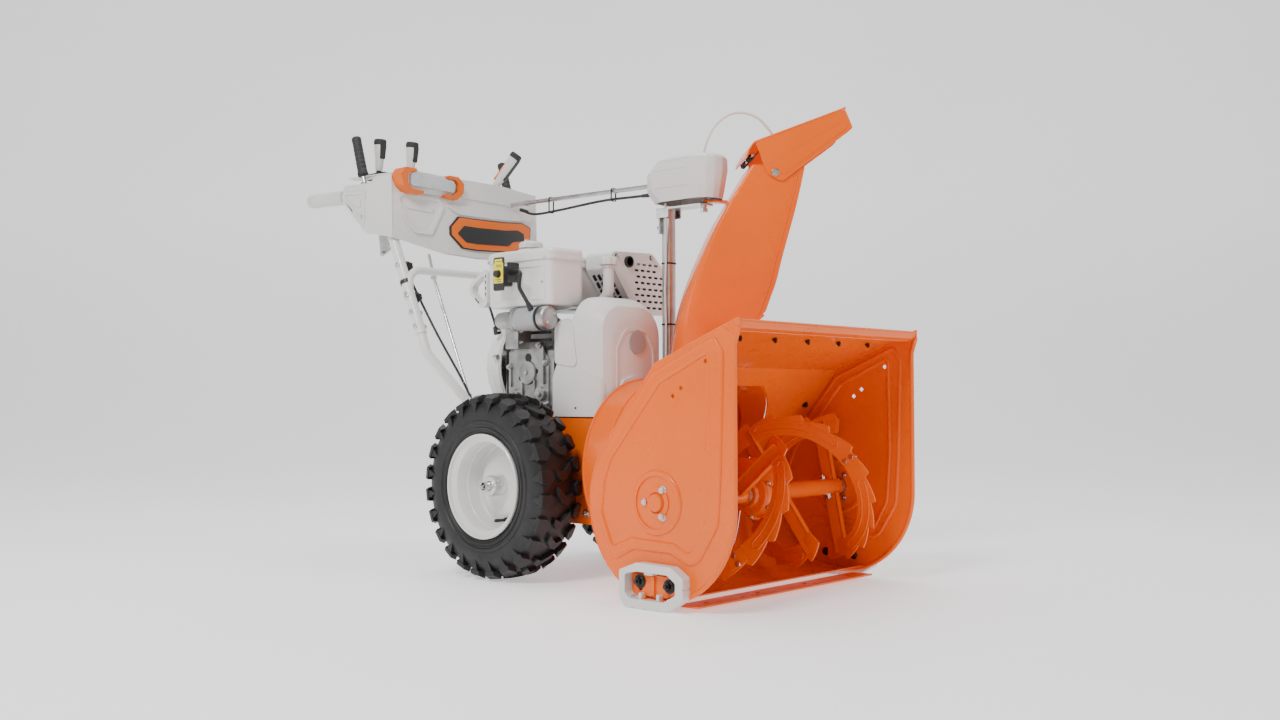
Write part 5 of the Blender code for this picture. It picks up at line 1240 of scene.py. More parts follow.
def chute_cable():
    """The black lead that runs under the control rod from the dash to the gear cover."""
    route = [(0.14, 1.055, 0.885), (0.138, 1.0, 0.868), (0.132, 0.9, 0.868), (0.118, 0.74, 0.872),
        (0.108, 0.62, 0.868), (0.105, 0.57, 0.866)]
    bm = new()
    pipe(bm, smooth_path(route, 8), 0.0032, 14)
    for a, b in ((0, 1), (-1, -2)):
        place = Vector(route[a])
        rod(bm, place, place + (Vector(route[b]) - place).normalized() * 0.028, 0.005, 0.0042, segments=20)
    piece("chute_cable.lead", bm, RUBBER, replaces=("chute_cable",), bevel=0.0003)
    bm = new()
    for y, x, low, high in ((0.7, 0.1162, 0.866, 0.899), (0.93, 0.13, 0.862, 0.904)):
        loop = rounded([(x - 0.0085, low, 0.005), (x + 0.0085, low, 0.005), (x + 0.0085, high, 0.006),
            (x - 0.0085, high, 0.006)])
        hole = rounded([(x - 0.007, low + 0.0015, 0.004), (x + 0.007, low + 0.0015, 0.004),
            (x + 0.007, high - 0.0015, 0.005), (x - 0.007, high - 0.0015, 0.005)])
        slab(bm, loop, "y", y - 0.002, y + 0.002, [hole])
    piece("chute_cable.ties", bm, BLACK_PLASTIC, bevel=0.0003)


# ---------------------------------------------------------------- tractor and wheels


AXLE_Y, WHEEL_R = 0.716, 0.203
TYRE_MID, TYRE_HALF = 0.225, 0.061
FRAME_X = 0.138


def tractor_frame():
    """A folded steel box between the wheels, with a flange and its bolts at the drum."""
    carry("tractor_frame", ORANGE, 0.001)
    bm = new()
    for side in (-1, 1):
        x = side * FRAME_X
        slab(bm, rounded(rectangle(0.6, 0.15, 0.84, 0.32, 0.01)), "x", *sorted((x, x + side * 0.0022)),
            [rounded(rectangle(0.612, 0.162, 0.828, 0.308, 0.01))])
        turned(bm, rectangle(0.01, 0, 0.034, 0.0032), (side, 0, 0), (x, AXLE_Y, WHEEL_R), 48)
        near, far = sorted((x, x + side * 0.018))
        block(bm, (near, 0.504, 0.13), (far, 0.5065, 0.345))
    piece("frame.pressings", bm, ORANGE, bevel=0.001, segments=3)
    bm = new()
    for side in (-1, 1):
        x = side * (FRAME_X + 0.003)
        for turn in (45, 165, 285):
            a = radians(turn)
            bolt(bm, (x, AXLE_Y + 0.025 * cos(a), WHEEL_R + 0.025 * sin(a)), (side, 0, 0), 0.01, 0.0045)
        for y, z in ((0.64, 0.335), (0.7, 0.335), (0.88, 0.14), (0.88, 0.335), (0.54, 0.145)):
            bolt(bm, (side * FRAME_X, y, z), (side, 0, 0), 0.011, 0.005, washer=0.017)
        for z in (0.16, 0.24, 0.318):
            bolt(bm, (side * (FRAME_X + 0.0095), 0.5065, z), (0, 1, 0), 0.011, 0.005, washer=0.016)
    piece("frame.bolts", bm, ZINC, bevel=0.0004)


def drive():
    """What the engine turns inside the frame, mostly hidden."""
    for node, finish in (("crankshaft", ZINC), ("drive_disc", CAST), ("hex_shaft", ZINC),
            ("friction_wheel", RUBBER), ("axle", ZINC)):
        carry(node, finish, 0.0005)
    carry("auger_belt", RUBBER, 0.0008)


def on_tyre(side, turn, x, radius):
    return (side * x, AXLE_Y + radius * cos(turn), WHEEL_R + radius * sin(turn))


def lug(bm, side, outline, base, crown, taper=0.82):
    """A raised tread block: an outline of (turn, reach) on the tyre, from base radius up to the crown's."""
    count = len(outline)
    turn0, x0 = sum(p[0] for p in outline) / count, sum(p[1] for p in outline) / count
    foot = [on_tyre(side, t, x, base(x)) for t, x in outline]
    top = [on_tyre(side, turn0 + (t - turn0) * taper, x0 + (x - x0) * taper, crown(x0 + (x - x0) * taper))
        for t, x in outline]
    made = new()
    low = [made.verts.new(p) for p in foot]
    high = [made.verts.new(p) for p in top]
    for i in range(count):
        j = (i + 1) % count
        made.faces.new((low[i], low[j], high[j], high[i]))
    made.faces.new(low)
    made.faces.new(high)
    bmesh.ops.recalc_face_normals(made, faces=made.faces)
    add(bm, made)


def tyre(side, word):
    """A snow tyre: ribbed sidewalls, long pointed shoulder lugs and staggered arrow blocks between them."""
    mid, half, drop = TYRE_MID, TYRE_HALF, 0.0115
    outer_wall = [(0.113, mid + half - 0.01), (0.117, mid + half - 0.0065), (0.121, mid + half - 0.0055),
        (0.123, mid + half - 0.003), (0.1275, mid + half - 0.0025), (0.129, mid + half - 0.0045),
        (0.133, mid + half - 0.0035), (0.135, mid + half - 0.0012), (0.142, mid + half - 0.001),
        (0.1435, mid + half - 0.0028), (0.156, mid + half - 0.0022), (0.166, mid + half - 0.004),
        (0.176, mid + half - 0.0075), (0.1835, mid + half - 0.0125), (0.188, mid + half - 0.021),
        (WHEEL_R - drop, mid + 0.03), (WHEEL_R - drop + 0.0008, mid)]
    inner_wall = [(r, 2 * mid - x) for r, x in outer_wall[:-1]][::-1]
    bead = [(0.1, mid - 0.046), (0.099, mid - 0.036), (0.12, mid - half + 0.013), (0.168, mid - half + 0.011),
        (0.1865, mid - 0.034), (0.1865, mid + 0.034), (0.168, mid + half - 0.011), (0.12, mid + half - 0.013),
        (0.099, mid + 0.034), (0.1, mid + 0.045)]
    bm = new()
    turned(bm, [*outer_wall, *inner_wall, *bead], (side, 0, 0), (0, AXLE_Y, WHEEL_R), 120)
    piece(f"tyre.casing.{word}", bm, TYRE, f"wheel_{word}", replaces=(f"tyre_{word}",), angle=28)

    def base(x):
        reach = abs(x - mid)
        if reach < 0.034:
            return WHEEL_R - drop - 0.002
        return WHEEL_R - drop - 0.002 - (reach - 0.034) * (0.9 if reach < 0.048 else 2.2) + (0.0154
            if reach >= 0.048 else 0)

    def crown(x):
        reach = abs(x - mid)
        return WHEEL_R - 0.0004 - max(0.0, reach - 0.01) * 0.06 - max(0.0, reach - 0.044) * 0.5

    bm = new()
    count = 24
    step = 2 * pi / count
    for i in range(count):
        for way in (-1, 1):
            t = step * (i + 0.5 * (way > 0))
            # a shoulder lug, wide at the tread's edge and pointed towards the middle
            shoulder = [(t - 0.34 * step, mid + way * 0.0595), (t + 0.24 * step, mid + way * 0.0595),
                (t + 0.34 * step, mid + way * 0.043), (t + 0.1 * step, mid + way * 0.03),
                (t - 0.16 * step, mid + way * 0.0285), (t - 0.36 * step, mid + way * 0.04)]
            lug(bm, side, shoulder, lambda x: WHEEL_R - 0.02, crown, 0.9)
            # its pointed tail down the sidewall
            wall = mid + way * (half - 0.0042)
            out = mid + way * (half - 0.0004)
            made = new()
            low = [(t - 0.3 * step, 0.1925), (t + 0.2 * step, 0.1925), (t + 0.14 * step, 0.176),
                (t - 0.03 * step, 0.158), (t - 0.2 * step, 0.176)]
            feet = [made.verts.new(on_tyre(side, a, wall - way * (0.012 if r > 0.18 else 0.006), r))
                for a, r in low]
            tops = [made.verts.new(on_tyre(side, t + (a - t) * 0.85,
                out - way * (0.003 if r > 0.18 else (0.001 if r > 0.17 else 0.0022)), r - 0.001))
                for a, r in low]
            for k in range(5):
                m = (k + 1) % 5
                made.faces.new((feet[k], feet[m], tops[m], tops[k]))
            made.faces.new(feet)
            made.faces.new(tops)
            bmesh.ops.recalc_face_normals(made, faces=made.faces)
            add(bm, made)
        # the middle: arrow blocks that alternate to each side
        t = step * (i + 0.25)
        way = 1 if i % 2 else -1
        arrow = [(t - 0.4 * step, mid - way * 0.0225), (t - 0.02 * step, mid - way * 0.0235),
            (t + 0.34 * step, mid - way * 0.006), (t + 0.44 * step, mid + way * 0.01),
            (t + 0.2 * step, mid + way * 0.0225), (t - 0.08 * step, mid + way * 0.022),
            (t + 0.05 * step, mid + way * 0.005), (t - 0.16 * step, mid - way * 0.008)]
        lug(bm, side, arrow, lambda x: WHEEL_R - 0.016, crown, 0.9)
    piece(f"tyre.lugs.{word}", bm, TYRE, f"wheel_{word}", bevel=0.0008, angle=25)


def wheel_rim(side, word):
    """A deep steel rim in two steps, with a flat dish, a hub, a click pin and a valve."""
    centre = (0, AXLE_Y, WHEEL_R)
    profile = [(0.0105, 0.158), (0.022, 0.158), (0.022, 0.22), (0.06, 0.2215), (0.082, 0.206),
        (0.0885, 0.198), (0.092, 0.172), (0.0985, 0.166), (0.112, 0.165), (0.1115, 0.168), (0.101, 0.17),
        (0.0972, 0.178), (0.0968, 0.25), (0.0985, 0.262), (0.103, 0.268), (0.1105, 0.273), (0.1135, 0.279),
        (0.114, 0.284), (0.1115, 0.2865), (0.109, 0.285), (0.1078, 0.279), (0.102, 0.2755), (0.0965, 0.272),
        (0.0948, 0.266), (0.0943, 0.244), (0.0925, 0.242), (0.092, 0.212), (0.0895, 0.208), (0.084, 0.209),
        (0.066, 0.2235), (0.06, 0.225), (0.033, 0.225), (0.03, 0.227), (0.02, 0.2275), (0.02, 0.262),
        (0.0105, 0.262)]
    bm = new()
    turned(bm, profile, (side, 0, 0), centre, 128)
    piece(f"rim.dish.{word}", bm, WHITE, f"wheel_{word}", replaces=(f"wheel_rim_{word}",), bevel=0.0005,
        angle=30)
    bm = new()
    hub = [(0.02, 0.2276), (0.0228, 0.2276), (0.0228, 0.258), (0.0205, 0.2625), (0.0105, 0.2625),
        (0.0105, 0.26), (0.02, 0.26)]
    turned(bm, hub, (side, 0, 0), centre, 64)
    x = sorted((side * 0.262, side * 0.272))
    rod(bm, (side * 0.2625, AXLE_Y, WHEEL_R), (side * 0.28, AXLE_Y, WHEEL_R), 0.0094, segments=40)
    piece(f"rim.hub.{word}", bm, BRIGHT, f"wheel_{word}", bevel=0.0008)
    bm = new()
    pin = Vector((side * 0.246, AXLE_Y, WHEEL_R))
    rod(bm, pin + Vector((0, -0.03, 0.004)), pin + Vector((0, 0.03, -0.004)), 0.003, segments=16)
    loop = []
    for k in range(13):
        a = radians(-80 + 160 * k / 12)
        loop.append(pin + Vector((side * (0.004 + 0.021 * cos(a)), 0.03 * sin(a), -0.004 * sin(a))))
    pipe(bm, loop, 0.0015, 10)
    block(bm, (x[0], AXLE_Y - 0.013, WHEEL_R - 0.004), (x[1], AXLE_Y + 0.013, WHEEL_R + 0.004))
    piece(f"rim.click_pin.{word}", bm, ZINC, f"wheel_{word}", bevel=0.0004)
    bm = new()
    turn = radians(262)
    foot = Vector(on_tyre(side, turn, 0.215, 0.076))
    rod(bm, foot, foot + Vector((side * 0.01, 0, 0)), 0.0058, 0.005, segments=20)
    rod(bm, foot + Vector((side * 0.009, 0, 0)), foot + Vector((side * 0.03, 0, 0)), 0.0036, segments=20)
    rod(bm, foot + Vector((side * 0.03, 0, 0)), foot + Vector((side * 0.038, 0, 0)), 0.0041, 0.0036,
        segments=20)
    piece(f"rim.valve.{word}", bm, RUBBER, f"wheel_{word}", slot="tyre", bevel=0.0004)


# ---------------------------------------------------------------- engine


CRANK_Z = 0.47
FILLER_ROUTE = ((-0.004, 0.68, 0.5), (-0.004, 0.672, 0.575), (-0.004, 0.602, 0.63), (-0.004, 0.602, 0.696))


def crankcase():
    """The cast block with its slanted finned cylinder, ribs, bosses and side cover."""
    base = cad_box("crankcase")[0].z
    bm = new()
    block_outline = [(-0.1175, base, 0), (-0.1175, 0.5, 0.02), (-0.085, 0.56, 0.03), (0.075, 0.56, 0.03),
        (0.105, 0.48, 0.03), (0.105, base, 0)]
    slab(bm, rounded(block_outline, 5), "y", 0.662, 0.822, [circle((0, CRANK_Z), 0.0155, 24)])
    lift = Matrix.Translation((0, 0, CRANK_Z)) @ Matrix.Rotation(radians(-20), 4, "Y")
    block(bm, (0.02, 0.68, -0.048), (0.176, 0.804, 0.048), lift)
    for i in range(9):
        x = 0.085 + 0.011 * i
        block(bm, (x, 0.672, -0.055), (x + 0.0035, 0.812, 0.055), lift)
    block(bm, (0.176, 0.69, -0.045), (0.185, 0.794, 0.045), lift)
    # the near side: a domed cover plate, feet and stiffening ribs
    cover = rounded([(0.676, 0.372, 0.012), (0.808, 0.372, 0.012), (0.808, 0.47, 0.02), (0.78, 0.52, 0.02),
        (0.7, 0.52, 0.02), (0.676, 0.48, 0.02)], 5)
    slab(bm, cover, "x", -0.1215, -0.116)
    slab(bm, rounded(rectangle(0.664, 0.3535, 0.82, 0.371, 0.004)), "x", -0.1215, -0.112)
    turned(bm, [(0.0, 0), (0.028, 0), (0.026, 0.006), (0.016, 0.0085), (0.0, 0.009)], (-1, 0, 0),
        (-0.1205, 0.742, 0.452), 40)
    turned(bm, [(0.0, 0), (0.016, 0), (0.015, 0.008), (0.0, 0.009)], (-1, 0, 0), (-0.1205, 0.7, 0.404), 32)
    turned(bm, [(0.0, 0), (0.013, 0), (0.012, 0.01), (0.0, 0.011)], (-1, 0, 0), (-0.1205, 0.783, 0.402), 32)
    for y, z, top in ((0.69, 0.425, 0.508), (0.719, 0.372, 0.436), (0.76, 0.372, 0.43), (0.799, 0.42, 0.474)):
        block(bm, (-0.1265, y - 0.0022, z), (-0.12, y + 0.0022, top))
    for y, z in ((0.683, 0.38), (0.801, 0.38), (0.802, 0.466), (0.776, 0.513), (0.704, 0.513),
            (0.683, 0.474)):
        rod(bm, (-0.115, y, z), (-0.126, y, z), 0.008, 0.007, segments=20)
    # the rear lobe beside the flywheel, and the governor boss
    slab(bm, rounded([(-0.1, 0.38, 0.02), (-0.06, 0.362, 0.01), (0.06, 0.362, 0.01), (0.092, 0.4, 0.02),
        (0.08, 0.54, 0.03), (-0.08, 0.545, 0.03)], 5), "y", 0.818, 0.8345)
    block(bm, (-0.06, 0.67, 0.556), (0.06, 0.815, 0.566))
    piece("engine.crankcase", bm, CAST, replaces=("crankcase",), bevel=0.0022, segments=3)
    bm = new()
    for y, z in ((0.683, 0.38), (0.801, 0.38), (0.802, 0.466), (0.776, 0.513), (0.704, 0.513),
            (0.683, 0.474)):
        bolt(bm, (-0.1258, y, z), (-1, 0, 0), 0.0085, 0.004, washer=0.0125)
    for y in (0.68, 0.8):
        bolt(bm, (-0.103, y, 0.3535), (0, 0, -1), 0.01, 0.001)
        bolt(bm, (-0.1215, y, 0.3625), (-1, 0, 0), 0.009, 0.004)
    hexagon(bm, (-0.1295, 0.7, 0.404), (-1, 0, 0), 0.012, 0.004)
    hexagon(bm, (-0.1312, 0.783, 0.402), (-1, 0, 0), 0.009, 0.005)
    hexagon(bm, (-0.1295, 0.742, 0.452), (-1, 0, 0), 0.01, 0.003)
    piece("engine.bolts", bm, ZINC, bevel=0.0004)
    # painted shade: thin black discs, plates and strips laid in the crankcase's holes, gaps and recesses to
    # darken them
    bm = new()
    for y, z, size in ((0.742, 0.486, 0.01), (0.716, 0.455, 0.006), (0.768, 0.44, 0.006)):
        turned(bm, rectangle(0.0, 0, size, 0.0015), (-1, 0, 0), (-0.1214, y, z), 28)
    block(bm, (-0.112, 0.6555, 0.38), (-0.03, 0.662, 0.48))
    block(bm, (-0.118, 0.812, 0.372), (-0.1, 0.82, 0.52))
    for z in (0.505, 0.522, 0.539):
        block(bm, (-0.1195, 0.672, z), (-0.116, 0.8, z + 0.0065))
    rod(bm, (-0.101, 0.668, 0.52), (-0.101, 0.648, 0.52), 0.012, 0.01, segments=28)
    rod(bm, (-0.1, 0.655, 0.455), (-0.1, 0.64, 0.455), 0.009, segments=28)
    piece("engine.painted_shade", bm, BLACK_STEEL, bevel=0.0008)
    bm = new()
    pipe(bm, bent_path(FILLER_ROUTE, 0.03, 8), 0.0125, 28)
    turned(bm, rectangle(0.0092, 0.69, 0.015, 0.6955), (0, 0, 1), (-0.004, 0.602, 0), 40)
    piece("engine.filler_tube", bm, WHITE_PLASTIC, bevel=0.0005)
    bm = new()
    x, y, top = FILLER_ROUTE[-1]
    hat = [(0.0, top + 0.0005), (0.0215, top + 0.0005), (0.0225, top + 0.004), (0.0225, top + 0.015),
        (0.0195, top + 0.019), (0.0, top + 0.02)]
    turned(bm, hat, (0, 0, 1), (x, y, 0), 8)
    for turn in range(12):
        a = radians(30 * turn)
        rod(bm, (x + 0.0208 * cos(a), y + 0.0208 * sin(a), top + 0.003),
            (x + 0.0208 * cos(a), y + 0.0208 * sin(a), top + 0.0155), 0.0018, segments=10)
    block(bm, (x - 0.0145, y - 0.0035, top + 0.0185), (x + 0.0145, y + 0.0035, top + 0.0215))
    piece("engine.dipstick_cap", bm, WHITE_PLASTIC, "dipstick", replaces=("dipstick",), bevel=0.0009)
    bm = new()
    slab(bm, rectangle(x - 0.0028, 0.648, x + 0.0028, top + 0.004), "y", y - 0.0008, y + 0.0008)
    piece("engine.dipstick_blade", bm, ZINC, "dipstick", bevel=0.0003)


TANK = ((-0.172, 0.618, 0.014), (-0.075, 0.612, 0.02), (-0.022, 0.712, 0.03), (0.1, 0.712, 0.02),
    (0.1, 0.826, 0.02), (-0.172, 0.826, 0.014))


def grown(points, by):
    """An outline pushed outwards by a little all round."""
    middle_a = (min(p[0] for p in points) + max(p[0] for p in points)) / 2
    middle_b = (min(p[1] for p in points) + max(p[1] for p in points)) / 2
    return [(a + (by if a > middle_a else -by), b + (by if b > middle_b else -by), *rest)
        for a, b, *rest in points]


def fuel_tank():
    """A deep painted tank in two halves, its lid's rim standing out all round."""
    bm = new()
    body = [tuple(v) for v in TANK]
    rows = []
    for height, shrink in ((0.5985, 0.006), (0.601, 0.002), (0.606, 0.0005), (0.64, 0.0), (0.7, 0.0)):
        rows.append([(a, b, height) for a, b in rounded(grown(body, -shrink), 6)])
    lofted(bm, rows, closed=True, caps=True)
    near = -0.172
    panel = rounded(rectangle(0.634, 0.612, 0.812, 0.69, 0.008), 5)
    inner = rounded(rectangle(0.64, 0.618, 0.806, 0.684, 0.006), 5)
    slab(bm, panel, "x", near - 0.0012, near + 0.002, [inner])
    piece("tank.body", bm, WHITE, replaces=("fuel_tank",), bevel=0.001, angle=30)
    bm = new()
    rows = []
    for height, shrink in ((0.7, -0.0005), (0.7005, -0.0038), (0.7075, -0.004), (0.7085, -0.002),
            (0.718, -0.0022), (0.7235, 0.001), (0.7262, 0.006), (0.7275, 0.013)):
        rows.append([(a, b, height) for a, b in rounded(grown(body, -shrink), 6)])
    lofted(bm, rows, closed=True, caps=True)
    turned(bm, [(0.0172, 0.724), (0.033, 0.724), (0.03, 0.731), (0.0225, 0.7325), (0.02, 0.735),
        (0.0172, 0.735)], (0, 0, 1), (-0.12, 0.735, 0), 64)
    rise = rounded(rectangle(-0.075, 0.735, 0.06, 0.81, 0.014), 5)
    slab(bm, rise, "z", 0.724, 0.73)
    turned(bm, [(0.0, 0.727), (0.022, 0.727), (0.018, 0.734), (0.01, 0.7375), (0.0, 0.7385)], (0, 0, 1),
        (-0.02, 0.768, 0), 48)
    piece("tank.lid", bm, WHITE, bevel=0.0008, angle=30)
    bm = new()
    for y in (0.632, 0.815):
        hexagon(bm, (near - 0.0035, y, 0.7042), (-1, 0, 0), 0.007, 0.003)
    for y in (0.642, 0.8):
        dome(bm, (near - 0.0005, y, 0.65), (-1, 0, 0), 0.004, 0.002)
    piece("tank.screws", bm, ZINC, bevel=0.0003)
    bm = new()
    seat = 0.7353
    turned(bm, [(0.0, seat), (0.0255, seat), (0.0265, seat + 0.002), (0.0265, seat + 0.01),
        (0.0235, seat + 0.0135), (0.017, seat + 0.015), (0.0, seat + 0.0157)], (0, 0, 1), (-0.12, 0.735, 0),
        64)
    for i in range(18):
        a = 2 * pi * i / 18
        place = Vector((-0.12 + 0.0262 * cos(a), 0.735 + 0.0262 * sin(a), seat + 0.0015))
        rod(bm, place, place + Vector((0, 0, 0.009)), 0.0014, segments=10)
    block(bm, (-0.138, 0.7315, seat + 0.013), (-0.102, 0.7385, seat + 0.0185))
    rod(bm, (-0.12, 0.735, 0.724), (-0.12, 0.735, seat + 0.004), 0.016, segments=40)
    piece("tank.cap", bm, WHITE_PLASTIC, "fuel_cap", replaces=("fuel_cap",), bevel=0.0008)


def recoil_housing():
    """The painted blower housing, domed behind, with its cooling slots and bolts."""
    carry("recoil_housing", WHITE, 0.0012)
    bm = new()
    turned(bm, [(0.1318, 0.83), (0.1345, 0.831), (0.1345, 0.835), (0.1318, 0.836)], (0, 1, 0),
        (0, 0, CRANK_Z), 96)
    turned(bm, [(0.07, 0.908), (0.078, 0.907), (0.076, 0.9105), (0.071, 0.9115)], (0, 1, 0), (0, 0, CRANK_Z),
        72)
    for i in range(14):
        a = radians(360 * i / 14 + 8)
        way = Matrix.Translation((0, 0, CRANK_Z)) @ Matrix.Rotation(-a, 4, "Y")
        block(bm, (0.028, 0.9085, -0.0022), (0.07, 0.9125, 0.0022), way)
    turned(bm, [(0.0, 0.9095), (0.026, 0.9095), (0.024, 0.9135), (0.0, 0.9145)], (0, 1, 0), (0, 0, CRANK_Z),
        48)
    crease(bm, (0, 0, FRAME_TOP_Z + 0.006), (0, 0, -1), clear_outer=True)
    piece("recoil.ribs", bm, WHITE, bevel=0.0006)
    bm = new()
    for turn in (35, 80, 128, 172, 8):
        a = radians(turn)
        rod(bm, (0.139 * cos(a), 0.829, CRANK_Z + 0.139 * sin(a)),
            (0.139 * cos(a), 0.838, CRANK_Z + 0.139 * sin(a)), 0.0062, segments=20)
        hexagon(bm, (0.139 * cos(a), 0.838, CRANK_Z + 0.139 * sin(a)), (0, 1, 0), 0.0085, 0.004)
    piece("recoil.bolts", bm, ZINC, bevel=0.0004)


FRAME_TOP_Z = 0.35


def recoil_handle():
    x = -0.15
    outer = [(0.842, 0.7, 0.01), (0.842, 0.61, 0.01), (0.862, 0.602, 0.012), (0.905, 0.64, 0.014),
        (0.905, 0.66, 0.014)]
    inner = [(0.852, 0.682, 0.006), (0.852, 0.62, 0.006), (0.862, 0.613, 0.006), (0.894, 0.642, 0.008),
        (0.894, 0.656, 0.008)]
    bm = new()
    slab(bm, rounded(outer, 6), "x", x - 0.009, x + 0.009, [rounded(inner, 6)])
    piece("recoil_handle.loop", bm, WHITE_PLASTIC, "recoil_handle", replaces=("recoil_handle",), bevel=0.0032,
        segments=4)
    bm = new()
    for way in (-1, 1):
        for z in (0.634, 0.648, 0.662, 0.676):
            rod(bm, (x + way * 0.008, 0.847, z - 0.0038), (x + way * 0.0095, 0.847, z + 0.0038), 0.0016,
                segments=12)
        slots = rounded([(0.871, 0.6135, 0.0015), (0.886, 0.6265, 0.0015), (0.884, 0.629, 0.0015),
            (0.869, 0.616, 0.0015)], 3)
        slab(bm, slots, "x", *sorted((x + way * 0.0082, x + way * 0.0094)))
    piece("recoil_handle.grips", bm, BLACK_PLASTIC, "recoil_handle")
    bm = new()
    rod(bm, (x, 0.8435, 0.606), (x + 0.02, 0.844, 0.56), 0.003, segments=12)
    rod(bm, (x + 0.02, 0.844, 0.56), (x + 0.027, 0.846, 0.545), 0.0075, 0.0095, segments=24)
    piece("recoil.rope_guide", bm, BLACK_PLASTIC, bevel=0.0004)


def starter_motor():
    """The starter can: a drawn body, screwed end caps, a clamp ring and a plain label."""
    x, z = -0.168, 0.57
    bm = new()
    can = [(0.0, 0.6205), (0.018, 0.6205), (0.0205, 0.6225), (0.024, 0.6235), (0.0262, 0.6265),
        (0.0268, 0.63), (0.0268, 0.641), (0.0258, 0.642), (0.0258, 0.7235), (0.0268, 0.7245), (0.0268, 0.734),
        (0.0, 0.734)]
    turned(bm, can, (0, 1, 0), (x, 0, z), 72)
    nose = [(0.0, 0.733), (0.0225, 0.733), (0.0225, 0.74), (0.0205, 0.744), (0.0195, 0.78), (0.018, 0.7895),
        (0.0, 0.7895)]
    turned(bm, nose, (0, 1, 0), (x + 0.004, 0, z), 56)
    lug_low = cad_box("starter_motor")[0].z
    slab(bm, rounded([(-0.158, lug_low, 0.004), (-0.1184, lug_low, 0.002), (-0.1184, z - 0.004, 0.004),
        (-0.158, z - 0.004, 0.006)]), "y", 0.737, 0.779)
    for i in range(3):
        block(bm, (-0.156, 0.7365, lug_low + 0.01 + 0.015 * i), (-0.12, 0.7795, lug_low + 0.013 + 0.015 * i))
    piece("starter.can", bm, CAST, replaces=("starter_motor",), bevel=0.001)
    bm = new()
    turned(bm, [(0.0259, 0.65), (0.02625, 0.6505), (0.02625, 0.7145), (0.0259, 0.715)], (0, 1, 0), (x, 0, z),
        72)
    piece("starter.label", bm, LABEL)
    bm = new()
    for turn in (40, 220):
        a = radians(turn)
        place = Vector((x + 0.015 * cos(a), 0.6215, z + 0.015 * sin(a)))
        rod(bm, place, place + Vector((0, -0.0035, 0)), 0.0034, segments=16)
    hexagon(bm, (x - 0.012, 0.775, z - 0.021), (0, 0, -1), 0.008, 0.004)
    for zz in (0.52, 0.545):
        bolt(bm, (-0.15, 0.737, zz), (0, -1, 0), 0.0095, 0.0045)
    piece("starter.screws", bm, ZINC, bevel=0.0003)
    bm = new()
    turned(bm, [(0.0268, 0.6425), (0.0285, 0.643), (0.0285, 0.6485), (0.0268, 0.649)], (0, 1, 0), (x, 0, z),
        72)
    turned(bm, [(0.0225, 0.736), (0.0242, 0.7365), (0.0242, 0.741), (0.0225, 0.7415)], (0, 1, 0),
        (x + 0.004, 0, z), 56)
    rod(bm, (x - 0.018, 0.664, z + 0.0185), (x - 0.0225, 0.664, z + 0.0255), 0.0072, 0.006, segments=24)
    piece("starter.rings", bm, BLACK_PLASTIC, bevel=0.0005)


def switch_box():
    """A moulded switch box with a plain yellow label, a red button and its rubber lead."""
    low_x, face = -0.23, -0.1765
    y, z = 0.722, 0.668
    bm = new()
    corners = ((0.702, 0.628), (0.742, 0.628), (0.742, 0.708), (0.702, 0.708))
    slab(bm, rounded([(*place, 0.006) for place in corners], 5), "x", low_x + 0.002, face)
    slab(bm, rounded([(a + (0.003 if a < 0.72 else -0.003), b + (0.003 if b < 0.66 else -0.003), 0.005)
        for a, b in corners], 5), "x", low_x, low_x + 0.003)
    slab(bm, rounded(rectangle(0.736, 0.645, 0.766, 0.69, 0.004)), "x", -0.205, face)
    for edge in (0.655, 0.666, 0.677):
        block(bm, (-0.207, 0.7435, edge), (-0.18, 0.765, edge + 0.003))
    slab(bm, rounded(rectangle(-0.222, 0.65, -0.188, 0.694, 0.003), 3), "y", 0.7008, 0.703)
    box = piece("switch.box", bm, BLACK_PLASTIC, replaces=("switch_box",))
    well = new()
    rod(well, (low_x - 0.01, y, z), (low_x + 0.008, y, z), 0.0071, segments=40)
    cut(box, well)
    bevelled(box, 0.001)
    bm = new()
    label = [(0.7065, 0.6475, 0.002), (0.7375, 0.6475, 0.002), (0.7375, 0.692, 0.002), (0.734, 0.692, 0.002),
        (0.734, 0.701, 0.002), (0.71, 0.701, 0.002), (0.71, 0.692, 0.002), (0.7065, 0.692, 0.002)]
    slab(bm, rounded(label, 3), "x", low_x - 0.0007, low_x + 0.0005, [circle((y, z), 0.0085, 28)])
    piece("switch.label", bm, YELLOW, bevel=0.0002)
    bm = new()
    turned(bm, rectangle(0.0073, 0.0004, 0.0088, 0.0022), (-1, 0, 0), (low_x, y, z), 40)
    for zz in (0.6505, 0.6545, 0.6835, 0.687, 0.695):
        block(bm, (low_x - 0.0011, 0.711, zz), (low_x, 0.711 + 0.0045 * (3 + (zz > 0.68)), zz + 0.0013))
    piece("switch.bezel", bm, BLACK_PLASTIC, bevel=0.0002)
    bm = new()
    turned(bm, [(0.0, -0.0025), (0.0062, -0.0025), (0.0062, 0.0036), (0.005, 0.0048), (0.0, 0.005)],
        (-1, 0, 0), (low_x, y, z), 40)
    piece("switch.button", bm, RED, "start_button", replaces=("start_button",))
    route = [(-0.208, 0.7005, 0.672), (-0.209, 0.683, 0.674), (-0.213, 0.67, 0.667), (-0.212, 0.674, 0.651),
        (-0.204, 0.682, 0.637), (-0.199, 0.676, 0.622), (-0.1955, 0.667, 0.606), (-0.1868, 0.664, 0.5918)]
    bm = new()
    pipe(bm, smooth_path(route, 8), 0.0045, 18)
    for k in range(5):
        yy = 0.7012 - 0.003 * k
        rod(bm, (-0.208, yy, 0.6721), (-0.2081, yy - 0.0018, 0.6723), 0.0068 - 0.0003 * k, segments=24)
    rod(bm, route[-1], Vector(route[-1]) + (Vector(route[-2]) - Vector(route[-1])).normalized() * 0.013,
        0.007, 0.0052, segments=24)
    piece("switch.lead", bm, RUBBER, replaces=("switch_lead",), bevel=0.0003)


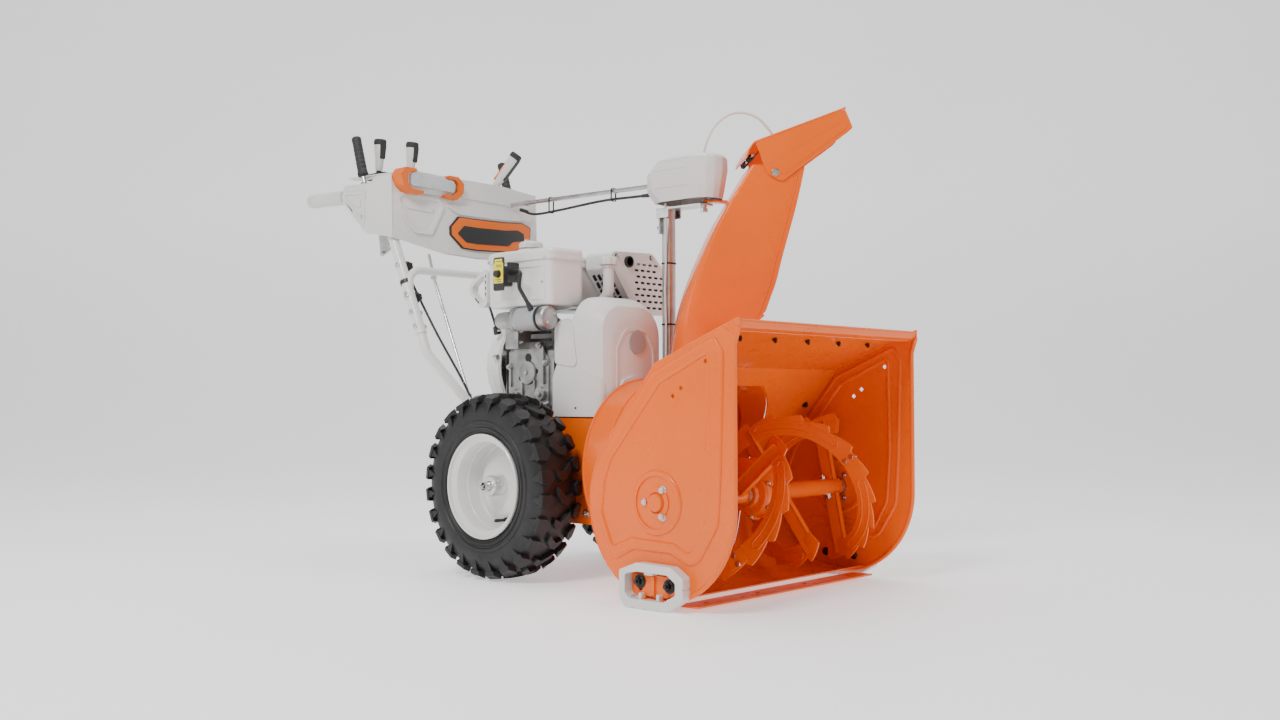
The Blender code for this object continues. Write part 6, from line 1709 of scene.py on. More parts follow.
GUARD = ((0.028, 0.733, 0.01), (0.165, 0.738, 0.03), (0.218, 0.69, 0.03), (0.218, 0.592, 0.01),
    (0.108, 0.592, 0.006), (0.028, 0.695, 0.01))


def muffler():
    """The perforated guard, its slots in rows, black blocks as painted shade for the slots on its sloped
    side, and the muffler inside it.
    """
    front, back, wall = 0.618, 0.705, 0.003
    centre = Vector((0.125, 0.665))
    inset = []
    for x, z, radius in GUARD:
        inward = (centre - Vector((x, z))).normalized() * wall * 1.4
        inset.append((x + inward.x, z + inward.y, max(0.003, radius - wall)))
    holes = [circle((0.08, 0.712), 0.014, 32)]
    for row in range(8):
        for column in range(5):
            x = 0.11 + 0.0205 * column + (0.006 if row % 2 else 0.0)
            z = 0.6075 + 0.0145 * row
            if x > 0.203 or (row > 5 and column > 3) or (row < 1 and column < 1):
                continue
            holes.append(rounded(rectangle(x - 0.0075, z - 0.0028, x + 0.0075, z + 0.0028, 0.0027), 3))
    bm = new()
    slab(bm, rounded(GUARD, 6), "y", front, front + wall, holes)
    slab(bm, rounded(GUARD, 6), "y", front + 0.001, back, [rounded(inset, 6)])
    piece("muffler.guard", bm, WHITE, replaces=("muffler_guard",), bevel=0.0006)
    # painted shade: black blocks set through the guard's sloped side where its slots are, standing in for the
    # shade inside them
    bm = new()
    slope = Vector((0.08, 0, -0.103)).normalized()
    for row in range(5):
        for column in range(4):
            place = Vector((0.034, 0.64 + 0.016 * column, 0.684)) + slope * (0.01 + 0.021 * row)
            turn = Matrix.Translation(place) @ slope.to_track_quat("X", "Z").to_matrix().to_4x4()
            block(bm, (-0.0075, -0.0026, -0.0035), (0.0075, 0.0026, 0.0035), turn)
    piece("muffler.side_slots_painted_shade", bm, BLACK_STEEL, bevel=0.001)
    bm = new()
    block(bm, (0.108, 0.632, 0.604), (0.206, 0.6995, 0.702))
    turned(bm, rectangle(0.0105, 0.612, 0.0132, 0.652), (0, 1, 0), (0.08, 0, 0.712), 32)
    pipe(bm, bent_path([(0.08, 0.65, 0.712), (0.08, 0.672, 0.712), (0.118, 0.672, 0.69)], 0.012), 0.011, 20)
    for y in (0.65, 0.668, 0.686):
        block(bm, (0.1065, y - 0.0015, 0.6025), (0.2075, y + 0.0015, 0.7035))
    piece("muffler.body", bm, DARK_STEEL, bevel=0.003, segments=3)
    bm = new()
    block(bm, (0.12, 0.7, 0.572), (0.2, 0.7035, 0.612))
    block(bm, (0.12, 0.66, 0.572), (0.2, 0.703, 0.5755))
    for x, z in ((0.04, 0.722), (0.16, 0.727), (0.207, 0.604), (0.12, 0.6)):
        rod(bm, (x, front + 0.0005, z), (x, front - 0.0008, z), 0.0062, segments=24)
    piece("muffler.bracket", bm, DARK_STEEL, bevel=0.0006)
    bm = new()
    for x, z in ((0.04, 0.722), (0.16, 0.727), (0.207, 0.604), (0.12, 0.6)):
        hexagon(bm, (x, front - 0.0006, z), (0, -1, 0), 0.008, 0.004)
    piece("muffler.screws", bm, ZINC, bevel=0.0003)


COVER_LEVELS = (
    # how far back, left, right, top, the radius of the shoulders, and how far the top steps forward
    (0.5060, -0.088, 0.052, 0.560, 0.050, 0.0),
    (0.5085, -0.098, 0.061, 0.577, 0.052, 0.0),
    (0.5160, -0.112, 0.072, 0.596, 0.055, 0.0),
    (0.5350, -0.1205, 0.0825, 0.6100, 0.058, 0.0),
    (0.5600, -0.128, 0.092, 0.618, 0.060, 0.0),
    (0.6500, -0.134, 0.100, 0.618, 0.060, 0.067),
)


def belt_cover():
    """The tall moulded hood over the belts, with stepped panels and a plain round emblem."""
    bottom = 0.3525
    rows = []
    for y, left, right, top, radius, step in COVER_LEVELS:
        over = arc((left + radius, top - radius), radius, pi, pi / 2, 6)
        down = arc((right - radius * 1.2, top - radius * 1.2), radius * 1.2, pi / 2, 0, 7)
        edge = ((left, bottom), (left, 0.4), (left, 0.44), *over, *down, (right, 0.44), (right, 0.4),
            (right, bottom))
        rows.append([(x, y - step * min(1.0, max(0.0, (z - 0.48) / 0.1)), z) for x, z in edge])
    made = new()
    grid = [[made.verts.new(p) for p in row] for row in rows]
    for row, after in zip(grid, grid[1:]):
        for i in range(len(row) - 1):
            made.faces.new((row[i], row[i + 1], after[i + 1], after[i]))
    made.faces.new(grid[0])
    bmesh.ops.recalc_face_normals(made, faces=made.faces)
    if sum(f.normal.y * f.calc_area() for f in made.faces) > 0:
        bmesh.ops.reverse_faces(made, faces=made.faces)
    piece("belt_cover.hood", made, WHITE_PLASTIC, replaces=("belt_cover",), solid=0.0025, bevel=0.001,
        angle=26)
    bm = new()
    face = 0.506
    panel = rounded([(-0.08, 0.38, 0.012), (0.044, 0.38, 0.012), (0.044, 0.5, 0.03), (0.018, 0.548, 0.02),
        (-0.052, 0.548, 0.03), (-0.08, 0.505, 0.03)], 6)
    inner = rounded([(-0.074, 0.386, 0.01), (0.038, 0.386, 0.01), (0.038, 0.498, 0.026), (0.015, 0.541, 0.02),
        (-0.049, 0.541, 0.028), (-0.074, 0.502, 0.026)], 6)
    slab(bm, panel, "y", face - 0.0016, face + 0.001, [inner])
    low = rounded([(-0.066, 0.362, 0.006), (0.03, 0.362, 0.006), (0.036, 0.418, 0.02), (-0.018, 0.446, 0.04),
        (-0.07, 0.432, 0.02)], 6)
    slab(bm, low, "y", face - 0.005, face + 0.001)
    made = new()
    for outline, out in ((((0.512, 0.3535, 0.0), (0.64, 0.3535, 0.0), (0.64, 0.444, 0.012),
            (0.556, 0.452, 0.02), (0.512, 0.43, 0.012)), 0.0075),
            (((0.575, 0.462, 0.01), (0.64, 0.47, 0.01), (0.64, 0.56, 0.02), (0.59, 0.575, 0.02)), 0.004)):
        slab(made, rounded(outline, 6), "x", -0.001, out)
    for y in (0.516, 0.525, 0.535, 0.548, 0.56, 0.6):
        crease(made, (0, y, 0), (0, 1, 0))
    for vert in made.verts:
        for (y0, x0, *_), (y1, x1, *_) in zip(COVER_LEVELS, COVER_LEVELS[1:]):
            if vert.co.y <= y1 or y1 > 0.64:
                vert.co.x = x0 + (x1 - x0) * (vert.co.y - y0) / (y1 - y0) - vert.co.x
                break
    weld(made)
    add(bm, made)
    piece("belt_cover.panels", bm, WHITE_PLASTIC, bevel=0.0022, segments=4, angle=40)
    bm = new()
    turned(bm, [(0.0, -0.002), (0.027, -0.002), (0.0262, 0.0014), (0.0, 0.0014)], (0, -1, 0),
        (-0.014, face - 0.0016, 0.518))
    piece("belt_cover.emblem", bm, LABEL, slot="white_plastic", bevel=0.0002)
    bm = new()
    for x, z in ((-0.078, 0.362), (0.042, 0.362)):
        rod(bm, (x, 0.5055, z), (x, 0.5035, z), 0.006, segments=24)
        hexagon(bm, (x, 0.5036, z), (0, -1, 0), 0.0085, 0.0035)
    bolt(bm, (-0.1285, 0.575, 0.372), (-1, 0, 0.05), 0.01, 0.0045, washer=0.015)
    piece("belt_cover.bolts", bm, DARK_STEEL, bevel=0.0004)


def bearing_and_belt():
    """The impeller's bearing flange behind the drum, and the drive belt behind the auger belt."""
    bm = new()
    y = 0.501
    slab(bm, rounded([(-0.04, 0.243, 0.012), (0.0, 0.283, 0.012), (0.04, 0.243, 0.012), (0.0, 0.203, 0.012)],
        5), "y", y, y + 0.003, [circle((0, IMPELLER_Z), 0.0118, 32)])
    turned(bm, [(0.0115, 0.501), (0.021, 0.501), (0.019, 0.512), (0.0115, 0.512)], (0, 1, 0),
        (0, 0, IMPELLER_Z), 48)
    piece("drum.bearing_flange", bm, ZINC, bevel=0.0006)
    y, upper, lower = 0.612, (CRANK_Z, 0.0275), (0.285, 0.0415)
    lean = asin((lower[1] - upper[1]) / (upper[0] - lower[0]))
    outlines = []
    for more in (0.0065, 0.0006):
        top = arc((0, upper[0]), upper[1] + more, lean, pi - lean, 24)
        low = arc((0, lower[0]), lower[1] + more, pi - lean, 2 * pi + lean, 40)
        outlines.append([*top, *low])
    bm = new()
    slab(bm, outlines[0], "y", y - 0.0038, y + 0.0038, [outlines[1]])
    piece("drive.belt", bm, RUBBER, bevel=0.0008)


# ---------------------------------------------------------------- handlebars


HANDLE_X, GRIP_X, GRIP_END = 0.22, 0.24, 1.437
HANDLE_JOINT = (1.0065, 0.545)


def handlebars():
    """Painted upper tubes with a welded brace, their lower tubes, and the bolts and knobs that join them."""
    bm = new()
    for side in (-1, 1):
        route = [(side * HANDLE_X, *HANDLE_JOINT), (side * HANDLE_X, 1.15, 0.852),
            (side * GRIP_X, 1.215, 0.895), (side * GRIP_X, GRIP_END - 0.004, 0.903)]
        pipe(bm, bent_path(route, 0.045, 10), 0.0127, 32)
    brace = [(-HANDLE_X, 1.052, 0.643), (-HANDLE_X + 0.006, 1.062, 0.703), (HANDLE_X - 0.006, 1.062, 0.703),
        (HANDLE_X, 1.052, 0.643)]
    pipe(bm, bent_path(brace, 0.035, 10), 0.0095, 28)
    for side in (-1, 1):
        turned(bm, [(0.012, 0.0), (0.0138, 0.001), (0.0138, 0.009), (0.012, 0.01)], (0, 0.4235, 0.9059),
            (side * HANDLE_X, *HANDLE_JOINT), 32)
    piece("handlebar.upper", bm, WHITE, replaces=("handlebar",))
    bm = new()
    slope = Vector((0, 1.15 - 1.0065, 0.852 - 0.545)).normalized()
    top = Vector((-HANDLE_X, *HANDLE_JOINT)) + slope * 0.075
    foot = -FRAME_X - 0.0111 - 0.0004
    route = [(foot, 0.792, 0.215), (foot, 0.868, 0.345), (-HANDLE_X, 0.985, 0.499), tuple(top)]
    pipe(bm, bent_path(route, 0.05, 10), 0.0111, 32)
    both_sides(bm)
    piece("handlebar.lower", bm, WHITE, replaces=("lower_handle_right", "lower_handle_left"))
    bm = new()
    for reach in (0.02, 0.058, 0.1, 0.185):
        place = Vector((-HANDLE_X, *HANDLE_JOINT)) + slope * reach
        dome(bm, place - Vector((0.0122, 0, 0)), (-1, 0, 0), 0.008, 0.004)
        hexagon(bm, place + Vector((0.0122, 0, 0)), (1, 0, 0), 0.0115, 0.006)
        if reach > 0.09:
            rod(bm, place + Vector((0.026, 0, 0)), place + Vector((0.034, 0, 0)), 0.0035, segments=16)
    for y, z in ((0.8, 0.229), (0.845, 0.306)):
        dome(bm, (foot - 0.0108, y, z), (-1, 0, 0), 0.008, 0.004)
    dome(bm, (-HANDLE_X - 0.0124, 1.052, 0.6425), (-1, 0, 0), 0.007, 0.0036)
    both_sides(bm)
    piece("handlebar.bolts", bm, ZINC, bevel=0.0004)
    bm = new()
    for reach in (0.1, 0.185):
        place = Vector((-HANDLE_X, *HANDLE_JOINT)) + slope * reach + Vector((0.012, 0, 0))
        for turn in range(5):
            a = 2 * pi * turn / 5
            tip = place + Vector((0.01, 0.009 * cos(a), 0.009 * sin(a)))
            rod(bm, tip - Vector((0.006, 0, 0)), tip + Vector((0.003, 0, 0)), 0.0052, 0.0045, segments=16)
        rod(bm, place, place + Vector((0.016, 0, 0)), 0.0105, 0.0085, segments=24)
    side_clip = Vector((-HANDLE_X, *HANDLE_JOINT)) + slope * 0.14
    turned(bm, rectangle(0.0126, -0.005, 0.0148, 0.005), slope, side_clip, 32)
    piece("handlebar.knobs", bm, BLACK_PLASTIC, bevel=0.0006)


def grips():
    """Ribbed soft grips with a collar in front."""
    start, end = Vector((-GRIP_X, 1.285, 0.89756)), Vector((-GRIP_X, GRIP_END - 0.0007, 0.90305))
    along = (end - start).normalized()
    long = (end - start).length
    profile = [(0.0129, 0.0), (0.0185, 0.0), (0.019, 0.0015), (0.019, 0.006), (0.0178, 0.008)]
    for ring in range(11):
        z = 0.014 + 0.0108 * ring
        profile += [(0.0163, z), (0.0176, z + 0.0022), (0.0176, z + 0.0062), (0.0163, z + 0.0084)]
    profile += [(0.0172, long - 0.008), (0.0174, long - 0.003), (0.0155, long), (0.0, long),
        (0.0, long - 0.0025), (0.0129, long - 0.0025)]
    for side, word in ((-1, "right"), (1, "left")):
        bm = new()
        turned(bm, profile, along, start, 48)
        piece(f"grip.sleeve.{word}", flipped(bm, side), GRIP_PLASTIC, replaces=(f"grip_{word}",),
            bevel=0.0004)


# ---------------------------------------------------------------- dash


DASH_SECTIONS = ((0.0, (1.065, 0.745), (1.08, 0.945), (1.29, 0.962), 0.8),
    (0.1, (1.07, 0.75), (1.085, 0.945), (1.29, 0.96), 0.8), (0.236, (1.098, 0.782), (1.105, 0.938),
    (1.282, 0.944), 0.862), (0.266, (1.165, 0.795), (1.16, 0.905), (1.262, 0.91), 0.88))
LEVER_PIVOT = (1.205, 0.918)
DEFLECTOR_LEVER = (-0.19, 1.222, 0.925)
SPEED_LEVER = (-0.095, 1.222, 0.93)
CHUTE_LEVER = (0.15, 1.205, 0.93)


def dash_point(x, share, out=0.0):
    """A place on the dash's front face: share is 0 at its lower edge and 1 at its upper one."""
    for (x0, low0, front0, *_), (x1, low1, front1, *_) in zip(DASH_SECTIONS, DASH_SECTIONS[1:]):
        if abs(x) <= x1 + 1e-9:
            t = (abs(x) - x0) / (x1 - x0)
            low = Vector(low0).lerp(Vector(low1), t)
            front = Vector(front0).lerp(Vector(front1), t)
            break
    spot = low.lerp(front, share)
    return Vector((x, spot.x - out, spot.y))


def dash_block(inset, open_by):
    """The dash as a solid, or its hollow when inset."""
    rows = []
    for side in (-1, 1):
        ordered = DASH_SECTIONS[::-1] if side < 0 else DASH_SECTIONS[1:]
        for x, low, front, back, tail in ordered:
            reach = side * (x - inset if x == DASH_SECTIONS[-1][0] else x)
            rows.append([(reach, low[0] + inset, low[1] - open_by),
                (reach, front[0] + inset, front[1] - inset), (reach, back[0] + open_by, back[1] - inset),
                (reach, back[0] + open_by, tail - open_by)])
    made = new()
    lofted(made, rows, closed=True, caps=True)
    bmesh.ops.triangulate(made, faces=made.faces)
    weld(made)
    return made


def on_dash(bm, outline, low, high, holes=()):
    """A flat panel on the dash's front: an outline of (x, share), solid between two distances out from it."""
    made = new()
    slab(made, [(x, share * TALL) for x, share in outline], "z", low, high,
        [[(x, share * TALL) for x, share in h] for h in holes])
    for x in (-0.236, -0.1, 0.0, 0.1, 0.236):
        crease(made, (x, 0, 0), (1, 0, 0))
    for vert in made.verts:
        vert.co = dash_point(vert.co.x, vert.co.y / TALL, vert.co.z)
    weld(made)
    add(bm, made)


TALL = 0.196


def share_outline(points):
    """Rounds an outline of (x, share, radius in metres) on the dash's front."""
    return [(a, b / TALL) for a, b in rounded([(x, s * TALL, r) for x, s, r in points], 4)]


def dash_shell():
    """The wide moulded console, open behind and below, with slots for its levers."""
    shell = piece("dash.shell", dash_block(0.0, 0.0), WHITE_PLASTIC, replaces=("dash_panel",), angle=20)
    cut(shell, dash_block(0.003, 0.02))
    for x, y, half_x, half_y in ((-0.24, LEVER_PIVOT[0] + 0.03, 0.0137, 0.07),
            (0.24, LEVER_PIVOT[0] + 0.03, 0.0137, 0.07), (DEFLECTOR_LEVER[0], DEFLECTOR_LEVER[1], 0.008,
            0.034), (SPEED_LEVER[0], SPEED_LEVER[1], 0.008, 0.034),
            (CHUTE_LEVER[0], CHUTE_LEVER[1] - 0.01, 0.046, 0.024)):
        hole = new()
        slab(hole, rounded(rectangle(x - half_x, y - half_y, x + half_x, y + half_y, 0.006)), "z", 0.85, 1.0)
        cut(shell, hole)
    hole = new()
    rod(hole, (0.1345, 1.06, 0.902), (0.1345, 1.12, 0.902), 0.01)
    cut(shell, hole)
    bevelled(shell, 0.003, 4, 20)


def dash_front():
    """What stands on the dash's front: the lamp with its bezels, a pocket, a plain badge plate and steps."""
    bm = new()
    corners = ((-0.205, 0.94), (-0.072, 0.934), (-0.072, 0.905), (-0.205, 0.907))
    lens = rounded([(*place, 0.01) for place in corners], 6)
    slab(bm, lens, "y", 1.064, 1.07)
    piece("headlight.lens", bm, LENS, replaces=("headlight",), bevel=0.002, segments=3)
    bm = new()
    slab(bm, [((x + 0.1385) * 0.985 - 0.1385, (z - 0.9215) * 0.95 + 0.9215) for x, z in lens], "y", 1.0702,
        1.0745)
    for i in range(6):
        x = -0.189 + 0.02 * i
        turned(bm, [(0.0, 0.0), (0.0075, 0.0), (0.006, 0.0022), (0.0, 0.0008)], (0, -1, 0), (x, 1.0705, 0.92),
            24)
    piece("headlight.reflector", bm, BRIGHT, slot="lens", bevel=0.0006)
    bm = new()
    c_right = [(-0.19, 0.951), (-0.222, 0.951), (-0.236, 0.932), (-0.228, 0.908), (-0.206, 0.89),
        (-0.172, 0.89), (-0.16, 0.8985), (-0.2, 0.8995), (-0.214, 0.912), (-0.215, 0.931), (-0.204, 0.9425),
        (-0.184, 0.942)]
    c_left = [(-0.098, 0.946), (-0.062, 0.9455), (-0.044, 0.93), (-0.046, 0.906), (-0.066, 0.888),
        (-0.1, 0.89), (-0.108, 0.8985), (-0.076, 0.8985), (-0.0615, 0.91), (-0.0605, 0.926), (-0.07, 0.9365),
        (-0.092, 0.9375)]
    slab(bm, rounded([(*p, 0.003) for p in c_right], 3), "y", 1.0665, 1.108)
    slab(bm, rounded([(*p, 0.003) for p in c_left], 3), "y", 1.0625, 1.085)
    piece("headlight.bezels", bm, ORANGE_PLASTIC, bevel=0.0016, segments=3)
    bm = new()
    housing = rounded([(-0.214, 0.9475, 0.012), (-0.06, 0.9425, 0.012), (-0.06, 0.894, 0.012),
        (-0.212, 0.896, 0.012)], 5)
    slab(bm, housing, "y", 1.0745, 1.105)
    # the pocket below the lamp, with a frame round it and a shallow recess
    frame_out = share_outline([(-0.222, 0.72, 0.008), (-0.112, 0.7, 0.01), (-0.098, 0.6, 0.008),
        (-0.135, 0.2, 0.01), (-0.18, 0.16, 0.012), (-0.206, 0.3, 0.015), (-0.228, 0.6, 0.01)])
    frame_in = share_outline([(-0.214, 0.68, 0.006), (-0.116, 0.665, 0.008), (-0.107, 0.59, 0.006),
        (-0.14, 0.24, 0.008), (-0.178, 0.205, 0.01), (-0.199, 0.32, 0.012), (-0.219, 0.59, 0.008)])
    on_dash(bm, frame_out, -0.001, 0.0055, [frame_in])
    on_dash(bm, frame_in, -0.0035, 0.0008)
    on_dash(bm, share_outline([(-0.206, 0.62, 0.006), (-0.125, 0.61, 0.006), (-0.131, 0.5, 0.006),
        (-0.2, 0.5, 0.006)]), -0.001, 0.004)
    # a raised brow above the badge, and the stepped lower edge
    on_dash(bm, share_outline([(-0.085, 0.66, 0.01), (0.215, 0.66, 0.01), (0.224, 0.56, 0.012),
        (0.19, 0.54, 0.01), (-0.05, 0.54, 0.01), (-0.085, 0.6, 0.012)]), -0.001, 0.005)
    on_dash(bm, share_outline([(-0.04, 0.86, 0.008), (0.225, 0.83, 0.008), (0.225, 0.74, 0.008),
        (-0.04, 0.76, 0.008)]), -0.001, 0.0028)
    on_dash(bm, share_outline([(-0.098, 0.075, 0.006), (0.206, 0.075, 0.006), (0.212, 0.015, 0.006),
        (-0.098, 0.015, 0.006)]), -0.001, 0.007)
    piece("dash.mouldings", bm, WHITE_PLASTIC, bevel=0.0018, segments=3, angle=28)
    bm = new()
    badge = share_outline([(-0.078, 0.36, 0.004), (-0.052, 0.5, 0.006), (0.17, 0.5, 0.006),
        (0.205, 0.43, 0.004), (0.2, 0.24, 0.004), (0.168, 0.12, 0.006), (-0.044, 0.12, 0.006),
        (-0.078, 0.26, 0.004)])
    on_dash(bm, badge, 0.0002, 0.006)
    piece("dash.badge_plate", bm, ORANGE_PLASTIC, bevel=0.0012, segments=3)
    bm = new()
    band = share_outline([(-0.04, 0.4, 0.003), (0.15, 0.4, 0.003), (0.176, 0.345, 0.003),
        (0.176, 0.235, 0.003), (0.128, 0.235, 0.003), (0.112, 0.19, 0.003), (-0.036, 0.19, 0.003),
        (-0.062, 0.29, 0.003)])
    on_dash(bm, band, 0.0058, 0.007)
    rim = [(x * 1.035 - 0.002, 0.31 + (s - 0.31) * 1.07) for x, s in badge]
    on_dash(bm, rim, -0.0005, 0.0035)
    piece("dash.badge_band", bm, BLACK_PLASTIC, bevel=0.0005)


def dash_ends():
    """The wedge ends: a ridge, a raised rectangle and the seam; the small linkage plates below them."""
    bm = new()
    x0 = -0.266
    wedge = [(1.17, 0.806, 0.006), (1.167, 0.898, 0.006), (1.254, 0.903, 0.004), (1.254, 0.884, 0.004)]
    inner = [(1.177, 0.822, 0.005), (1.174, 0.891, 0.005), (1.246, 0.896, 0.003), (1.246, 0.887, 0.003)]
    slab(bm, rounded(wedge, 5), "x", x0 - 0.0022, x0 + 0.001, [rounded(inner, 5)])
    slab(bm, rounded([(1.186, 0.88, 0.003), (1.218, 0.884, 0.003), (1.218, 0.872, 0.003),
        (1.186, 0.858, 0.003)], 4), "x", x0 - 0.003, x0 + 0.001)
    pipe(bm, [(-0.237, 1.1045, 0.9375), (-0.237, 1.099, 0.79)], 0.0018, 10)
    pipe(bm, [(-0.237, 1.106, 0.939), (-0.237, 1.28, 0.9445)], 0.0016, 10)
    both_sides(bm)
    piece("dash.end_ridges", bm, WHITE_PLASTIC, bevel=0.001, segments=3)
    bm = new()
    rod(bm, (x0 - 0.0002, 1.18, 0.838), (x0 - 0.0024, 1.18, 0.838), 0.004, segments=20)
    for y, z in ((1.15, 0.77), (1.176, 0.752)):
        bolt(bm, (-0.2065, y, z), (-1, 0, 0), 0.009, 0.004, washer=0.014)
    slab(bm, rounded([(1.135, 0.8, 0.004), (1.195, 0.8, 0.004), (1.186, 0.742, 0.006), (1.142, 0.76, 0.006)],
        4), "x", -0.2065, -0.204)
    both_sides(bm)
    piece("dash.end_plates", bm, ZINC, bevel=0.0004)
    bm = new()
    x, y = CHUTE_LEVER[0], CHUTE_LEVER[1] - 0.01
    top = 0.9545
    outline = rounded(rectangle(x - 0.058, y - 0.038, x + 0.058, y + 0.038, 0.01), 5)
    hole = rounded(rectangle(x - 0.05, y - 0.03, x + 0.05, y + 0.03, 0.006), 5)
    slab(bm, outline, "z", top - 0.012, top, [hole])
    for lx, ly, _ in (DEFLECTOR_LEVER, SPEED_LEVER):
        outline = rounded(rectangle(lx - 0.017, ly - 0.044, lx + 0.017, ly + 0.044, 0.01), 5)
        hole = rounded(rectangle(lx - 0.008, ly - 0.034, lx + 0.008, ly + 0.034, 0.005), 5)
        lift = 0.9535 + 0.0015 * (lx > -0.15)
        slab(bm, outline, "z", lift - 0.01, lift + 0.0015, [hole])
    piece("dash.lever_gates", bm, BLACK_PLASTIC, bevel=0.0014, segments=3)


def hand_lever(side, word, node):
    """A clutch lever: a bright stub and a black grip with ribs."""
    x = side * 0.24
    y, z = LEVER_PIVOT
    lean = Vector((0, 0.3, 0.954)).normalized()
    base = Vector((x, y, z))
    bm = new()
    rod(bm, base, base + lean * 0.042, 0.0055, segments=28)
    rod(bm, (x - 0.009, y, z), (x + 0.009, y, z), 0.0088, segments=32)
    piece(f"{word}_clutch.stub", bm, ZINC, node, bevel=0.0006)
    bm = new()
    profile = [(0.0, 0.0262), (0.0105, 0.0262), (0.0132, 0.028), (0.0136, 0.033), (0.0124, 0.0365)]
    for ring in range(7):
        h = 0.043 + 0.0115 * ring
        profile += [(0.0121 - 0.0001 * ring, h), (0.0113, h + 0.0012), (0.0113, h + 0.0028),
            (0.0121 - 0.0001 * ring, h + 0.004)]
    profile += [(0.0122, 0.124), (0.011, 0.1295), (0.007, 0.132), (0.0, 0.1325)]
    turned(bm, profile, lean, base, 40)
    piece(f"{word}_clutch.grip", bm, SOFT_BLACK, node, replaces=(node,), bevel=0.0004)


def joystick(node, base, lean, length, stripe=False):
    """A control lever: a bright stem in a black cup, a pale moulded body and a black head."""
    base, along = Vector(base), Vector(lean).normalized()
    bm = new()
    rod(bm, base, base + along * 0.05, 0.004, segments=24)
    rod(bm, base - Vector((0.006, 0, 0)), base + Vector((0.006, 0, 0)), 0.0068, segments=28)
    piece(f"{node}.stem", bm, ZINC, node, bevel=0.0004)
    turn = Matrix.Translation(base) @ pointing(along)
    bm = new()
    rows = []
    def section(h, a, b, shift=0.0):
        turns = [2 * pi * k / 36 for k in range(36)]
        return [turn @ Vector((a * copysign(abs(cos(t)) ** 0.7, cos(t)),
            shift + b * copysign(abs(sin(t)) ** 0.7, sin(t)), h)) for t in turns]

    shape = ((0.038, 0.007, 0.008, 0.0), (0.046, 0.0082, 0.0092, 0.0), (0.066, 0.0092, 0.0108, 0.0),
        (length - 0.04, 0.011, 0.013, 0.0005), (length - 0.022, 0.0118, 0.0142, 0.0015),
        (length - 0.014, 0.0118, 0.0144, 0.002))
    for values in shape:
        rows.append(section(*values))
    lofted(bm, rows, closed=True, caps=True)
    piece(f"{node}.body", bm, WHITE_PLASTIC, node, replaces=(node,), bevel=0.001)
    bm = new()
    rows = []
    for values in ((length - 0.015, 0.0124, 0.015, 0.002), (length - 0.009, 0.0134, 0.016, 0.0022),
            (length - 0.003, 0.0126, 0.0152, 0.0022), (length - 0.0005, 0.01, 0.0125, 0.0022),
            (length, 0.0054, 0.0072, 0.0022)):
        rows.append(section(*values))
    lofted(bm, rows, closed=True, caps=True)
    rear = [(-0.007, 0.068, 0.003), (0.007, 0.068, 0.003), (0.0085, length - 0.012, 0.003),
        (-0.0085, length - 0.012, 0.003)]
    slab(bm, rounded(rear, 3), "y", -0.0138, -0.007, matrix=turn)
    turned(bm, [(0.0042, 0.031), (0.0066, 0.0315), (0.0066, 0.04), (0.0042, 0.041)], along, base, 32)
    piece(f"{node}.head", bm, SOFT_BLACK, node, bevel=0.0008)
    if stripe:
        bm = new()
        slab(bm, rounded([(-0.0035, 0.056, 0.002), (0.0035, 0.056, 0.002), (0.0045, length - 0.026, 0.002),
            (-0.0045, length - 0.026, 0.002)], 3), "y", 0.01, 0.015, matrix=turn)
        piece(f"{node}.stripe", bm, ORANGE_PLASTIC, node, bevel=0.0006)


def controls():
    """The two hand levers and the dash's three sticks."""
    hand_lever(-1, "right", "auger_lever")
    hand_lever(1, "left", "drive_lever")
    joystick("deflector_lever", DEFLECTOR_LEVER, (0, -0.1, 1), 0.118)
    joystick("speed_lever", SPEED_LEVER, (0.03, -0.12, 1), 0.12)
    joystick("chute_lever", CHUTE_LEVER, (0.42, -0.62, 1), 0.148, stripe=True)


def cables():
    """The clutch cable, the drive cable with its spring, and the shift rod."""
    bm = new()
    route = [(-0.192, 1.14, 0.772), (-0.186, 1.105, 0.7), (-0.17, 1.02, 0.56), (-0.14, 0.955, 0.44),
        (-0.126, 0.922, 0.37), (-0.12, 0.915, 0.33)]
    pipe(bm, smooth_path(route, 8), 0.003, 14)
    way = (Vector(route[1]) - Vector(route[0])).normalized()
    for k in range(4):
        rod(bm, Vector(route[0]) + way * (0.004 + 0.006 * k), Vector(route[0]) + way * (0.008 + 0.006 * k),
            0.0058 - 0.0005 * k, segments=20)
    rod(bm, route[-1], Vector(route[-1]) + Vector((-0.001, 0.001, 0.026)), 0.0052, 0.0044, segments=20)
    piece("clutch_cable.sheath", bm, RUBBER, replaces=("clutch_cable",), bevel=0.0003)
    bm = new()
    drive = [(0.186, 1.13, 0.78), (0.176, 1.08, 0.68), (0.16, 1.01, 0.56), (0.146, 0.975, 0.5)]
    pipe(bm, smooth_path(drive, 8), 0.0016, 10)
    coil, turns, steps = [], 15, 12
    start, end = Vector(drive[-1]), Vector((0.134, 0.925, 0.41))
    turn = (end - start).to_track_quat("Z", "Y").to_matrix()
    for k in range(turns * steps + 1):
        a = 2 * pi * k / steps
        coil.append(start + (end - start) * (k / (turns * steps))
            + turn @ Vector((0.0052 * cos(a), 0.0052 * sin(a), 0)))
    pipe(bm, coil, 0.001, 8)
    pipe(bm, smooth_path([tuple(end), (0.13, 0.912, 0.375), (0.126, 0.902, 0.335)], 6), 0.0022, 10)
    shift = [(-0.07, 1.17, 0.76), (-0.07, 1.15, 0.7), (-0.088, 0.99, 0.4), (-0.088, 0.93, 0.3)]
    pipe(bm, bent_path(shift, 0.025, 6), 0.004, 16)
    for place in (shift[1], shift[2]):
        rod(bm, Vector(place) - Vector((0.005, 0, 0)), Vector(place) + Vector((0.005, 0, 0)), 0.006,
            segments=20)
    piece("linkage.rods", bm, ZINC)


# ---------------------------------------------------------------- floor, light and camera


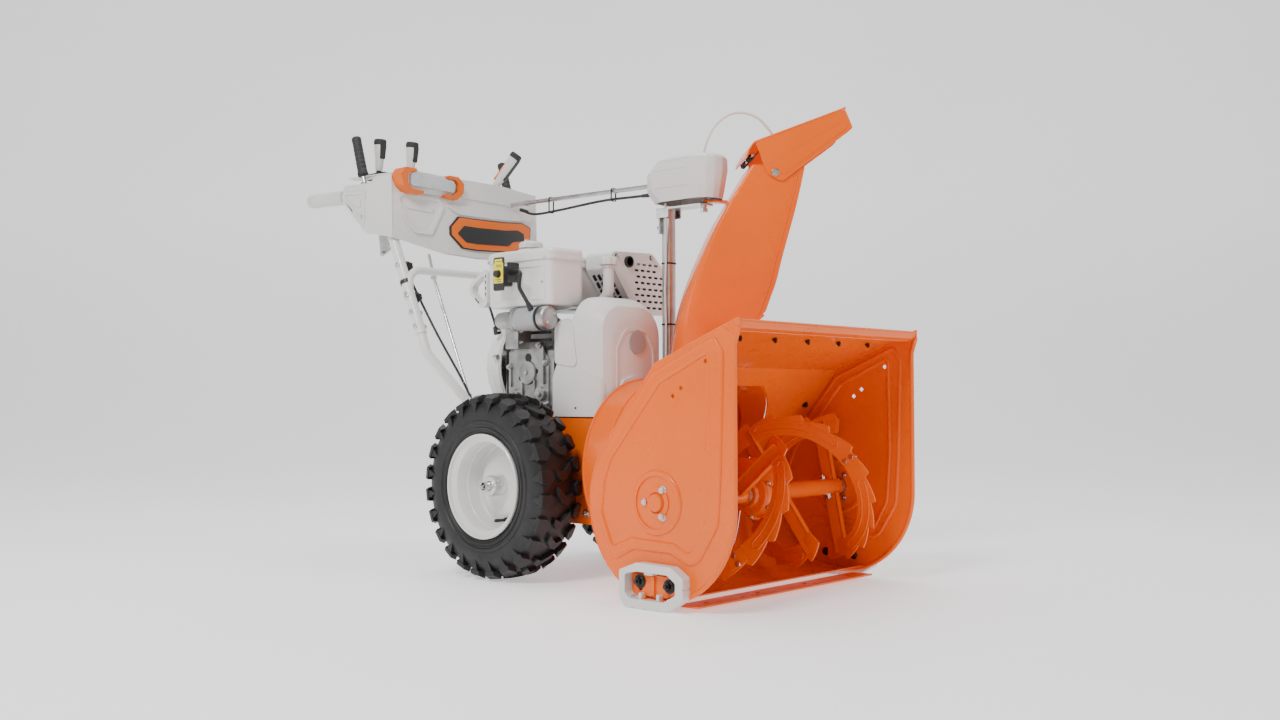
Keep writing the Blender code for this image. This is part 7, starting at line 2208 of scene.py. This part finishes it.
# the floor's curve rises behind the machine, square to the camera's line of sight, turned by degrees about Z
FLOOR_TURN = -47.8
FLOOR_REACH = 40.0
WALL_START, WALL_BEND, WALL_TOP = 3.2, 1.6, 6.0


def floor_finish():
    """A pale, faintly uneven floor."""
    made, tree, inputs = nodes_of("studio floor")
    shades_of = ramp(tree, noise(tree, 0.8), [(0.3, grey(0.8)), (0.7, grey(0.84))])
    tree.links.new(shades_of, inputs["Base Color"])
    tree.links.new(ramp(tree, noise(tree, 6.0, 4.0), [(0.3, grey(0.55)), (0.7, grey(0.7))]),
        inputs["Roughness"])
    # lit from within as well, so that it stays near white like a studio's light table
    inputs["Emission Color"].default_value = (1.0, 1.0, 1.0, 1.0)
    inputs["Emission Strength"].default_value = 0.55
    return made


def studio():
    """A pale floor that curves up behind, and soft lamps."""
    bm = new()
    turn = Matrix.Rotation(radians(FLOOR_TURN), 4, "Z")
    bend = [pi / 2 * k / 16 for k in range(1, 17)]
    sweep = [(-FLOOR_REACH, 0.0), (WALL_START, 0.0),
        *[(WALL_START + WALL_BEND * sin(a), WALL_BEND - WALL_BEND * cos(a)) for a in bend],
        (WALL_START + WALL_BEND, WALL_TOP)]
    lofted(bm, [[turn @ Vector((x, y, z)) for x in (-FLOOR_REACH, FLOOR_REACH)] for y, z in sweep])
    bmesh.ops.recalc_face_normals(bm, faces=bm.faces)
    mesh = bpy.data.meshes.new("floor")
    bm.to_mesh(mesh)
    bm.free()
    mesh.materials.append(floor_finish())
    mesh.shade_smooth()
    floor = bpy.data.objects.new("floor", mesh)
    bpy.context.scene.collection.objects.link(floor)
    for name, place, size, power in (("key", (-2.9, -1.0, 3.2), 1.0, 120),
            ("fill", (1.2, -3.6, 1.6), 1.8, 30), ("top", (0.3, 0.4, 3.8), 2.2, 70),
            ("side", (-3.4, 2.2, 1.6), 1.6, 20)):
        data = bpy.data.lights.new(name, "AREA")
        data.energy = power
        data.size = size
        lamp = bpy.data.objects.new(name, data)
        lamp.location = place
        lamp.rotation_euler = (Vector((0, -0.1, 0.45)) - Vector(place)).to_track_quat("-Z", "Y").to_euler()
        bpy.context.scene.collection.objects.link(lamp)
    world = bpy.data.worlds.new("studio")
    world.use_nodes = True
    world.node_tree.nodes["Background"].inputs["Color"].default_value = (1.0, 1.0, 1.0, 1.0)
    world.node_tree.nodes["Background"].inputs["Strength"].default_value = 0.33
    bpy.context.scene.world = world


# the camera stands ahead of the machine on the operator's right, near the ground
CAMERA_PLACE = (-2.1112, -2.0934, 0.3927)
CAMERA_YAW, CAMERA_PITCH, CAMERA_ROLL = 42.2327, 1.747, 0.0998
CAMERA_LENS, CAMERA_SENSOR = 35.53, 36.0


def camera():
    """The camera, placed and turned as the values above say."""
    data = bpy.data.cameras.new("camera")
    data.lens = CAMERA_LENS
    data.sensor_width = CAMERA_SENSOR
    eye = bpy.data.objects.new("camera", data)
    eye.location = CAMERA_PLACE
    eye.rotation_euler = [radians(a) for a in (90 + CAMERA_PITCH, CAMERA_ROLL, CAMERA_YAW - 90)]
    bpy.context.scene.collection.objects.link(eye)
    bpy.context.scene.camera = eye


camera()
studio()
for make in (housing_wrap, impeller_drum, scraper):
    make()
for side, word in ((-1, "right"), (1, "left")):
    for make in (side_plate, skid_shoe, auger, tyre, wheel_rim):
        make(side, word)
for make in (auger_shaft, gearcase, impeller, chute, chute_ring, chute_gear, deflector, deflector_cable,
        chute_post, gear_cover, chute_rod, chute_cable, tractor_frame, drive, crankcase, fuel_tank,
        recoil_housing, recoil_handle, starter_motor, switch_box, muffler, belt_cover, bearing_and_belt,
        handlebars, grips, dash_shell, dash_front, dash_ends, controls, cables):
    make()
